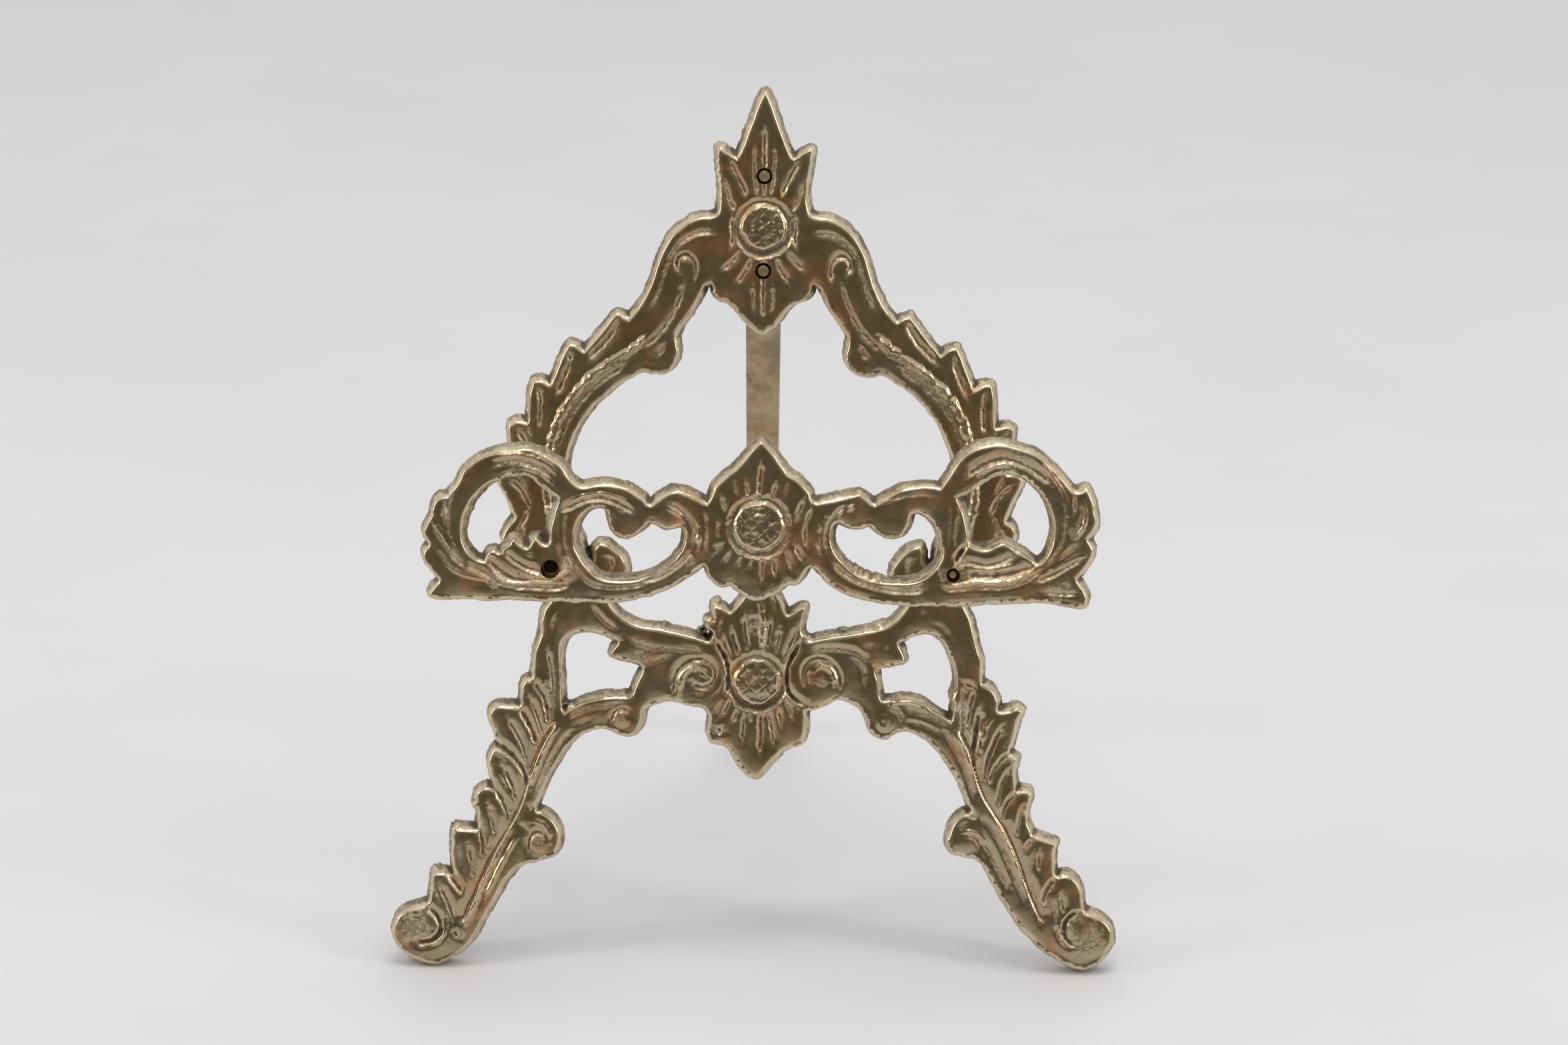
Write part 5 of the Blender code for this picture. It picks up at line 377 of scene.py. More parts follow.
FRAME_STROKES = [
    # upper leaf over the lower flower
    ("g", [(-2.8, 47.1), (-3.3, 48.4), (-3.8, 49.9), (-4.15, 51.4)], 0.4, 0.62),
    ("g", [(-4.0, 46.6), (-4.6, 47.9), (-5.1, 49.2), (-5.4, 50.4)], 0.36, 0.5),
    ("g", [(-1.35, 47.7), (-1.7, 49.0), (-2.0, 50.6), (-2.1, 52.0), (-2.0, 53.2)], 0.42, 0.62),
    ("g", [(-1.5, 53.4), (-1.1, 52.4), (-0.7, 51.2), (-0.4, 50.0)], 0.8, 0.55),
    ("r", [(0.45, 48.3), (0.5, 50.0), (0.4, 52.0), (0.35, 54.0), (0.3, 55.8)], 0.5, 0.32),
    ("g", [(1.15, 48.2), (1.4, 49.6), (1.65, 51.2), (1.85, 52.8)], 0.38, 0.55),
    ("g", [(2.5, 47.4), (2.75, 48.6), (3.0, 49.9), (3.15, 51.4)], 0.42, 0.62),
    ("g", [(3.6, 46.4), (4.1, 47.6), (4.7, 48.9), (5.3, 50.3), (5.8, 51.6)], 0.42, 0.58),
    ("g", [(-5.4, 52.8), (-5.9, 51.0), (-6.0, 49.4)], 0.35, 0.2),
    ("g", [(-0.7, 57.4), (-1.1, 56.0), (-1.6, 54.6)], 0.4, 0.25),
    ("g", [(1.5, 56.6), (2.0, 55.2), (2.5, 53.8)], 0.4, 0.3),
    # dark grooves between flower and volutes
    ("g", [(-6.6, 49.4), (-5.8, 48.2), (-5.1, 47.0), (-4.65, 45.6), (-4.5, 44.0), (-4.55, 42.6), (-4.9, 41.4)], 0.42, 1.0),
    ("g", [(6.4, 49.6), (5.6, 48.3), (4.9, 47.0), (4.35, 45.6), (4.15, 44.0), (4.3, 42.4), (4.9, 41.2), (5.9, 40.4), (7.0, 39.9)], 0.42, 1.0),
    # lower leaf
    ("g", [(0.3, 39.2), (0.35, 37.6), (0.35, 36.0), (0.3, 34.2), (0.25, 32.6)], 0.48, 0.75),
    ("g", [(-1.1, 39.1), (-1.15, 38.2), (-1.25, 37.2)], 0.34, 0.5),
    ("g", [(-2.0, 38.7), (-2.2, 37.2), (-2.3, 35.6), (-2.3, 34.0)], 0.38, 0.56),
    ("g", [(1.35, 39.0), (1.7, 37.7), (2.0, 36.2), (2.15, 34.8), (2.15, 33.6)], 0.42, 0.62),
    ("g", [(2.75, 39.6), (3.1, 38.5), (3.35, 37.3), (3.4, 36.4)], 0.38, 0.55),
    ("g", [(-3.0, 39.3), (-3.4, 38.2), (-3.9, 37.1)], 0.38, 0.48),
    ("g", [(-3.9, 41.0), (-4.5, 39.8), (-5.2, 38.6), (-5.7, 37.8)], 0.36, 0.45),
    ("g", [(3.8, 41.0), (4.3, 39.9), (4.8, 38.7), (5.2, 37.6)], 0.38, 0.48),
    ("g", [(5.2, 40.4), (5.7, 39.4), (6.1, 38.4)], 0.3, 0.25),
    ("g", [(-5.4, 40.2), (-6.0, 39.2), (-6.5, 38.4)], 0.34, 0.35),
    ("g", [(-6.2, 36.5), (-5.8, 35.9), (-5.2, 35.6)], 0.5, 0.55),
    # left volute
    ("g", [(-12.75, 41.0), (-12.6, 42.2), (-12.55, 43.4), (-12.2, 44.6), (-11.4, 45.6), (-10.4, 46.3), (-9.3, 46.6), (-8.2, 46.5),
           (-7.2, 45.9), (-6.55, 44.9), (-6.6, 43.7), (-7.2, 42.9), (-8.1, 42.5), (-9.2, 42.6), (-10.0, 43.2)], 0.46, 0.55),
    ("r", [(-11.7, 41.6), (-11.5, 43.0), (-11.2, 44.2), (-10.4, 45.1), (-9.4, 45.5)], 0.4, 0.24),
    ("g", [(-8.2, 44.6), (-8.5, 44.2)], 0.75, 0.7),
    ("g", [(-5.7, 46.4), (-5.3, 45.0), (-5.3, 43.4), (-5.8, 42.0), (-6.8, 41.0)], 0.3, 0.12),
    ("g", [(-19.4, 49.4), (-17.4, 48.6), (-15.4, 48.1), (-13.4, 48.0), (-11.4, 48.0), (-9.6, 47.8), (-8.0, 47.4)], 0.5, 0.26),
    ("g", [(-16.2, 45.4), (-15.2, 46.2), (-13.9, 46.9), (-12.4, 47.2)], 0.42, 0.22),
    ("g", [(-9.9, 41.6), (-8.7, 41.4), (-7.6, 41.6)], 0.4, 0.2),
    # right volute
    ("g", [(12.1, 42.0), (12.2, 43.2), (12.0, 44.4), (11.4, 45.6), (10.4, 46.6), (9.2, 47.0), (7.9, 46.8), (6.95, 46.0),
           (6.5, 44.8), (6.6, 43.5), (7.2, 42.5)], 0.44, 0.55),
    ("g", [(7.7, 45.3), (7.35, 44.4), (7.5, 43.5), (8.1, 43.0)], 0.3, 0.4),
    ("r", [(8.2, 45.2), (9.6, 45.8), (10.7, 45.2), (11.3, 44.2), (11.4, 43.0)], 0.4, 0.24),
    ("g", [(13.6, 47.0), (14.8, 46.4), (15.5, 45.2), (15.8, 43.9), (15.7, 42.6)], 0.42, 0.34),
    ("g", [(7.4, 47.7), (8.8, 48.3), (10.6, 48.5), (12.4, 48.35), (14.1, 48.0), (15.4, 47.2), (16.3, 46.3)], 0.4, 0.42),
    ("g", [(15.2, 48.6), (16.4, 48.8), (17.6, 48.5)], 0.4, 0.2),
    ("g", [(18.6, 48.4), (19.6, 48.4)], 0.3, 0.12),
    # bud curls
    ("g", [(-21.8, 36.4), (-21.75, 37.4), (-21.5, 38.3), (-20.9, 38.9), (-20.1, 39.05), (-19.4, 38.6), (-19.15, 37.9)], 0.36, 0.4),
    ("g", [(19.2, 39.6), (20.1, 39.4), (20.8, 38.8), (21.2, 38.0), (21.3, 37.0)], 0.36, 0.4),
    ("g", [(19.3, 40.5), (19.5, 39.8)], 0.26, 0.4),
    ("r", [(17.9, 38.6), (18.0, 37.4), (18.7, 36.7), (19.5, 37.0)], 0.24, 0.14),
    ("g", [(18.5, 37.4), (18.9, 37.4)], 0.3, 0.2),
    # arms from the bud curls to the legs
    ("g", [(-28.4, 37.4), (-26.8, 38.3), (-25.0, 38.9), (-23.0, 39.3), (-21.0, 39.6), (-19.0, 40.0)], 0.42, 0.22),
    ("g", [(-27.6, 36.3), (-26.0, 36.9), (-24.6, 37.4)], 0.3, 0.16),
    ("r", [(28.6, 38.4), (26.6, 39.4), (24.6, 40.2), (22.4, 40.6), (20.0, 40.6)], 0.4, 0.2),
    ("g", [(28.6, 37.2), (26.8, 38.0), (24.8, 38.8), (23.0, 39.3), (21.6, 39.6)], 0.44, 0.28),
    ("g", [(27.6, 35.6), (25.8, 36.6), (24.0, 37.3), (22.2, 37.6)], 0.4, 0.24),
    # left shoulder
    ("g", [(-25.1, 54.5), (-24.2, 53.4), (-23.2, 52.3), (-22.2, 51.45), (-21.2, 50.85)], 0.32, 0.42),
    ("g", [(-25.4, 55.6), (-25.2, 54.9)], 0.3, 0.25),
    ("g", [(-30.2, 53.0), (-30.5, 52.2), (-30.7, 51.2), (-30.8, 50.2)], 0.3, 0.36),
    ("g", [(-31.5, 47.6), (-31.15, 46.2), (-30.85, 44.6), (-30.65, 43.0), (-30.55, 41.4), (-30.55, 39.8), (-30.6, 38.2), (-30.75, 36.8)], 0.34, 0.5),
    ("g", [(-33.8, 43.2), (-33.0, 42.2), (-32.3, 41.2), (-31.8, 40.2), (-31.5, 39.0), (-31.3, 37.6), (-31.2, 36.2)], 0.46, 0.75),
    ("g", [(-34.1, 40.4), (-33.5, 39.3), (-33.0, 38.1), (-32.6, 36.9), (-32.3, 35.7), (-32.15, 34.6)], 0.4, 0.6),
    ("g", [(-35.6, 39.0), (-34.9, 37.9), (-34.2, 36.7), (-33.6, 35.4), (-33.2, 34.2), (-33.0, 33.0)], 0.48, 0.8),
    ("g", [(-37.3, 37.3), (-36.5, 35.9), (-35.7, 34.5), (-35.0, 33.0), (-34.5, 31.6), (-34.2, 30.2), (-34.1, 29.0)], 0.5, 0.6),
    ("r", [(-37.0, 36.2), (-36.1, 34.6), (-35.2, 33.0), (-34.7, 31.6)], 0.26, 0.12),
    ("g", [(-38.9, 33.6), (-38.0, 32.9), (-36.9, 32.0), (-36.0, 31.1), (-35.2, 30.1), (-34.7, 29.0), (-34.5, 27.8), (-34.5, 26.4)], 0.52, 0.9),
    ("g", [(-38.1, 30.0), (-37.4, 29.0), (-36.9, 27.9), (-36.4, 26.7), (-36.15, 25.5), (-36.1, 24.4)], 0.46, 0.62),
    ("g", [(-38.2, 28.6), (-37.7, 27.2), (-37.2, 26.0)], 0.3, 0.3),
    ("g", [(-39.2, 27.2), (-38.6, 26.0), (-38.0, 24.8), (-37.5, 23.6), (-37.2, 22.4), (-37.3, 21.2)], 0.48, 0.75),
    ("g", [(-40.2, 24.4), (-39.8, 23.0), (-39.4, 21.6), (-39.2, 20.2), (-39.3, 19.0)], 0.42, 0.52),
    ("g", [(-41.3, 21.2), (-41.2, 20.0), (-41.0, 18.6), (-40.9, 17.2), (-41.0, 15.8)], 0.44, 0.62),
    ("g", [(-43.1, 18.2), (-42.8, 16.8), (-42.5, 15.4), (-42.3, 14.0), (-42.4, 12.6)], 0.42, 0.52),
    ("g", [(-44.5, 17.6), (-44.4, 16.0), (-44.2, 14.4)], 0.3, 0.25),
    ("g", [(-46.2, 14.0), (-45.5, 13.1), (-44.9, 12.2), (-44.3, 11.4), (-43.9, 10.6)], 0.5, 0.85),
    ("g", [(-47.4, 12.0), (-46.8, 10.8), (-46.2, 9.6), (-45.7, 8.4), (-45.4, 7.2), (-45.4, 6.0)], 0.46, 0.66),
    ("g", [(-47.9, 11.0), (-47.6, 9.6), (-47.3, 8.4)], 0.3, 0.25),
    # left stem
    ("e", [(-43.9, 5.6), (-43.3, 7.2), (-42.4, 9.2), (-41.5, 11.2), (-40.6, 13.3), (-39.7, 15.4), (-38.6, 17.6), (-37.3, 19.8), (-36.1, 22.0),
           (-35.0, 24.4), (-34.2, 26.8), (-33.5, 29.2), (-32.8, 31.4), (-31.9, 33.4), (-30.7, 35.4), (-29.6, 36.9)], 2.2, -0.55),
    ("r", [(-43.4, 6.6), (-42.3, 9.0), (-41.1, 11.8), (-40.0, 14.4), (-38.7, 17.0)], 0.55, 0.26),
    ("r", [(-34.0, 27.0), (-33.2, 29.4), (-32.4, 31.8), (-31.3, 34.0), (-29.9, 36.2)], 0.5, 0.26),
    ("g", [(-27.8, 35.6), (-28.9, 34.3), (-29.9, 32.8), (-30.8, 31.1), (-31.6, 29.3), (-32.3, 27.4), (-32.9, 25.6)], 0.36, 0.4),
    ("r", [(-35.9, 19.4), (-37.0, 17.5), (-38.0, 15.6), (-38.9, 13.8), (-39.7, 12.0), (-40.5, 10.2)], 0.3, 0.22),
    ("g", [(-36.4, 20.6), (-37.4, 18.6), (-38.3, 16.7), (-39.3, 14.8), (-40.2, 12.8), (-41.1, 10.6), (-42.0, 8.4)], 0.4, 0.22),
    # left inner curl
    ("g", [(-33.9, 16.7), (-34.0, 17.8), (-33.9, 18.9), (-33.5, 19.8), (-32.8, 20.2), (-32.1, 20.0), (-31.7, 19.3)], 0.36, 0.6),
    ("g", [(-35.6, 21.4), (-34.5, 20.6), (-34.2, 19.2)], 0.42, 0.22),
    ("r", [(-33.6, 22.0), (-32.4, 21.8), (-31.4, 21.1), (-30.9, 20.0), (-30.9, 18.8)], 0.4, 0.16),
    ("g", [(-34.1, 24.1), (-33.4, 23.7)], 0.3, 0.4),
    # left foot scroll
    ("g", [(-49.3, 8.6), (-48.3, 8.0), (-47.5, 7.0), (-47.15, 5.9), (-47.25, 4.8), (-47.9, 4.0), (-48.9, 3.5), (-50.1, 3.3), (-51.2, 3.5)], 0.46, 0.85),
    ("g", [(-46.3, 8.2), (-46.1, 7.0), (-46.0, 5.8), (-46.2, 4.8)], 0.3, 0.3),
    ("r", [(-46.7, 6.6), (-46.5, 5.4), (-46.8, 4.3), (-47.6, 3.5), (-48.9, 2.9)], 0.3, 0.25),
    ("g", [(-45.2, 5.4), (-44.9, 4.6), (-44.4, 4.0)], 0.5, 0.5),
    ("g", [(-51.9, 7.2), (-51.0, 7.1)], 0.35, 0.35),
    # right shoulder
    ("g", [(25.6, 52.4), (26.8, 51.9), (27.8, 51.0), (28.7, 49.8)], 0.3, 0.12),
    ("g", [(27.7, 54.9), (28.5, 54.8)], 0.4, 0.14),
    ("g", [(24.2, 54.2), (24.4, 53.4)], 0.3, 0.14),
    ("g", [(30.3, 43.5), (31.2, 43.1), (32.3, 42.8)], 0.36, 0.7),
    ("g", [(30.4, 43.0), (30.45, 41.6), (30.35, 40.2), (30.3, 38.8), (30.35, 37.4), (30.6, 36.1), (30.9, 35.0)], 0.42, 0.55),
    ("g", [(32.4, 42.6), (31.9, 41.4), (31.6, 40.2), (31.4, 39.0), (31.2, 37.8), (31.15, 36.6)], 0.46, 0.7),
    ("g", [(32.8, 39.4), (32.75, 38.2), (32.6, 37.0), (32.4, 35.8), (32.2, 34.6), (32.05, 33.4), (32.1, 32.2)], 0.55, 0.9),
    ("r", [(34.6, 38.3), (34.0, 37.3), (33.6, 36.2), (33.3, 35.0), (33.0, 33.6), (32.8, 32.0), (32.8, 30.4)], 0.45, 0.2),
    ("g", [(36.4, 37.0), (35.8, 35.8), (35.3, 34.6), (34.8, 33.4), (34.3, 32.1), (34.0, 30.8), (33.8, 29.4), (33.8, 28.0)], 0.46, 0.75),
    ("g", [(36.8, 36.2), (36.3, 35.2)], 0.3, 0.2),
    ("g", [(38.2, 32.9), (37.4, 32.7), (36.6, 32.2), (35.9, 31.4), (35.2, 30.4), (34.7, 29.2), (34.3, 28.0)], 0.42, 0.65),
    ("g", [(37.4, 30.4), (36.9, 29.3), (36.4, 28.2), (36.1, 27.0), (35.9, 25.8), (35.9, 24.6)], 0.44, 0.66),
    ("g", [(38.9, 27.0), (38.2, 26.5), (37.5, 25.7), (37.0, 24.7), (36.7, 23.6), (36.6, 22.4)], 0.5, 0.8),
    ("g", [(39.5, 24.8), (39.3, 23.6), (39.1, 22.4), (38.8, 21.2), (38.6, 20.0)], 0.42, 0.62),
    ("g", [(41.6, 20.0), (40.9, 19.6), (40.3, 18.8), (40.0, 17.8)], 0.42, 0.5),
    ("g", [(41.4, 18.4), (41.2, 17.2), (41.1, 16.0), (41.1, 14.8)], 0.36, 0.4),
    ("g", [(42.3, 18.4), (42.15, 17.2), (42.1, 16.0), (42.3, 14.9)], 0.36, 0.5),
    ("g", [(44.9, 14.3), (44.2, 13.5), (43.6, 12.6), (43.15, 11.6), (42.95, 10.4), (42.9, 9.4)], 0.5, 0.8),
    ("g", [(41.2, 13.2), (41.3, 12.0), (41.6, 10.8), (42.0, 9.6), (42.3, 8.4), (42.5, 7.2)], 0.38, 0.5),
    ("g", [(45.5, 11.6), (45.7, 10.6), (45.9, 9.6), (46.0, 8.7)], 0.42, 0.6),
    ("g", [(44.4, 11.2), (44.6, 9.6), (44.8, 8.2), (45.0, 7.0)], 0.36, 0.34),
    # right stem
    ("e", [(29.4, 37.0), (30.2, 35.4), (31.1, 33.6), (31.8, 31.7), (32.3, 29.8), (32.9, 27.8), (33.9, 25.6), (35.2, 23.6), (36.4, 21.6),
           (37.4, 19.6), (38.3, 17.6), (39.2, 15.6), (40.0, 13.4), (40.8, 11.2), (41.8, 9.0), (43.0, 6.8)], 2.2, -0.55),
    ("r", [(36.0, 22.6), (37.1, 20.5), (38.0, 18.4), (38.8, 16.4), (39.5, 14.4)], 0.5, 0.26),
    ("r", [(29.4, 36.2), (30.4, 34.4), (31.3, 32.4), (32.0, 30.4)], 0.46, 0.24),
    ("g", [(27.2, 36.6), (28.3, 35.2), (29.3, 33.6), (30.2, 31.8), (31.0, 29.8), (31.8, 27.6), (32.4, 25.8)], 0.36, 0.36),
    ("g", [(33.0, 23.2), (34.2, 22.4), (35.4, 20.8), (36.5, 18.8), (37.4, 16.6), (38.3, 14.4), (39.4, 12.2), (40.5, 10.0)], 0.4, 0.3),
    ("g", [(33.5, 19.6), (34.3, 18.6), (35.1, 17.3), (35.9, 15.8), (36.8, 14.2), (37.8, 12.4)], 0.5, 0.5),
    ("g", [(31.0, 24.0), (32.0, 23.4), (33.2, 23.2)], 0.34, 0.35),
    # right inner curl
    ("g", [(31.2, 20.4), (32.2, 20.3), (32.9, 19.7), (33.1, 18.8), (32.9, 18.0)], 0.36, 0.55),
    ("r", [(30.6, 20.9), (31.8, 21.1), (33.0, 20.7), (33.8, 19.8)], 0.3, 0.16),
    ("g", [(29.9, 21.2), (30.8, 22.0), (32.0, 22.4)], 0.36, 0.2),
    # right foot scroll
    ("g", [(48.6, 9.0), (47.6, 8.8), (46.7, 8.1), (46.2, 7.1), (46.1, 6.0), (46.4, 5.0), (47.1, 4.3), (48.1, 3.9)], 0.46, 0.85),
    ("g", [(44.9, 7.4), (45.0, 6.2), (45.4, 5.2), (46.1, 4.3), (47.0, 3.6)], 0.34, 0.42),
    ("r", [(45.5, 7.2), (45.5, 6.2), (45.8, 5.2), (46.5, 4.2)], 0.26, 0.2),
]
FRAME_DISCS = [
    (-0.25, 43.3, 3.6, 0.36, 0.6),
    (0.0, 111.0, 3.5, 0.36, 0.5),
]
# ground bottoms of the scroll discs: centre, radius, rise
FRAME_DOMES = [(-50.6, 5.3, 3.1, 0.05), (49.9, 5.4, 3.3, 0.08), (-20.3, 37.4, 1.3, 0.1), (18.9, 37.4, 1.5, 0.1),
               (-32.4, 18.6, 1.4, 0.08), (30.9, 19.2, 1.6, 0.08), (-9.6, 43.9, 1.4, 0.05), (9.5, 44.0, 1.3, 0.05)]

# casting burrs on the back edges: place, radius, spread
FRAME_BURRS = [(-8.3, 51.9, 1.25), (12.2, 51.2, 0.45), (7.0, 50.2, 0.5), (-6.7, 55.6, 0.7), (-22.4, 51.6, 0.4), (20.9, 50.4, 0.5),
               (28.8, 41.6, 0.5), (-45.2, 20.8, 0.6), (-42.4, 24.4, 0.5), (17.6, 45.7, 0.5), (-39.0, 34.4, 0.6), (26.6, 40.8, 0.3),
               (-28.4, 39.2, 0.45), (21.8, 56.2, 0.5), (-13.6, 52.0, 0.4), (17.8, 52.2, 0.5), (-48.0, 14.8, 0.4)]
RAIL_BURRS = [(17.2, 62.4, 0.65), (14.5, 63.6, 0.45), (15.4, 62.8, 0.4), (-41.8, 71.0, 0.3), (-37.6, 76.0, 0.35), (-45.4, 63.2, 0.3)]

# rough places: u, v, radius, amount
FRAME_PATCHES = [(-50.7, 5.6, 2.6, 0.9), (49.9, 5.6, 2.8, 0.65), (-9.9, 45.6, 1.3, 1.0), (-0.6, 51.6, 1.3, 0.8), (-17.0, 48.2, 1.6, 0.45),
                 (-32.6, 19.4, 1.1, 0.6), (-38.0, 32.4, 1.2, 0.6), (-31.2, 42.6, 1.0, 0.6), (30.6, 40.0, 1.2, 0.7), (37.9, 32.4, 1.2, 0.8),
                 (32.0, 36.0, 1.3, 0.5), (-44.6, 4.9, 1.0, 0.6), (-34.4, 28.6, 1.0, 0.5), (-36.6, 22.6, 1.1, 0.5), (9.4, 43.4, 0.9, 0.5),
                 (-0.2, 46.9, 1.4, 0.55), (0.2, 39.4, 1.2, 0.4), (-6.2, 36.2, 0.9, 1.0), (-39.8, 17.0, 1.2, 0.5), (19.2, 37.6, 0.8, 0.5),
                 (-20.4, 37.7, 0.8, 0.5), (-0.25, 43.3, 3.3, 0.12), (0.0, 111.0, 3.2, 0.12), (43.4, 10.6, 1.0, 0.5), (46.9, 6.4, 1.0, 0.7), (-8.2, 51.5, 1.4, 1.0)]
RAIL_PATCHES = [(-27.6, 63.6, 1.5, 0.8), (-27.2, 61.6, 1.3, 0.7), (-33.6, 61.2, 1.6, 0.7), (-37.9, 61.6, 1.3, 0.8), (26.5, 63.0, 1.2, 0.8),
                (29.0, 64.6, 1.0, 0.8), (33.5, 63.0, 1.4, 0.45), (-0.1, 69.45, 3.4, 0.15), (-45.4, 71.0, 0.9, 0.7), (36.5, 79.2, 1.6, 0.7),
                (32.0, 78.4, 1.4, 0.6), (-10.2, 64.6, 0.9, 0.6), (10.0, 70.6, 0.9, 0.5), (-0.2, 73.6, 0.9, 0.6), (43.0, 60.2, 1.5, 0.5),
                (-35.5, 78.4, 1.8, 0.4), (-23.8, 73.2, 1.4, 0.6), (45.4, 69.0, 1.0, 0.5)]


def mirrored(strokes):
    """The same strokes on the other side of the middle line, on hidden upper work."""
    out = []
    for kind, pts, half, deep in strokes:
        flipped = [(-u, v) for u, v in pts]
        if kind == "e":
            flipped = flipped[::-1]
        out.append((kind, flipped, half, deep))
    return out


# Upper part of the front frame, the same on both sides
UPPER_STROKES = [
    ("g", [(-31.6, 59.6), (-33.4, 61.2), (-34.8, 62.8), (-35.4, 64.6), (-34.8, 66.4)], 0.5, 0.5),
    ("g", [(-28.2, 57.4), (-28.6, 59.6), (-28.2, 61.0)], 0.5, 0.35),
    ("g", [(-36.4, 65.0), (-35.2, 66.8), (-34.4, 68.8)], 0.42, 0.5),
    ("g", [(-37.6, 73.2), (-36.0, 72.2), (-34.8, 70.4), (-34.0, 68.4)], 0.46, 0.6),
    ("g", [(-36.2, 74.8), (-35.4, 73.0), (-34.6, 71.4)], 0.4, 0.4),
    ("g", [(-36.4, 80.8), (-35.2, 79.2), (-34.4, 77.2), (-34.0, 75.0)], 0.46, 0.6),
    ("g", [(-34.8, 81.2), (-34.0, 79.6)], 0.4, 0.35),
    ("g", [(-33.2, 87.2), (-32.8, 85.2), (-32.8, 83.0), (-33.0, 80.8)], 0.46, 0.6),
    ("g", [(-28.2, 92.6), (-28.6, 90.4), (-29.4, 88.2), (-30.4, 86.0)], 0.46, 0.6),
    ("g", [(-21.2, 97.2), (-22.2, 95.2), (-23.8, 93.2), (-25.8, 91.2)], 0.46, 0.6),
    ("r", [(-30.2, 64.0), (-31.0, 67.0), (-31.6, 70.4), (-31.8, 74.0), (-31.4, 77.6), (-30.4, 81.2), (-28.6, 84.8), (-26.0, 88.0),
           (-22.8, 90.6), (-19.6, 92.6), (-17.0, 94.8)], 0.6, 0.4),
    ("g", [(-30.8, 68.6), (-30.9, 72.0), (-30.6, 75.6), (-29.8, 79.0), (-28.4, 82.4), (-26.2, 85.6), (-23.4, 88.2), (-20.2, 90.4)], 0.4, 0.4),
    ("g", [(-17.6, 93.0), (-15.4, 95.0), (-13.6, 97.4), (-12.4, 100.0), (-11.6, 102.6)], 0.42, 0.45),
    ("g", [(-10.2, 103.0), (-9.9, 104.6), (-10.4, 106.2), (-11.4, 106.9), (-12.5, 106.4), (-12.8, 105.2), (-12.2, 104.3)], 0.42, 0.62),
    ("g", [(-16.6, 99.2), (-15.4, 101.4), (-14.6, 104.0), (-13.6, 106.8), (-11.8, 109.0), (-9.4, 110.2), (-7.2, 110.2)], 0.42, 0.35),
    ("g", [(-15.8, 91.6), (-15.0, 92.4), (-14.4, 93.6)], 0.42, 0.4),
    ("g", [(-22.2, 59.4), (-21.9, 60.4), (-22.2, 61.4), (-23.0, 61.7)], 0.4, 0.5),
    ("g", [(-23.6, 56.4), (-24.8, 57.6), (-26.2, 58.2), (-27.6, 58.2)], 0.45, 0.4),
    ("g", [(-2.4, 115.4), (-3.2, 117.2), (-4.2, 119.2), (-5.2, 121.2)], 0.42, 0.6),
    ("g", [(-4.0, 113.4), (-4.8, 114.6), (-5.4, 116.2), (-5.8, 117.8)], 0.4, 0.5),
    ("g", [(-1.0, 115.6), (-1.3, 118.0), (-1.5, 120.6), (-1.4, 123.0)], 0.4, 0.5),
    ("g", [(-1.6, 106.6), (-2.6, 104.6), (-4.0, 102.6)], 0.4, 0.5),
    ("g", [(-3.2, 107.6), (-4.8, 105.8), (-6.2, 104.6)], 0.4, 0.45),
    ("g", [(-4.6, 112.8), (-4.7, 111.0), (-4.6, 109.4), (-4.9, 107.9)], 0.4, 0.6),
    ("g", [(-1.2, 98.4), (-1.5, 100.4), (-1.4, 102.4)], 0.36, 0.4),
]
MIDDLE_STROKES = [
    ("g", [(0.0, 115.4), (0.0, 118.6), (0.0, 122.0), (0.0, 125.6)], 0.42, 0.7),
    ("g", [(0.0, 106.6), (0.0, 103.6), (0.0, 100.0), (0.0, 97.6)], 0.42, 0.6),
]
FRAME_STROKES += UPPER_STROKES + mirrored(UPPER_STROKES) + MIDDLE_STROKES


# ---------------------------------------------------------------- geometry

def place(u, v, w):
    """Casting coordinates in mm to the row frame in metres."""
    u, v, w = np.broadcast_arrays(np.asarray(u, float), np.asarray(v, float), np.asarray(w, float))
    s, c = math.sin(LEAN), math.cos(LEAN)
    return np.stack([u - MID_X, v * s - w * c - MID_Y, v * c + w * s + LIFT], -1) * MM


def curve(pts, closed=False, step=0.3, corner=55.0):
    """A smooth line through the points, with sharp corners kept."""
    p = np.asarray(pts, float)
    n = len(p)
    if closed:
        before, after = np.roll(p, 1, 0), np.roll(p, -1, 0)
    else:
        before = np.vstack([2 * p[:1] - p[1:2], p[:-1]])
        after = np.vstack([p[1:], 2 * p[-1:] - p[-2:-1]])
    a, b = p - before, after - p
    la = np.linalg.norm(a, axis=1) + 1e-12
    lb = np.linalg.norm(b, axis=1) + 1e-12
    da, db = a / la[:, None], b / lb[:, None]
    sharp = np.degrees(np.arccos(np.clip((da * db).sum(1), -1, 1))) > corner
    t = da * lb[:, None] + db * la[:, None]
    t /= np.linalg.norm(t, axis=1)[:, None] + 1e-12
    out = []
    for i in range(n if closed else n - 1):
        j = (i + 1) % n
        d0 = (db[i] if sharp[i] else t[i]) * lb[i]
        d1 = (da[j] if sharp[j] else t[j]) * lb[i]
        k = max(1, int(math.ceil(lb[i] / step)))
        x = (np.arange(k) / k)[:, None]
        out.append((2 * x ** 3 - 3 * x ** 2 + 1) * p[i] + (x ** 3 - 2 * x ** 2 + x) * d0
                   + (3 * x ** 2 - 2 * x ** 3) * p[j] + (x ** 3 - x ** 2) * d1)
    if not closed:
        out.append(p[-1:])
    return np.vstack(out)


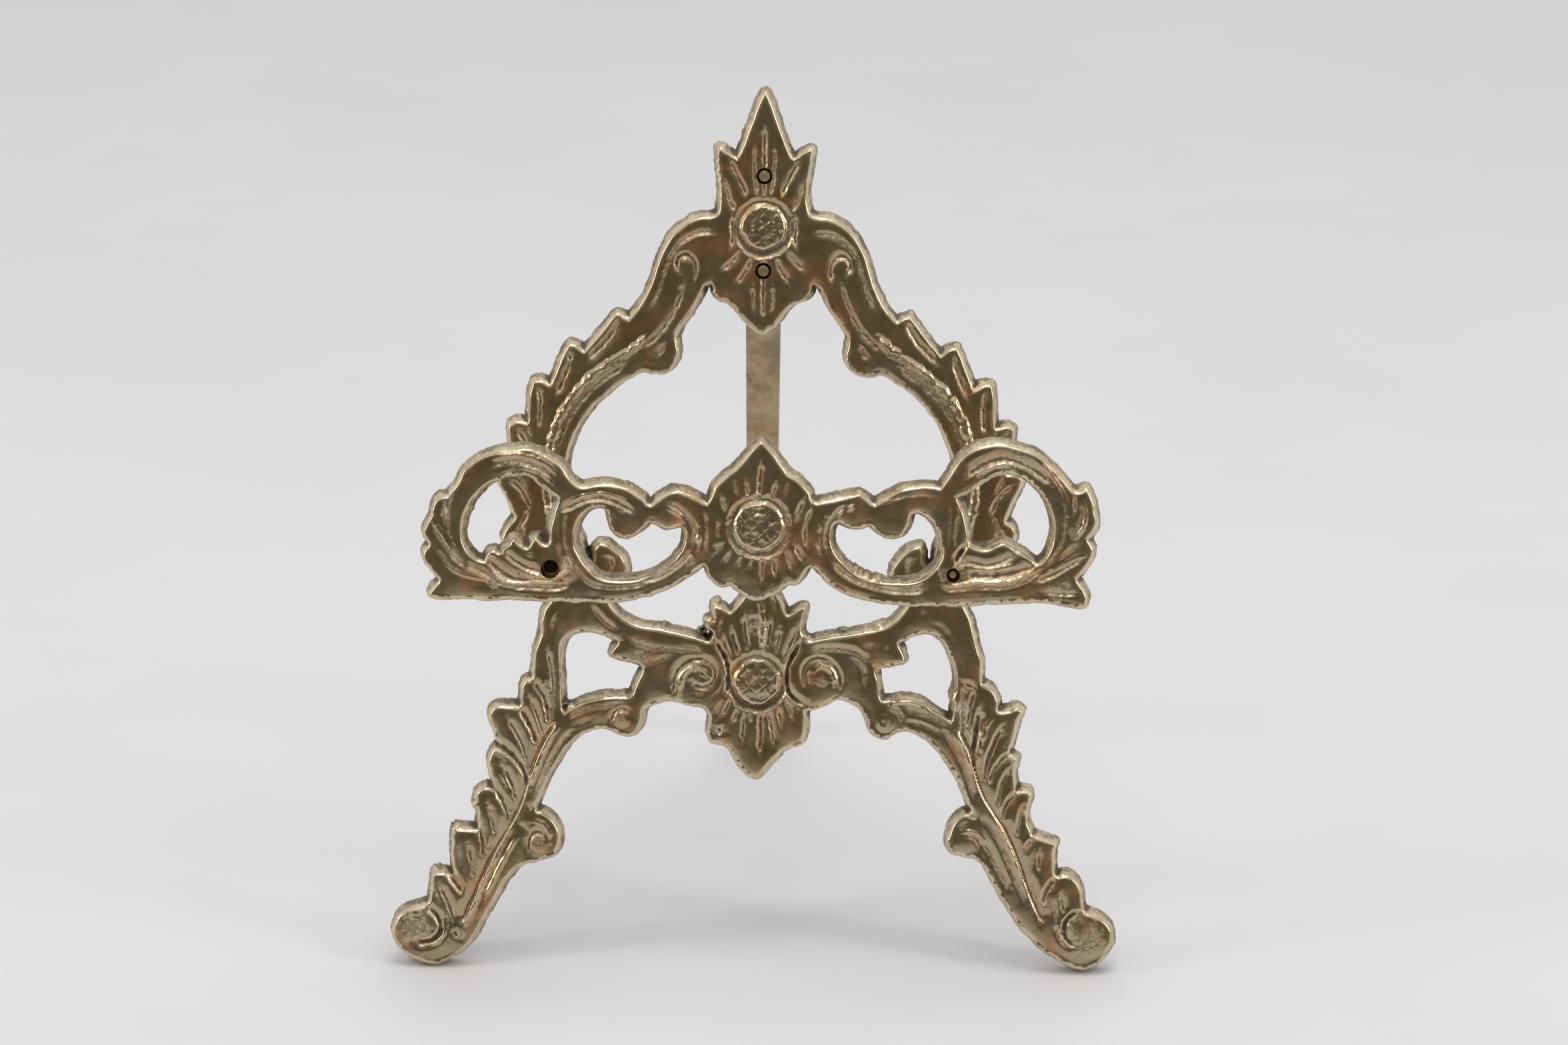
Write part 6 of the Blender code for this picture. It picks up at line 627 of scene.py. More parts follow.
def segment_distance(px, py, a, b):
    """Distances of every point to every segment, and the place along each."""
    dx, dy = b[:, 0] - a[:, 0], b[:, 1] - a[:, 1]
    ll = dx * dx + dy * dy + 1e-12
    qx, qy = px[:, None] - a[None, :, 0], py[:, None] - a[None, :, 1]
    t = np.clip((qx * dx + qy * dy) / ll, 0, 1)
    ex, ey = qx - t * dx, qy - t * dy
    return np.sqrt(ex * ex + ey * ey), t, dx[None] * qy - dy[None] * qx


class Field:
    """Values on a square grid over the plane of a casting."""

    def __init__(self, loops, cell, margin):
        every = np.vstack(loops)
        self.cell = cell
        self.lo = every.min(0) - margin
        size = every.max(0) + margin - self.lo
        self.nx, self.ny = (int(x) for x in np.ceil(size / cell)[:2] + 1)
        self.u = self.lo[0] + np.arange(self.nx) * cell
        self.v = self.lo[1] + np.arange(self.ny) * cell
        self.U, self.V = np.meshgrid(self.u, self.v)

    def signed(self, loops, reach):
        """Distance to the loops, positive inside the metal."""
        a = np.vstack(loops)
        b = np.vstack([np.roll(x, -1, 0) for x in loops])
        mid, half = (a + b) / 2, np.linalg.norm(b - a, axis=1) / 2
        dist = np.full((self.ny, self.nx), reach)
        tile = 16
        for j in range(0, self.ny, tile):
            for i in range(0, self.nx, tile):
                U, V = self.U[j:j + tile, i:i + tile], self.V[j:j + tile, i:i + tile]
                c = np.array([(U[0, 0] + U[0, -1]) / 2, (V[0, 0] + V[-1, 0]) / 2])
                near = np.hypot(mid[:, 0] - c[0], mid[:, 1] - c[1]) < reach + half + tile * self.cell * 0.75
                if near.any():
                    d = segment_distance(U.ravel(), V.ravel(), a[near], b[near])[0].min(1)
                    dist[j:j + tile, i:i + tile] = np.minimum(d, reach).reshape(U.shape)
        toggles = np.zeros((self.ny, self.nx + 1), np.int32)
        A, B = (a - self.lo) / self.cell, (b - self.lo) / self.cell
        for (x0, y0), (x1, y1) in zip(A, B):
            if y0 == y1:
                continue
            lo, hi = (y0, y1) if y0 < y1 else (y1, y0)
            for r in range(int(math.ceil(lo)), int(math.ceil(hi))):
                col = int(math.ceil(x0 + (r - y0) / (y1 - y0) * (x1 - x0)))
                toggles[r, min(max(col, 0), self.nx)] += 1
        inside = np.cumsum(toggles, 1)[:, :self.nx] % 2 == 1
        return np.where(inside, dist, -dist)

    def near(self, pts, reach):
        """The part of the grid within reach of the points."""
        lo = np.floor((pts.min(0) - reach - self.lo) / self.cell).astype(int)
        hi = np.ceil((pts.max(0) + reach - self.lo) / self.cell).astype(int) + 1
        lo = np.clip(lo, 0, [self.nx, self.ny])
        hi = np.clip(hi, 0, [self.nx, self.ny])
        return slice(lo[1], hi[1]), slice(lo[0], hi[0])

    def blur(self, x, sigma):
        """Gaussian blur, sigma in mm."""
        s = sigma / self.cell
        r = max(1, int(math.ceil(2.6 * s)))
        k = np.exp(-0.5 * (np.arange(-r, r + 1) / s) ** 2)
        k /= k.sum()
        for axis in (0, 1):
            pad = [(0, 0), (0, 0)]
            pad[axis] = (r, r)
            y = np.pad(x, pad, mode="edge")
            n = x.shape[axis]
            x = sum(kk * (y[i:i + n, :] if axis == 0 else y[:, i:i + n]) for i, kk in enumerate(k))
        return x

    def noise(self, size, seed, octaves=1):
        """Smooth random values, about -1 to 1, with features of the given size."""
        total, weight, amp = 0.0, 0.0, 1.0
        for o in range(octaves):
            rng = np.random.RandomState(seed * 101 + o)
            step = size / 2 ** o
            nx, ny = int(self.nx * self.cell / step) + 4, int(self.ny * self.cell / step) + 4
            table = rng.uniform(-1, 1, (ny, nx))
            x, y = (self.u - self.lo[0]) / step + 0.5, (self.v - self.lo[1]) / step + 0.5
            xi, yi = x.astype(int), y.astype(int)
            fx, fy = x - xi, y - yi
            fx, fy = fx * fx * (3 - 2 * fx), fy * fy * (3 - 2 * fy)
            row = table[:, xi] * (1 - fx) + table[:, xi + 1] * fx
            total = total + amp * (row[yi] * (1 - fy)[:, None] + row[yi + 1] * fy[:, None])
            weight += amp
            amp *= 0.55
        return total / weight


def smooth(x, a, b):
    t = np.clip((x - a) / (b - a), 0, 1)
    return t * t * (3 - 2 * t)


def raise_relief(F, strokes, discs, domes, beads):
    """Sums of what the strokes cut away and what they raise."""
    cut, rise, grit = (np.zeros((F.ny, F.nx)) for _ in range(3))
    for kind, pts, half, deep in strokes:
        q = curve(pts, step=0.25, corner=80)
        if kind == "e":
            reach = half
        else:
            reach = half * 3.7
        win = F.near(q, reach)
        U, V = F.U[win], F.V[win]
        if not U.size:
            continue
        seg = np.linalg.norm(np.diff(q, axis=0), axis=1)
        along = np.concatenate([[0], np.cumsum(seg)])
        d, t, side = segment_distance(U.ravel(), V.ravel(), q[:-1], q[1:])
        k = d.argmin(1)
        row = np.arange(len(k))
        d, s = d[row, k], along[k] + t[row, k] * seg[k]
        side = np.sign(side[row, k])
        total = along[-1]
        taper = 0.25 + 0.75 * smooth(np.minimum(s, total - s), 0, min(1.3, total * 0.4))
        b = beads[win].ravel()
        if kind == "e":
            fade = smooth(np.minimum(s, total - s), 0, 1.8)
            rate = np.where(side > 0, smooth(d, 0, 0.28) * np.clip(1 - d / half, 0, 1) ** 1.3, 0)
            change = deep * rate * fade
            if deep > 0:
                rise[win] = np.maximum(rise[win], change.reshape(U.shape))
            else:
                cut[win] = np.maximum(cut[win], -change.reshape(U.shape))
            continue
        width = half * (1 + 0.30 * b)
        core = np.clip(1 - (d / (1.05 * width)) ** 2, 0, 1) ** 1.4
        lap = half * np.where(side > 0, 2.9, 1.6)           # one lobe rides over the next
        wide = np.clip(1 - d / lap, 0, 1) ** 1.45
        if kind == "g":
            change = deep * taper * ((1 + 0.5 * b) * 0.20 * core + 0.46 * wide)
            line = taper * core * min(1.0, deep / 0.45)
            grit[win] = np.maximum(grit[win], line.reshape(U.shape))
            cut[win] = np.maximum(cut[win], change.reshape(U.shape))
        else:
            change = deep * taper * (1 + 0.3 * b) * np.clip(1 - (d / (width * 1.25)) ** 2, 0, 1) ** 1.2
            rise[win] = np.maximum(rise[win], change.reshape(U.shape))
    for u, v, r, up, ring in discs:
        d = np.hypot(F.U - u, F.V - v) + 0.12 * beads
        rise = np.maximum(rise, up * (0.55 * smooth(r - d, 0, 0.7) + 0.45 * np.clip(1 - (d / r) ** 2, 0, 1)))
        trench = np.clip(1 - (np.abs(d - r - 0.35) / 0.8) ** 1.5, 0, 1) * (0.7 + 0.3 * np.sin(np.arctan2(v - F.V, F.U - u)))
        cut = np.maximum(cut, ring * trench)
        grit = np.maximum(grit, 0.9 * smooth(trench, 0.35, 0.8))
    for u, v, r, up in domes:
        d = np.hypot(F.U - u, F.V - v)
        rise = np.maximum(rise, up * np.clip(1 - (d / r) ** 2, 0, 1) ** 0.8)
    return cut, rise, grit


def triangulate(F, f, snap=0.32):
    """Marching squares on f > 0. Returns points (u, v) and triangles."""
    ny, nx = f.shape
    gy, gx = np.gradient(f, F.cell)
    g2 = gx * gx + gy * gy + 1e-9
    move = np.abs(f) / np.sqrt(g2) < snap * F.cell
    U = F.U - np.where(move, f * gx / g2, 0)
    V = F.V - np.where(move, f * gy / g2, 0)
    f = np.where(move, 0.0, f)
    pts = [np.stack([U.ravel(), V.ravel()], 1)]
    count = ny * nx
    index = np.arange(count).reshape(ny, nx)

    def crossings(f0, f1, i0, i1):
        nonlocal count
        out = np.full(f0.shape, -1)
        out = np.where((f0 == 0) & (f1 < 0), i0, out)
        out = np.where((f1 == 0) & (f0 < 0), i1, out)
        real = ((f0 > 0) & (f1 < 0)) | ((f0 < 0) & (f1 > 0))
        a, b = i0[real], i1[real]
        t = (f0[real] / (f0[real] - f1[real]))[:, None]
        flat = pts[0]
        pts.append(flat[a] * (1 - t) + flat[b] * t)
        out[real] = count + np.arange(len(a))
        count += len(a)
        return out

    H = crossings(f[:, :-1], f[:, 1:], index[:, :-1], index[:, 1:])      # along u
    W = crossings(f[:-1, :], f[1:, :], index[:-1, :], index[1:, :])      # along v
    a, b, c, d = (f[:-1, :-1] >= 0), (f[:-1, 1:] >= 0), (f[1:, 1:] >= 0), (f[1:, :-1] >= 0)
    code = a * 1 + b * 2 + c * 4 + d * 8
    corner = {"a": index[:-1, :-1], "b": index[:-1, 1:], "c": index[1:, 1:], "d": index[1:, :-1],
              "s": H[:-1, :], "n": H[1:, :], "w": W[:, :-1], "e": W[:, 1:]}
    cases = {1: ["asw"], 2: ["bes"], 4: ["cne"], 8: ["dwn"],
             3: ["abe", "aew"], 6: ["bcn", "bns"], 12: ["cdw", "cwe"], 9: ["das", "dsn"],
             5: ["asw", "cne"], 10: ["bes", "dwn"],
             7: ["abc", "acn", "anw"], 14: ["bcd", "bdw", "bws"], 13: ["cda", "cas", "cse"], 11: ["dab", "dbe", "den"]}
    tris = []
    for key, names in cases.items():
        at = code == key
        if at.any():
            for name in names:
                tris.append(np.stack([corner[ch][at] for ch in name], 1))
    full = code == 15
    h = F.U + F.V
    tris.append(np.stack([corner[ch][full] for ch in "abc"], 1))
    tris.append(np.stack([corner[ch][full] for ch in "acd"], 1))
    tris = np.vstack(tris)
    pts = np.vstack(pts)
    tris = tris[(tris >= 0).all(1)]
    good = (tris[:, 0] != tris[:, 1]) & (tris[:, 1] != tris[:, 2]) & (tris[:, 2] != tris[:, 0])
    tris = tris[good]
    p = pts[tris]
    area = ((p[:, 1, 0] - p[:, 0, 0]) * (p[:, 2, 1] - p[:, 0, 1]) - (p[:, 1, 1] - p[:, 0, 1]) * (p[:, 2, 0] - p[:, 0, 0]))
    tris = tris[area > 1e-7]
    used, inverse = np.unique(tris, return_inverse=True)
    return pts[used], inverse.reshape(-1, 3)


def rims(tris):
    """Closed rings of the edges that only one triangle has, metal on the left."""
    e = np.vstack([tris[:, [0, 1]], tris[:, [1, 2]], tris[:, [2, 0]]])
    n = int(tris.max()) + 1
    key = np.minimum(e[:, 0], e[:, 1]).astype(np.int64) * n + np.maximum(e[:, 0], e[:, 1])
    _, first, times = np.unique(key, return_index=True, return_counts=True)
    edge = e[first[times == 1]]
    follow = {}
    for a, b in edge.tolist():
        follow.setdefault(a, []).append(b)
    rings = []
    while follow:
        start = next(iter(follow))
        ring, here = [], start
        while here in follow:
            ring.append(here)
            nxt = follow[here].pop()
            if not follow[here]:
                del follow[here]
            here = nxt
            if here == start:
                break
        rings.append(ring)
    return rings


def inside_rings(p, rings):
    """Which points lie inside, by the number of ring edges to one side."""
    a = np.vstack(rings)
    b = np.vstack([np.roll(r, -1, 0) for r in rings])
    out = np.zeros(len(p), bool)
    for i in range(0, len(p), 400):
        q = p[i:i + 400]
        y0, y1 = a[None, :, 1], b[None, :, 1]
        y = q[:, 1:2]
        cross = (y0 > y) != (y1 > y)
        x = a[None, :, 0] + (y - y0) / np.where(y1 == y0, 1, y1 - y0) * (b[None, :, 0] - a[None, :, 0])
        out[i:i + 400] = (cross & (q[:, 0:1] < x)).sum(1) % 2 == 1
    return out


def make_mesh(name, verts, tris, attributes, material):
    mesh = bpy.data.meshes.new(name)
    mesh.vertices.add(len(verts))
    mesh.vertices.foreach_set("co", np.ascontiguousarray(verts, np.float32).ravel())
    mesh.loops.add(len(tris) * 3)
    mesh.loops.foreach_set("vertex_index", np.ascontiguousarray(tris, np.int32).ravel())
    mesh.polygons.add(len(tris))
    mesh.polygons.foreach_set("loop_start", np.arange(0, len(tris) * 3, 3, dtype=np.int32))
    mesh.update(calc_edges=True)
    mesh.validate()
    for key, values in attributes.items():
        layer = mesh.attributes.new(key, "FLOAT", "POINT")
        layer.data.foreach_set("value", np.ascontiguousarray(values, np.float32))
    mesh.polygons.foreach_set("use_smooth", np.ones(len(mesh.polygons), bool))
    mesh.set_sharp_from_angle(angle=math.radians(62))
    obj = bpy.data.objects.new(name, mesh)
    bpy.context.scene.collection.objects.link(obj)
    obj.data.materials.append(material)
    return obj


HEIGHTS = ([-0.62, -0.54, -0.46, -0.38, -0.31, -0.24, -0.17, -0.1, -0.02, 0.12],
           [1.5, 1.02, 0.68, 0.43, 0.26, 0.145, 0.075, 0.035, 0.012, 0.0])


def casting(name, loops, thick, face_w, cell, strokes, discs, domes, burrs, bores, grounds, patches, material, seed, crown=0.13):
    """A flat casting with a modelled front, rough drafted walls and a plain back."""
    loops = [curve(x, closed=True, step=0.3) for x in loops]
    F = Field(loops, cell, WIDE + 3 * cell)
    s = F.signed(loops, 3.4)
    rough = F.noise(2.2, seed, 3)
    fine = F.noise(0.7, seed + 1, 2)
    tiny = F.noise(0.32, seed + 2, 2)
    beads = np.clip(1.6 * F.noise(0.9, seed + 3, 2), -1, 1)
    out = smooth(-s, 0.1, 0.75)
    s = s + 0.03 * rough + (0.13 * rough + 0.10 * fine + 0.05 * tiny) * out
    for u, v, r in burrs:
        win = F.near(np.array([[u, v]]), r + 0.8)
        d = np.hypot(F.U[win] - u, F.V[win] - v)
        lump = 0.95 * r * np.clip(1 - (d / (r + 0.5)) ** 2, 0, 1) * (0.75 + 0.6 * fine[win] + 0.5 * tiny[win])
        s[win] = s[win] + lump * smooth(-s[win], 0.15, 0.9)
    inner = F.blur(np.clip(s, 0, 3.4), 0.55)
    # the polished face runs further out on the lower left of every edge
    gv, gu = np.gradient(F.blur(s, 0.3), cell)
    norm = np.hypot(gu, gv) + 1e-9
    reach = 0.38 * smooth((0.35 * gu + 0.94 * gv) / norm, 0.1, 0.85) * (1 + 0.25 * rough)
    reach = np.clip(F.blur(reach, 0.25), 0, 0.39)
    down = np.interp(s + reach, *HEIGHTS)
    body = thick - down
    foot = -0.62 - reach
    part = np.clip((s + WIDE) / (foot + WIDE), 0, 1)
    low = np.interp(part, [0, 0.12, 0.30, 0.53, 0.77, 1.0], [0, 0.16, 0.40, 0.64, 0.84, 1.0]) * (thick - 1.5)
    h = np.where(s < foot, low, body)
    h = F.blur(h, 0.09)
    on = smooth(s, -0.35, 0.35)
    h = h + crown * (1 - np.exp(-inner / 1.3)) * on
    cut, rise, grit = raise_relief(F, strokes, discs, domes, beads)
    for u, v, r in grounds:                         # irregular seed texture on the flower centres
        d = np.hypot(F.U - u, F.V - v)
        mask = smooth(r - d, 0, 0.5)
        seeds = F.noise(1.15, seed + 7, 2)
        one = np.abs(np.sin(((F.U - u) * 0.78 + (F.V - v) * 0.62) * 2.25 + 0.5 * rough))
        two = np.abs(np.sin(((F.U - u) * 0.70 - (F.V - v) * 0.76) * 2.05 + 0.5 * fine + 0.6))
        lumps = 0.06 * np.minimum(smooth(one, 0.0, 0.55), smooth(two, 0.0, 0.55)) - 0.05 + 0.045 * seeds
        rise = rise + mask * np.clip(lumps, -0.3, 0.4)
        cut = np.maximum(cut, mask * 0.07 * smooth(-seeds, 0.1, 0.6))
    for u, v, r, amount in patches:                 # places the polishing missed
        d = np.hypot(F.U - u, F.V - v) / r + 0.5 * rough + 0.25 * fine
        grit = np.maximum(grit, amount * smooth(-d, -1.1, -0.55))
    cut, rise = F.blur(cut, 0.06), F.blur(rise, 0.07)
    keep = smooth(s, -0.75, -0.1)                   # relief runs out over the fillet
    h = h + (rise - cut) * keep
    wavy = F.noise(5.5, seed + 4, 2)
    sand = F.noise(0.42, seed + 5, 2)
    h = h + on * (0.075 * wavy + 0.012 * rough + 0.003 * fine + 0.085 * grit * (sand + 0.4 * tiny))
    h = h + smooth(-s, 0.2, 0.5) * smooth(s, -1.05, -0.85) * (0.09 * fine + 0.17 * sand)
    h = np.maximum(h, 0.22 * smooth(s, -1.05, -0.98))

    wide = F.blur(h, 0.42)
    wide2 = F.blur(h, 1.1)
    # cav darkens the hollows and the bottoms of the cuts in the material: partly patina, partly painted shade
    cav = np.clip((wide - h) / 0.16, -1, 1) * smooth(s, -0.5, 0.0) * 0.4 + np.clip((cut - 0.15) / 0.7, 0, 1.2) * 0.55 * keep
    cav = cav + 0.25 * np.clip((wide2 - h) / 0.35, -1, 1) * smooth(s, 0.2, 1.0)
    # darker where the outline folds inwards, between the leaves: painted shade in these creases, partly also grime
    notch_shade = smooth(F.blur(s, 1.1) - s, 0.14, 0.42) * smooth(-s, 0.1, 0.45)
    cav = cav + 0.7 * notch_shade * np.clip(0.8 + 0.5 * rough, 0, 1.3)
    # edge marks the convex parts; the material lightens them there: partly wear, partly a painted highlight
    edge = np.clip((h - wide) / 0.2, 0, 1)
    wall = smooth(-(s + reach) + 0.06 * sand, 0.26, 0.5)

    f = s + WIDE
    for u, v, r in bores:
        f = np.minimum(f, np.hypot(F.U - u, F.V - v) - r)
    pts, tris = triangulate(F, f)

    def sample(x):
        gx, gy = (pts[:, 0] - F.lo[0]) / cell, (pts[:, 1] - F.lo[1]) / cell
        xi, yi = np.clip(gx.astype(int), 0, F.nx - 2), np.clip(gy.astype(int), 0, F.ny - 2)
        fx, fy = gx - xi, gy - yi
        return ((x[yi, xi] * (1 - fx) + x[yi, xi + 1] * fx) * (1 - fy)
                + (x[yi + 1, xi] * (1 - fx) + x[yi + 1, xi + 1] * fx) * fy)

    top = sample(h)
    attributes = {"cav": sample(cav), "edge": sample(edge), "wall": sample(wall), "grit": sample(grit * keep)}
    verts = [np.column_stack([pts, top])]
    faces = [tris]
    flat_rings, count, extra = [], len(pts), []
    for ring in rims(tris):
        ring = np.array(ring)
        mine = None
        for u, v, r in bores:
            if np.abs(np.hypot(pts[ring, 0] - u, pts[ring, 1] - v) - r).max() < 0.35:
                mine = (u, v, r)
        if mine is None:
            verts[0][ring, 2] = 0.0
            flat_rings.append(ring)
            continue
        n = len(ring)
        low = np.arange(count, count + n)
        verts.append(np.column_stack([pts[ring], np.zeros(n)]))
        # the back ring of each bore gets full cav, which paints shade down inside the bore
        for key in attributes:
            extra.append((key, attributes[key][ring] if key != "cav" else np.full(n, 1.0)))
        count += n
        nxt = np.roll(np.arange(n), -1)
        faces.append(np.stack([ring[nxt], ring, low], 1))
        faces.append(np.stack([ring[nxt], low, low[nxt]], 1))
        flat_rings.append(low)
    for key, values in extra:
        attributes[key] = np.concatenate([attributes[key], values])
    every = np.vstack(verts)

    # plain back
    ring_points, edges, owner = [], [], []
    for ring in flat_rings:
        base = len(owner)
        owner += ring.tolist()
        n = len(ring)
        edges += [(base + i, base + (i + 1) % n) for i in range(n)]
    outline = every[owner][:, :2]
    back_step = 0.9
    bu, bv = np.meshgrid(np.arange(F.u[0], F.u[-1], back_step), np.arange(F.v[0], F.v[-1], back_step))
    bu = bu + np.where(np.arange(bu.shape[0])[:, None] % 2, back_step / 2, 0)
    cand = np.column_stack([bu.ravel(), bv.ravel()])
    gi = np.clip(np.round((cand - F.lo) / cell).astype(int), 0, [F.nx - 1, F.ny - 1])
    cand = cand[f[gi[:, 1], gi[:, 0]] > 0.5]
    co = [Vector((float(x), float(y))) for x, y in np.vstack([outline, cand])]
    res = delaunay_2d_cdt(co, edges, [], 0, 1e-7, True)
    rp = np.array([[x, y] for x, y in res[0]])
    rt = np.array(res[2])
    rings_xy = [every[r][:, :2] for r in flat_rings]
    rt = rt[inside_rings(rp[rt].mean(1), rings_xy)]
    n_out = len(owner)
    lookup = np.full(len(rp), -1)
    new_points = []
    for i, orig in enumerate(res[3]):
        mine = [o for o in orig if o < n_out]
        if mine:
            lookup[i] = owner[mine[0]]
    rng = np.random.RandomState(seed + 50)
    for i in range(len(rp)):
        if lookup[i] < 0:
            lookup[i] = count + len(new_points)
            new_points.append((rp[i, 0], rp[i, 1], rng.uniform(-0.012, 0.02)))
    back = lookup[rt]
    p = rp[rt]
    area = ((p[:, 1, 0] - p[:, 0, 0]) * (p[:, 2, 1] - p[:, 0, 1]) - (p[:, 1, 1] - p[:, 0, 1]) * (p[:, 2, 0] - p[:, 0, 0]))
    back = np.where((area > 0)[:, None], back[:, ::-1], back)
    every = np.vstack([every, np.array(new_points)])
    for key in attributes:
        fill = 1.0 if key == "wall" else 0.0
        attributes[key] = np.concatenate([attributes[key], np.full(len(new_points), fill)])
    faces = np.vstack(faces + [back])
    world = place(every[:, 0], every[:, 1], every[:, 2] + face_w - thick)
    world[:, 2] = np.maximum(world[:, 2], 0.0)
    obj = make_mesh(name, world, faces, attributes, material)
    return obj, F, h


def turned(name, axis_point, along, profile, material, sides=48, end_material=None):
    """A lathe piece: profile of (distance along the axis, radius), open ends closed by r = 0."""
    along = Vector(along).normalized()
    side = along.cross(Vector((0.13, 0.31, 0.94))).normalized()
    up = along.cross(side)
    # a point given twice would make a ring of faces without area
    profile = [p for k, p in enumerate(profile) if k == 0 or math.dist(p, profile[k - 1]) > 1e-9]
    if math.dist(profile[0], profile[-1]) < 1e-9:
        profile.pop()
    verts, faces = [], []
    rings = []
    for d, r in profile:
        if r < 1e-6:
            rings.append([len(verts)])
            verts.append(Vector(axis_point) + along * d)
            continue
        ring = []
        for i in range(sides):
            a = 2 * math.pi * i / sides
            ring.append(len(verts))
            verts.append(Vector(axis_point) + along * d + (side * math.cos(a) + up * math.sin(a)) * r)
        rings.append(ring)
    for p, q in zip(rings, rings[1:]):
        for i in range(sides):
            j = (i + 1) % sides
            if len(p) == 1:
                faces.append((p[0], q[j], q[i]))
            elif len(q) == 1:
                faces.append((p[i], p[j], q[0]))
            else:
                faces.append((p[i], p[j], q[j], q[i]))
    if len(rings[0]) > 1 and len(rings[-1]) > 1:
        for i in range(sides):
            j = (i + 1) % sides
            faces.append((rings[-1][i], rings[-1][j], rings[0][j], rings[0][i]))
    mesh = bpy.data.meshes.new(name)
    mesh.from_pydata([tuple(v) for v in verts], [], faces)
    mesh.update()
    bm = bmesh.new()
    bm.from_mesh(mesh)
    bmesh.ops.recalc_face_normals(bm, faces=bm.faces)
    bm.to_mesh(mesh)
    bm.free()
    mesh.polygons.foreach_set("use_smooth", np.ones(len(mesh.polygons), bool))
    mesh.set_sharp_from_angle(angle=math.radians(38))
    obj = bpy.data.objects.new(name, mesh)
    bpy.context.scene.collection.objects.link(obj)
    obj.data.materials.append(material)
    if end_material:                                # the last quarter millimetre
        obj.data.materials.append(end_material)
        last = Vector(axis_point) + along * (profile[-1][0] - 0.0003)
        for face in mesh.polygons:
            if (face.center - last).dot(along) > 0:
                face.material_index = 1
    return obj


def rounded(points, radius, steps=3):
    """A (distance, radius) profile with its inner corners rounded."""
    out = [points[0]]
    for a, b, c in zip(points, points[1:], points[2:]):
        a, b, c = np.array(a), np.array(b), np.array(c)
        la, lc = np.linalg.norm(a - b), np.linalg.norm(c - b)
        r = min(radius, 0.45 * la, 0.45 * lc)
        p, q = b + (a - b) / la * r, b + (c - b) / lc * r
        for k in range(steps + 1):
            t = k / steps
            out.append(tuple((1 - t) ** 2 * p + 2 * t * (1 - t) * b + t * t * q))
    out.append(points[-1])
    return out


# ---------------------------------------------------------------- materials

class Nodes:
    """Short hand for building a node tree."""

    def __init__(self, tree):
        self.tree = tree
        tree.nodes.clear()

    def add(self, kind, **values):
        node = self.tree.nodes.new(kind)
        for key, value in values.items():
            setattr(node, key, value)
        return node

    def link(self, a, b):
        self.tree.links.new(a, b)

    def put(self, socket, value):
        if isinstance(value, bpy.types.NodeSocket):
            self.link(value, socket)
        else:
            socket.default_value = value

    def math(self, op, a, b=0.0, c=None, clamp=False):
        node = self.add("ShaderNodeMath", operation=op, use_clamp=clamp)
        self.put(node.inputs[0], a)
        self.put(node.inputs[1], b)
        if c is not None:
            self.put(node.inputs[2], c)
        return node.outputs[0]

    def remap(self, x, a, b, lo=0.0, hi=1.0, smooth=True):
        node = self.add("ShaderNodeMapRange", interpolation_type="SMOOTHSTEP" if smooth else "LINEAR")
        self.put(node.inputs["Value"], x)
        node.inputs["From Min"].default_value = a
        node.inputs["From Max"].default_value = b
        node.inputs["To Min"].default_value = lo
        node.inputs["To Max"].default_value = hi
        return node.outputs["Result"]

    def mix(self, t, a, b):
        node = self.add("ShaderNodeMix", data_type="RGBA")
        self.put(node.inputs[0], t)
        for i, x in ((6, a), (7, b)):
            self.put(node.inputs[i], x if isinstance(x, bpy.types.NodeSocket) else (*x, 1.0))
        return node.outputs[2]

    def noise(self, scale, detail=3.0, rough=0.55, vector=None, distort=0.0):
        node = self.add("ShaderNodeTexNoise")
        node.inputs["Scale"].default_value = scale
        node.inputs["Detail"].default_value = detail
        node.inputs["Roughness"].default_value = rough
        node.inputs["Distortion"].default_value = distort
        self.link(vector or self.coords(), node.inputs["Vector"])
        return node.outputs["Fac"]

    def coords(self, scale=None, rotation=None):
        if not hasattr(self, "_coord"):
            self._coord = self.add("ShaderNodeTexCoord").outputs["Object"]
        if scale is None:
            return self._coord
        node = self.add("ShaderNodeMapping")
        node.inputs["Scale"].default_value = scale
        if rotation:
            node.inputs["Rotation"].default_value = rotation
        self.link(self._coord, node.inputs["Vector"])
        return node.outputs[0]

    def attribute(self, name):
        return self.add("ShaderNodeAttribute", attribute_name=name).outputs["Fac"]


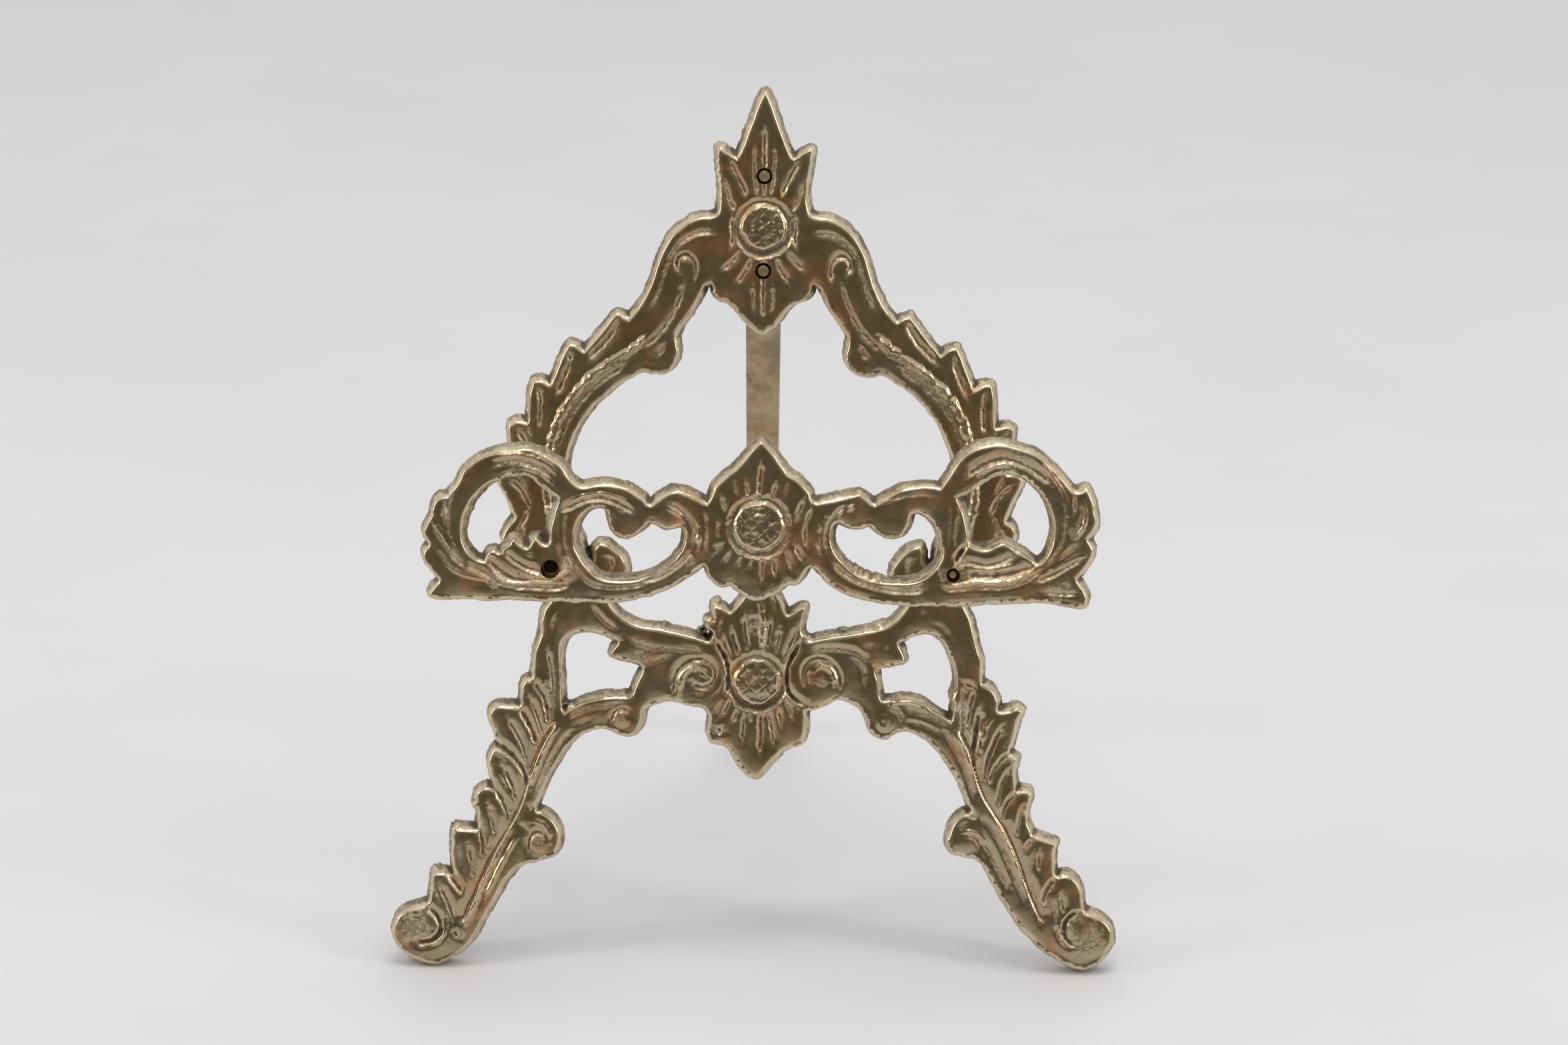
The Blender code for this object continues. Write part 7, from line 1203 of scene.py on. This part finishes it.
def brass(name, face=(0.66, 0.555, 0.375), pale=(0.60, 0.52, 0.375), rough=(0.15, 0.24), relief=True, tarnish=0.5, grime_and_shade_amount=1.0, lathe=None):
    mat = bpy.data.materials.new(name)
    mat.use_nodes = True
    N = Nodes(mat.node_tree)
    out = N.add("ShaderNodeOutputMaterial")
    bsdf = N.add("ShaderNodeBsdfPrincipled")
    N.link(bsdf.outputs[0], out.inputs[0])

    broad = N.noise(90, 3.0, 0.6)
    middle = N.noise(420, 4.0, 0.6)
    grain = N.noise(2300, 3.0, 0.6)
    specks = N.noise(5200, 2.0, 0.7)

    warm = tuple(x * k for x, k in zip(face, (1.0, 0.95, 0.84)))
    colour = N.mix(N.remap(broad, 0.38, 0.64), face, warm)
    roughness = N.remap(middle, 0.3, 0.7, rough[0], rough[1])
    metal = 1.0
    if relief:
        cav, edge, wall, grit = (N.attribute(x) for x in ("cav", "edge", "wall", "grit"))
        sand = N.noise(2300, 3.0, 0.75)
        blot = N.noise(260, 5.0, 0.7)
        # coppery bloom, broad and soft, strongest near hollows and low on the walls
        near = N.math("ADD", N.math("MULTIPLY", cav, 0.5), N.math("MULTIPLY_ADD", wall, 0.10, 0.02))
        bloom = N.remap(N.math("ADD", N.noise(150, 4.0, 0.6, distort=0.6), N.math("MULTIPLY", near, 0.35)), 0.495, 0.64)
        colour = N.mix(N.math("MULTIPLY", bloom, tarnish), colour, (0.56, 0.27, 0.125))
        roughness = N.math("ADD", roughness, N.math("MULTIPLY", bloom, 0.06))
        # sand cast walls and the unpolished bottoms of the cuts: grey brown, speckled
        raw = N.math("MAXIMUM", wall, N.math("MULTIPLY", grit, N.remap(middle, 0.3, 0.6, 0.45, 1.0)), clamp=True)
        speck = N.remap(sand, 0.38, 0.64)
        cast = N.mix(speck, tuple(x * 0.42 for x in pale), tuple(x * 1.40 for x in pale))
        colour = N.mix(N.math("MULTIPLY", raw, 0.85), colour, cast)
        roughness = N.math("ADD", roughness, N.math("MULTIPLY", raw, 0.26))
        # brown and blue grey darkening: grime and patina by the noise, and in the hollows, grooves, notches and on the
        # walls partly painted shade
        grime_and_shade = N.math("ADD", N.math("ADD", cav, N.math("MULTIPLY_ADD", wall, 0.60, N.math("MULTIPLY", grit, 0.16))),
                        N.math("MULTIPLY_ADD", N.math("SUBTRACT", blot, 0.5), 1.15, N.math("MULTIPLY", N.math("SUBTRACT", sand, 0.5), 0.5)))
        brown = N.math("MULTIPLY", N.remap(grime_and_shade, 0.42, 0.80), 0.72 * grime_and_shade_amount, clamp=True)
        colour = N.mix(brown, colour, (0.13, 0.105, 0.07))
        black = N.math("MULTIPLY", N.remap(grime_and_shade, 0.92, 1.35), 0.55 * grime_and_shade_amount, clamp=True)
        colour = N.mix(black, colour, (0.035, 0.037, 0.036))
        roughness = N.math("ADD", roughness, N.math("MULTIPLY", brown, 0.18), clamp=True)
        metal = N.math("SUBTRACT", 1.0, N.math("MULTIPLY", black, 0.5))
        # rubbed edges, lighter on the convex parts: partly wear, partly a painted highlight
        rub_and_highlight = N.math("MULTIPLY", N.remap(edge, 0.15, 0.8), N.remap(middle, 0.3, 0.6, 0.3, 1.0))
        colour = N.mix(N.math("MULTIPLY", rub_and_highlight, 0.55), colour, (0.84, 0.73, 0.52))
    else:
        film = N.remap(N.noise(170, 5.0, 0.65, distort=0.4), 0.36, 0.66, 0.15, 1.0)
        colour = N.mix(N.math("MULTIPLY", film, tarnish), colour, (0.235, 0.18, 0.105))
        stain = N.remap(N.noise(300, 4.0, 0.65, distort=0.5), 0.50, 0.68)
        colour = N.mix(N.math("MULTIPLY", stain, tarnish * 0.7), colour, (0.36, 0.18, 0.075))
        roughness = N.math("ADD", roughness, N.math("ADD", N.math("MULTIPLY", stain, 0.12), N.math("MULTIPLY", film, 0.08)))
    # small dark pits
    pit = N.remap(specks, 0.70, 0.76)
    colour = N.mix(N.math("MULTIPLY", pit, 0.6), colour, (0.10, 0.075, 0.045))
    N.link(colour, bsdf.inputs["Base Color"])
    N.put(bsdf.inputs["Metallic"], metal)
    N.put(bsdf.inputs["Roughness"], roughness)

    # hairline scratches along and across, and the grain of the sand
    line_a = N.noise(900, 2.0, 0.5, N.coords((0.12, 1.0, 1.0), (0, 0.5, 0.15)))
    line_b = N.noise(1100, 2.0, 0.5, N.coords((1.0, 1.0, 0.1), (0.1, -0.4, 0)))
    hair = N.math("ADD", N.math("MULTIPLY", line_a, 0.5), N.math("MULTIPLY", line_b, 0.5))
    height = N.math("ADD", N.math("MULTIPLY", hair, 0.14), N.math("MULTIPLY", middle, 0.22))
    if relief:
        height = N.math("ADD", height, N.math("MULTIPLY", grain, N.math("MULTIPLY_ADD", raw, 2.2, 0.08)))
        height = N.math("ADD", height, N.math("MULTIPLY", sand, N.math("MULTIPLY_ADD", raw, 1.5, 0.03)))
    else:
        height = N.math("ADD", height, N.math("MULTIPLY", grain, 0.14 if lathe is not None else 1.1))
        if lathe is not None:
            height = N.math("ADD", height, N.math("MULTIPLY", N.noise(2600, 2.0, 0.6, N.coords(lathe)), 0.5))
    height = N.math("SUBTRACT", height, N.math("MULTIPLY", pit, 0.25))
    bump = N.add("ShaderNodeBump")
    bump.inputs["Strength"].default_value = 0.55
    bump.inputs["Distance"].default_value = 0.00006
    N.link(height, bump.inputs["Height"])
    N.link(bump.outputs[0], bsdf.inputs["Normal"])
    return mat


# ---------------------------------------------------------------- the pieces

cast_brass = brass("cast_brass", face=(0.46, 0.38, 0.25), tarnish=0.62, grime_and_shade_amount=1.15)
rail_brass = brass("rail_brass", face=(0.46, 0.38, 0.25), tarnish=0.6, grime_and_shade_amount=1.05)
turned_brass = brass("turned_brass", face=(0.60, 0.49, 0.31), rough=(0.22, 0.34), relief=False, lathe=(0.02, 1.0, 1.0))
nut_brass = brass("nut_brass", face=(0.56, 0.455, 0.285), rough=(0.26, 0.4), relief=False)
hinge_brass = brass("hinge_brass", face=(0.52, 0.42, 0.265), rough=(0.28, 0.42), relief=False, tarnish=0.65)
leg_brass = brass("leg_brass", face=(0.53, 0.43, 0.27), rough=(0.26, 0.40), relief=False, tarnish=0.65)

# near black material for the left peg's tip, down in the rail's bore: painted shade
hole_shade = bpy.data.materials.new("painted_hole_shade")
hole_shade.use_nodes = True
N = Nodes(hole_shade.node_tree)
shade = N.add("ShaderNodeBsdfPrincipled")
N.link(shade.outputs[0], N.add("ShaderNodeOutputMaterial").inputs[0])
N.link(N.mix(N.remap(N.noise(1800), 0.35, 0.7), (0.012, 0.012, 0.011), (0.05, 0.04, 0.028)), shade.inputs["Base Color"])
shade.inputs["Metallic"].default_value = 0.5
shade.inputs["Roughness"].default_value = 0.7

FACE_AXIS = Vector(place(0, 0, 1) - place(0, 0, 0)).normalized()
SIDE_AXIS = Vector((1, 0, 0))


def add(obj, body, slot, *nodes):
    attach(obj, body)
    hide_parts(*nodes)
    return obj


frame_cell, rail_cell = ((0.165, 0.14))
front, FG, FH = casting(
    "front_frame_cast", [FRAME_OUTER, FRAME_LYRE, FRAME_HEART_L, FRAME_HEART_R], FRAME_T, 0.0, frame_cell,
    FRAME_STROKES, FRAME_DISCS, FRAME_DOMES, FRAME_BURRS,
    [(*PEG_L, 1.3), (*PEG_R, 1.3), (*RIVETS[0], 1.2), (*RIVETS[1], 1.2)],
    [(-0.25, 43.3, 3.3), (0.0, 111.0, 3.2)], FRAME_PATCHES, cast_brass, 11)
add(front, "stand", "cast_brass", "front_frame")

rail, RG, RH = casting(
    "gallery_rail_cast", [RAIL_OUTER, RAIL_LOOP_L, RAIL_KIDNEY_L, RAIL_KIDNEY_R, RAIL_LOOP_R], RAIL_T, RAIL_W, rail_cell,
    RAIL_STROKES, RAIL_DISCS, [], RAIL_BURRS,
    [(*PEG_L, 1.35), (*PEG_R, 1.0)],
    [(-0.1, 69.45, 3.4)], RAIL_PATCHES, rail_brass, 23)
add(rail, "stand", "rail_brass", "gallery_rail")

for side, (u, v), tip, end in (("left", PEG_L, 1.0, 20.5), ("right", PEG_R, 0.7, 22.1)):
    axis = place(u, v, 0.0)
    prof = [(-7.4, 0.0), (-7.4, 0.7), (-7.1, 1.0)]
    w = -6.9
    while w < -0.2:                                 # thread under the nut
        prof += [(w, 1.0), (w + 0.18, 0.86), (w + 0.36, 1.0)]
        w += 0.36
    prof += rounded([(0.3, 1.0), (0.3, 1.9), (0.6, 2.2), (1.5, 2.2), (1.9, 1.75), (2.4, 1.6), (4.0, 1.7), (9.7, 1.85), (15.4, 1.7),
                     (17.0, 1.6), (17.5, 1.75), (17.9, 2.2), (19.1, 2.2), (19.4, 1.9), (19.4, tip), (end - 0.25, tip), (end, tip * 0.7)], 0.12)
    prof += [(end + 0.03, tip * 0.35), (end + 0.04, 0.0)]
    # the left peg's tip ends deep in the rail's bore and gets the painted shade material
    peg = turned("%s_ledge_peg" % side, axis, FACE_AXIS, [(a * MM, b * MM) for a, b in prof], turned_brass,
                 end_material=hole_shade if side == "left" else None)
    add(peg, "stand", "turned_brass", "%s_ledge_arm" % side)


def hexagon(name, u, v, w0, w1, flats, bore, turn, material):
    sides = 96
    rings = []

    def hexr(a):
        return flats / math.cos((a + math.pi / 6) % (math.pi / 3) - math.pi / 6)

    top = 0.92 * flats
    for kind in ("b0", "b0c", "f0", "h0", "h1", "f1", "b1c", "b1"):
        ring = []
        for i in range(sides):
            a = 2 * math.pi * i / sides
            if kind[0] == "b":
                r = bore + (0.14 if kind.endswith("c") else 0.0)
                w = {"b0": w0 + 0.14, "b0c": w0, "b1c": w1, "b1": w1 - 0.14}[kind]
            elif kind[0] == "f":
                r, w = top, (w0 if kind == "f0" else w1)
            else:
                r = hexr(a)
                drop = (r - top) * 0.5
                w = w0 + drop if kind == "h0" else w1 - drop
            ring.append(tuple(place(u + r * math.cos(a + turn), v + r * math.sin(a + turn), w)))
        rings.append(ring)
    verts = [p for r in rings for p in r]
    faces = []
    n = len(rings)
    for k in range(n):
        for i in range(sides):
            j = (i + 1) % sides
            a, b = k * sides, (k + 1) % n * sides
            faces.append((a + i, a + j, b + j, b + i))
    mesh = bpy.data.meshes.new(name)
    mesh.from_pydata(verts, [], faces)
    bm = bmesh.new()
    bm.from_mesh(mesh)
    bmesh.ops.recalc_face_normals(bm, faces=bm.faces)
    bm.to_mesh(mesh)
    bm.free()
    mesh.polygons.foreach_set("use_smooth", np.ones(len(mesh.polygons), bool))
    mesh.set_sharp_from_angle(angle=math.radians(24))
    obj = bpy.data.objects.new(name, mesh)
    bpy.context.scene.collection.objects.link(obj)
    obj.data.materials.append(material)
    return obj


add(hexagon("left_peg_nut", *PEG_L, -6.1, -3.7, 2.3, 1.3, 0.3, nut_brass), "stand", "nut_brass", "left_arm_nut")
add(hexagon("right_peg_nut", *PEG_R, -6.1, -3.7, 2.3, 1.3, -0.5, nut_brass), "stand", "nut_brass", "right_arm_nut")

for k, (u, v) in enumerate(RIVETS, 1):
    prof = [(-6.42, 0.0), (-6.41, 0.55), (-6.32, 1.1), (-6.14, 1.55), (-5.9, 1.82), (-5.72, 1.9), (-5.62, 1.88), (-5.6, 1.8),
            (-5.6, 0.9), (-0.3, 0.9), (-0.12, 0.8), (-0.06, 0.45), (-0.05, 0.0)]
    add(turned("bracket_rivet_%d" % k, place(u, v, 0.0), FACE_AXIS, [(a * MM, b * MM) for a, b in prof], hinge_brass),
        "stand", "hinge_brass", "hinge_rivet_%d" % k)

axis = place(0.0, HINGE_V, HINGE_W)
prof = [(-6.9, 0.0), (-6.9, 1.5), (-6.82, 1.8), (-6.6, 2.08), (-6.4, 2.17), (-6.15, 2.18), (-6.02, 2.1), (-6.0, 1.95), (-6.0, 1.2),
        (7.75, 1.2), (7.95, 1.1), (8.07, 0.9), (8.1, 0.5), (8.1, 0.0)]
add(turned("hinge_pin_turned", axis, SIDE_AXIS, [(a * MM, b * MM) for a, b in prof], turned_brass), "stand", "turned_brass", "hinge_pin")
prof = [(5.9, 1.32), (5.9, 2.1), (5.98, 2.18), (6.92, 2.18), (7.1, 2.12), (7.24, 1.96), (7.3, 1.8), (7.3, 1.38), (7.22, 1.32), (5.9, 1.32)]
add(turned("pin_collar_turned", axis, SIDE_AXIS, [(a * MM, b * MM) for a, b in prof], turned_brass), "stand", "turned_brass", "pin_collar")


def prism(outline, holes, lo, hi, to_world, steps=1):
    """A closed plate: outline and holes in the plane, lo..hi across it."""
    loops = [outline] + holes
    co, edges = [], []
    for loop in loops:
        base = len(co)
        co += [Vector((float(x), float(y))) for x, y in loop]
        edges += [(base + i, base + (i + 1) % len(loop)) for i in range(len(loop))]
    res = delaunay_2d_cdt(co, edges, [], 0, 1e-7, True)
    rp = np.array([[p.x, p.y] for p in res[0]])
    rt = np.array(res[2])
    rt = rt[inside_rings(rp[rt].mean(1), [np.array(x, float) for x in loops])]
    inv = {i: k for k, src in enumerate(res[3]) for i in src}
    bm = bmesh.new()
    a = [bm.verts.new(to_world(x, y, lo)) for x, y in rp]
    b = [bm.verts.new(to_world(x, y, hi)) for x, y in rp]
    for t in rt:
        bm.faces.new([a[i] for i in t])
        bm.faces.new([b[i] for i in t[::-1]])
    for i, j in edges:
        i, j = inv[i], inv[j]
        bm.faces.new([a[i], a[j], b[j], b[i]])
    bmesh.ops.remove_doubles(bm, verts=bm.verts, dist=1e-8)
    bmesh.ops.recalc_face_normals(bm, faces=bm.faces)
    bmesh.ops.dissolve_limit(bm, angle_limit=math.radians(1.0), verts=bm.verts, edges=bm.edges)
    mesh = bpy.data.meshes.new("prism")
    bm.to_mesh(mesh)
    bm.free()
    return mesh


def ring(u, v, r, n=40):
    return [(u + r * math.cos(2 * math.pi * k / n), v + r * math.sin(2 * math.pi * k / n)) for k in range(n)]


def softened(name, obj, width, material, segments=2, limit=35):
    """The object's shape with its edges eased, as one plain mesh."""
    bevel = obj.modifiers.new("ease", "BEVEL")
    bevel.width = width
    bevel.segments = segments
    bevel.limit_method = "ANGLE"
    bevel.angle_limit = math.radians(limit)
    bevel.harden_normals = False
    bpy.context.view_layer.update()
    got = bpy.data.meshes.new_from_object(obj.evaluated_get(bpy.context.evaluated_depsgraph_get()))
    data = obj.data
    bpy.data.objects.remove(obj)
    bpy.data.meshes.remove(data)
    got.name = name
    got.materials.clear()
    got.materials.append(material)
    got.polygons.foreach_set("use_smooth", np.ones(len(got.polygons), bool))
    got.set_sharp_from_angle(angle=math.radians(40))
    new = bpy.data.objects.new(name, got)
    bpy.context.scene.collection.objects.link(new)
    return new


# hinge bracket: plate with two cheeks, bent and brazed
back_w = -FRAME_T - GAP
plate_w = back_w - 1.6
rim = [(5.6, HINGE_V - 4.6), (5.6, HINGE_V + 4.6), (4.6, HINGE_V + 7.4), (2.6, HINGE_V + 10), (-2.6, HINGE_V + 10), (-4.6, HINGE_V + 7.4),
       (-5.6, HINGE_V + 4.6), (-5.6, HINGE_V - 4.6), (-4.6, HINGE_V - 6.4), (-2.6, HINGE_V - 8.8), (2.6, HINGE_V - 8.8), (4.6, HINGE_V - 6.4)]
plate = bpy.data.objects.new("plate_tmp", prism(rim, [ring(u, v, 1.2) for u, v in RIVETS], plate_w, back_w,
                                                lambda x, y, w: tuple(place(x, y, w))))
bpy.context.scene.collection.objects.link(plate)
eye = [(HINGE_W + 2.9 * math.cos(math.pi / 2 + math.pi * k / 32), HINGE_V + 2.9 * math.sin(math.pi / 2 + math.pi * k / 32)) for k in range(33)]
cheek = [(plate_w + 0.5, HINGE_V + 4.6), (plate_w - 0.02, HINGE_V + 4.58), (plate_w - 0.9, HINGE_V + 3.6)] + eye + \
        [(plate_w - 0.9, HINGE_V - 3.6), (plate_w - 0.02, HINGE_V - 4.58), (plate_w + 0.5, HINGE_V - 4.6)]
for k, (x0, x1) in enumerate(((3.8, 5.595), (-5.595, -3.8))):
    part = bpy.data.objects.new("cheek_tmp", prism(cheek, [ring(HINGE_W, HINGE_V, 1.3)], x0, x1,
                                                   lambda x, y, w: tuple(place(w, y, x))))
    bpy.context.scene.collection.objects.link(part)
    mod = plate.modifiers.new("join", "BOOLEAN")
    mod.operation = "UNION"
    mod.solver = "EXACT"
    mod.object = part
    bpy.context.view_layer.update()
    got = bpy.data.meshes.new_from_object(plate.evaluated_get(bpy.context.evaluated_depsgraph_get()))
    plate.modifiers.clear()
    plate.data = got
    bpy.data.objects.remove(part)
bracket = softened("hinge_bracket_eased", plate, 0.22 * MM, hinge_brass)
add(bracket, "stand", "hinge_brass", "hinge_bracket")

# rear leg: local y is its thickness, local z runs down it from the pin
pin = Vector(place(0.0, HINGE_V, HINGE_W))
leg_dir = Matrix.Rotation(OPEN, 3, "X") @ Vector((0.0, -math.sin(LEAN), -math.cos(LEAN)))
back_dir = leg_dir.cross(Vector((1.0, 0.0, 0.0)))
if back_dir.y < 0:
    back_dir.negate()
length = pin.z / -leg_dir.z / MM + 1.2
half_t = LEG_T / 2
stop = -FRAME_T - GAP - 1.6 - 0.15
normal = Vector((0.0, -math.cos(LEAN), math.sin(LEAN)))
ny, nz = back_dir.dot(normal), leg_dir.dot(normal)
top = -5.6
za = ((stop - HINGE_W) + half_t * ny) / nz
yb = ((stop - HINGE_W) - top * nz) / ny
down_r = curve([(half_t + 0.2, 4.6), (half_t + 0.5, 20.0), (half_t + 0.9, 50.0), (half_t + 0.7, 85.0), (half_t + 0.2, length - 14.0),
                (half_t + 0.1, length - 5.0), (half_t + 0.6, length - 1.8), (half_t + 0.3, length)], step=2.5).tolist()
down_l = curve([(-half_t - 0.7, length), (-half_t - 1.0, length - 1.8), (-half_t - 0.3, length - 5.0), (-half_t - 0.1, length - 14.0),
                (-half_t + 0.3, 85.0), (-half_t + 0.5, 50.0), (-half_t + 0.2, 20.0), (-half_t - 0.2, 4.6)], step=2.5).tolist()
r = KNUCKLE_R
side = ([(half_t, top + 0.8), (half_t, -r * 0.8)]
        + [(r * math.cos(math.radians(a)), r * math.sin(math.radians(a))) for a in range(-50, 51, 10)] + down_r + down_l
        + [(-r * math.cos(math.radians(a)), r * math.sin(math.radians(a))) for a in range(50, -51, -10)]
        + [(-half_t, -r * 0.8), (-half_t, za), (yb, top), (half_t - 0.8, top)])
KEYS = np.array([(-20.0, 2.5), (-4.0, 3.1), (0.0, 3.45), (4.0, 3.45), (8.0, 2.7), (50.0, 2.45), (90.0, 2.3),
                 (length - 8.0, 2.4), (length - 2.0, 3.0), (length + 5.0, 3.0)])


def leg_point(y, z, s):
    half = float(np.interp(z, KEYS[:, 0], KEYS[:, 1]))
    return tuple(pin + Vector((s * half * MM, 0, 0)) + back_dir * (y * MM) + leg_dir * (z * MM))


leg = bpy.data.objects.new("leg_tmp", prism(side, [ring(0.0, 0.0, 1.3)], -1.0, 1.0, leg_point))
bpy.context.scene.collection.objects.link(leg)
bm = bmesh.new()                                   # the toe is ground flat where it stands
bm.from_mesh(leg.data)
cutter = bmesh.ops.bisect_plane(bm, geom=bm.verts[:] + bm.edges[:] + bm.faces[:], dist=1e-7, plane_co=(0, 0, 0.0),
                                plane_no=(0, 0, -1), clear_outer=True)
bmesh.ops.holes_fill(bm, edges=[e for e in cutter["geom_cut"] if isinstance(e, bmesh.types.BMEdge)], sides=0)
bmesh.ops.recalc_face_normals(bm, faces=bm.faces)
bm.to_mesh(leg.data)
bm.free()
leg = softened("rear_leg_eased", leg, 0.5 * MM, leg_brass, segments=3, limit=40)
add(leg, LEG_BODY, "leg_brass", "rear_leg")

# ---------------------------------------------------------------- the room


def stage_material(name, colour, rough=0.6):
    mat = bpy.data.materials.new(name)
    mat.use_nodes = True
    N = Nodes(mat.node_tree)
    out = N.add("ShaderNodeOutputMaterial")
    bsdf = N.add("ShaderNodeBsdfPrincipled")
    N.link(bsdf.outputs[0], out.inputs[0])
    spots = N.noise(14, 3.0, 0.6)
    N.link(N.mix(N.remap(spots, 0.3, 0.7), colour, tuple(x * 0.97 for x in colour)), bsdf.inputs["Base Color"])
    bsdf.inputs["Roughness"].default_value = rough
    return mat


bpy.ops.mesh.primitive_plane_add(size=6.0, location=(0, 0, -0.0002))
floor = bpy.context.object
floor.name = "table_top"
floor.data.materials.append(stage_material("table", TABLE))

scene = bpy.context.scene
scene.view_settings.view_transform = "Standard"
world = scene.world or bpy.data.worlds.new("room")
scene.world = world
world.use_nodes = True
N = Nodes(world.node_tree)
out = N.add("ShaderNodeOutputWorld")
bg = N.add("ShaderNodeBackground")
N.link(bg.outputs[0], out.inputs[0])
gen = N.add("ShaderNodeTexCoord").outputs["Generated"]


def toward(direction):
    node = N.add("ShaderNodeVectorMath", operation="DOT_PRODUCT")
    N.link(gen, node.inputs[0])
    node.inputs[1].default_value = Vector(direction).normalized()
    return node.outputs["Value"]


front_side = toward(ROOM_DIR)
ramp = N.add("ShaderNodeValToRGB")
N.link(N.math("MULTIPLY_ADD", front_side, 0.5, 0.5), ramp.inputs[0])
els = ramp.color_ramp.elements
while len(els) > 1:
    els.remove(els[-1])
for k, (pos, col) in enumerate(ROOM):
    el = els[0] if k == 0 else els.new(pos)
    el.position = pos
    el.color = (*col, 1.0)
up = toward((0, 0, 1))
sky = N.mix(N.remap(up, 0.25, 0.8), ramp.outputs[0], SKY)
N.link(sky, bg.inputs[0])
bg.inputs[1].default_value = 1.0


def softbox(name, place_at, target, size_x, size_y, power, colour=(1, 1, 1)):
    data = bpy.data.lights.new(name, "AREA")
    data.shape = "RECTANGLE"
    data.size, data.size_y = size_x, size_y
    data.energy = power
    data.color = colour
    obj = bpy.data.objects.new(name, data)
    scene.collection.objects.link(obj)
    obj.location = place_at
    obj.rotation_euler = (Vector(target) - Vector(place_at)).to_track_quat("-Z", "Y").to_euler()
    return obj


for item in LIGHTS:
    softbox(*item)

cam_data = bpy.data.cameras.new("front_view")
cam_data.lens = 131.66
cam_data.sensor_width = 36.0
cam_data.clip_start = 0.01
cam_data.dof.use_dof = False
cam = bpy.data.objects.new("front_view", cam_data)
scene.collection.objects.link(cam)
roll = math.radians(0.7)
X = Vector((math.cos(roll), math.sin(roll) * 0.3584, math.sin(roll) * 0.9336))
Y = Vector((-math.sin(roll), math.cos(roll) * 0.3584, math.cos(roll) * 0.9336))
Z = Vector((0.0, -0.9336, 0.3584))
m = Matrix.Identity(4)
for i in range(3):
    m[i][0], m[i][1], m[i][2] = X[i], Y[i], Z[i]
m.translation = Vector((0.003926, -0.82051, 0.37031))
cam.matrix_world = m
scene.camera = cam
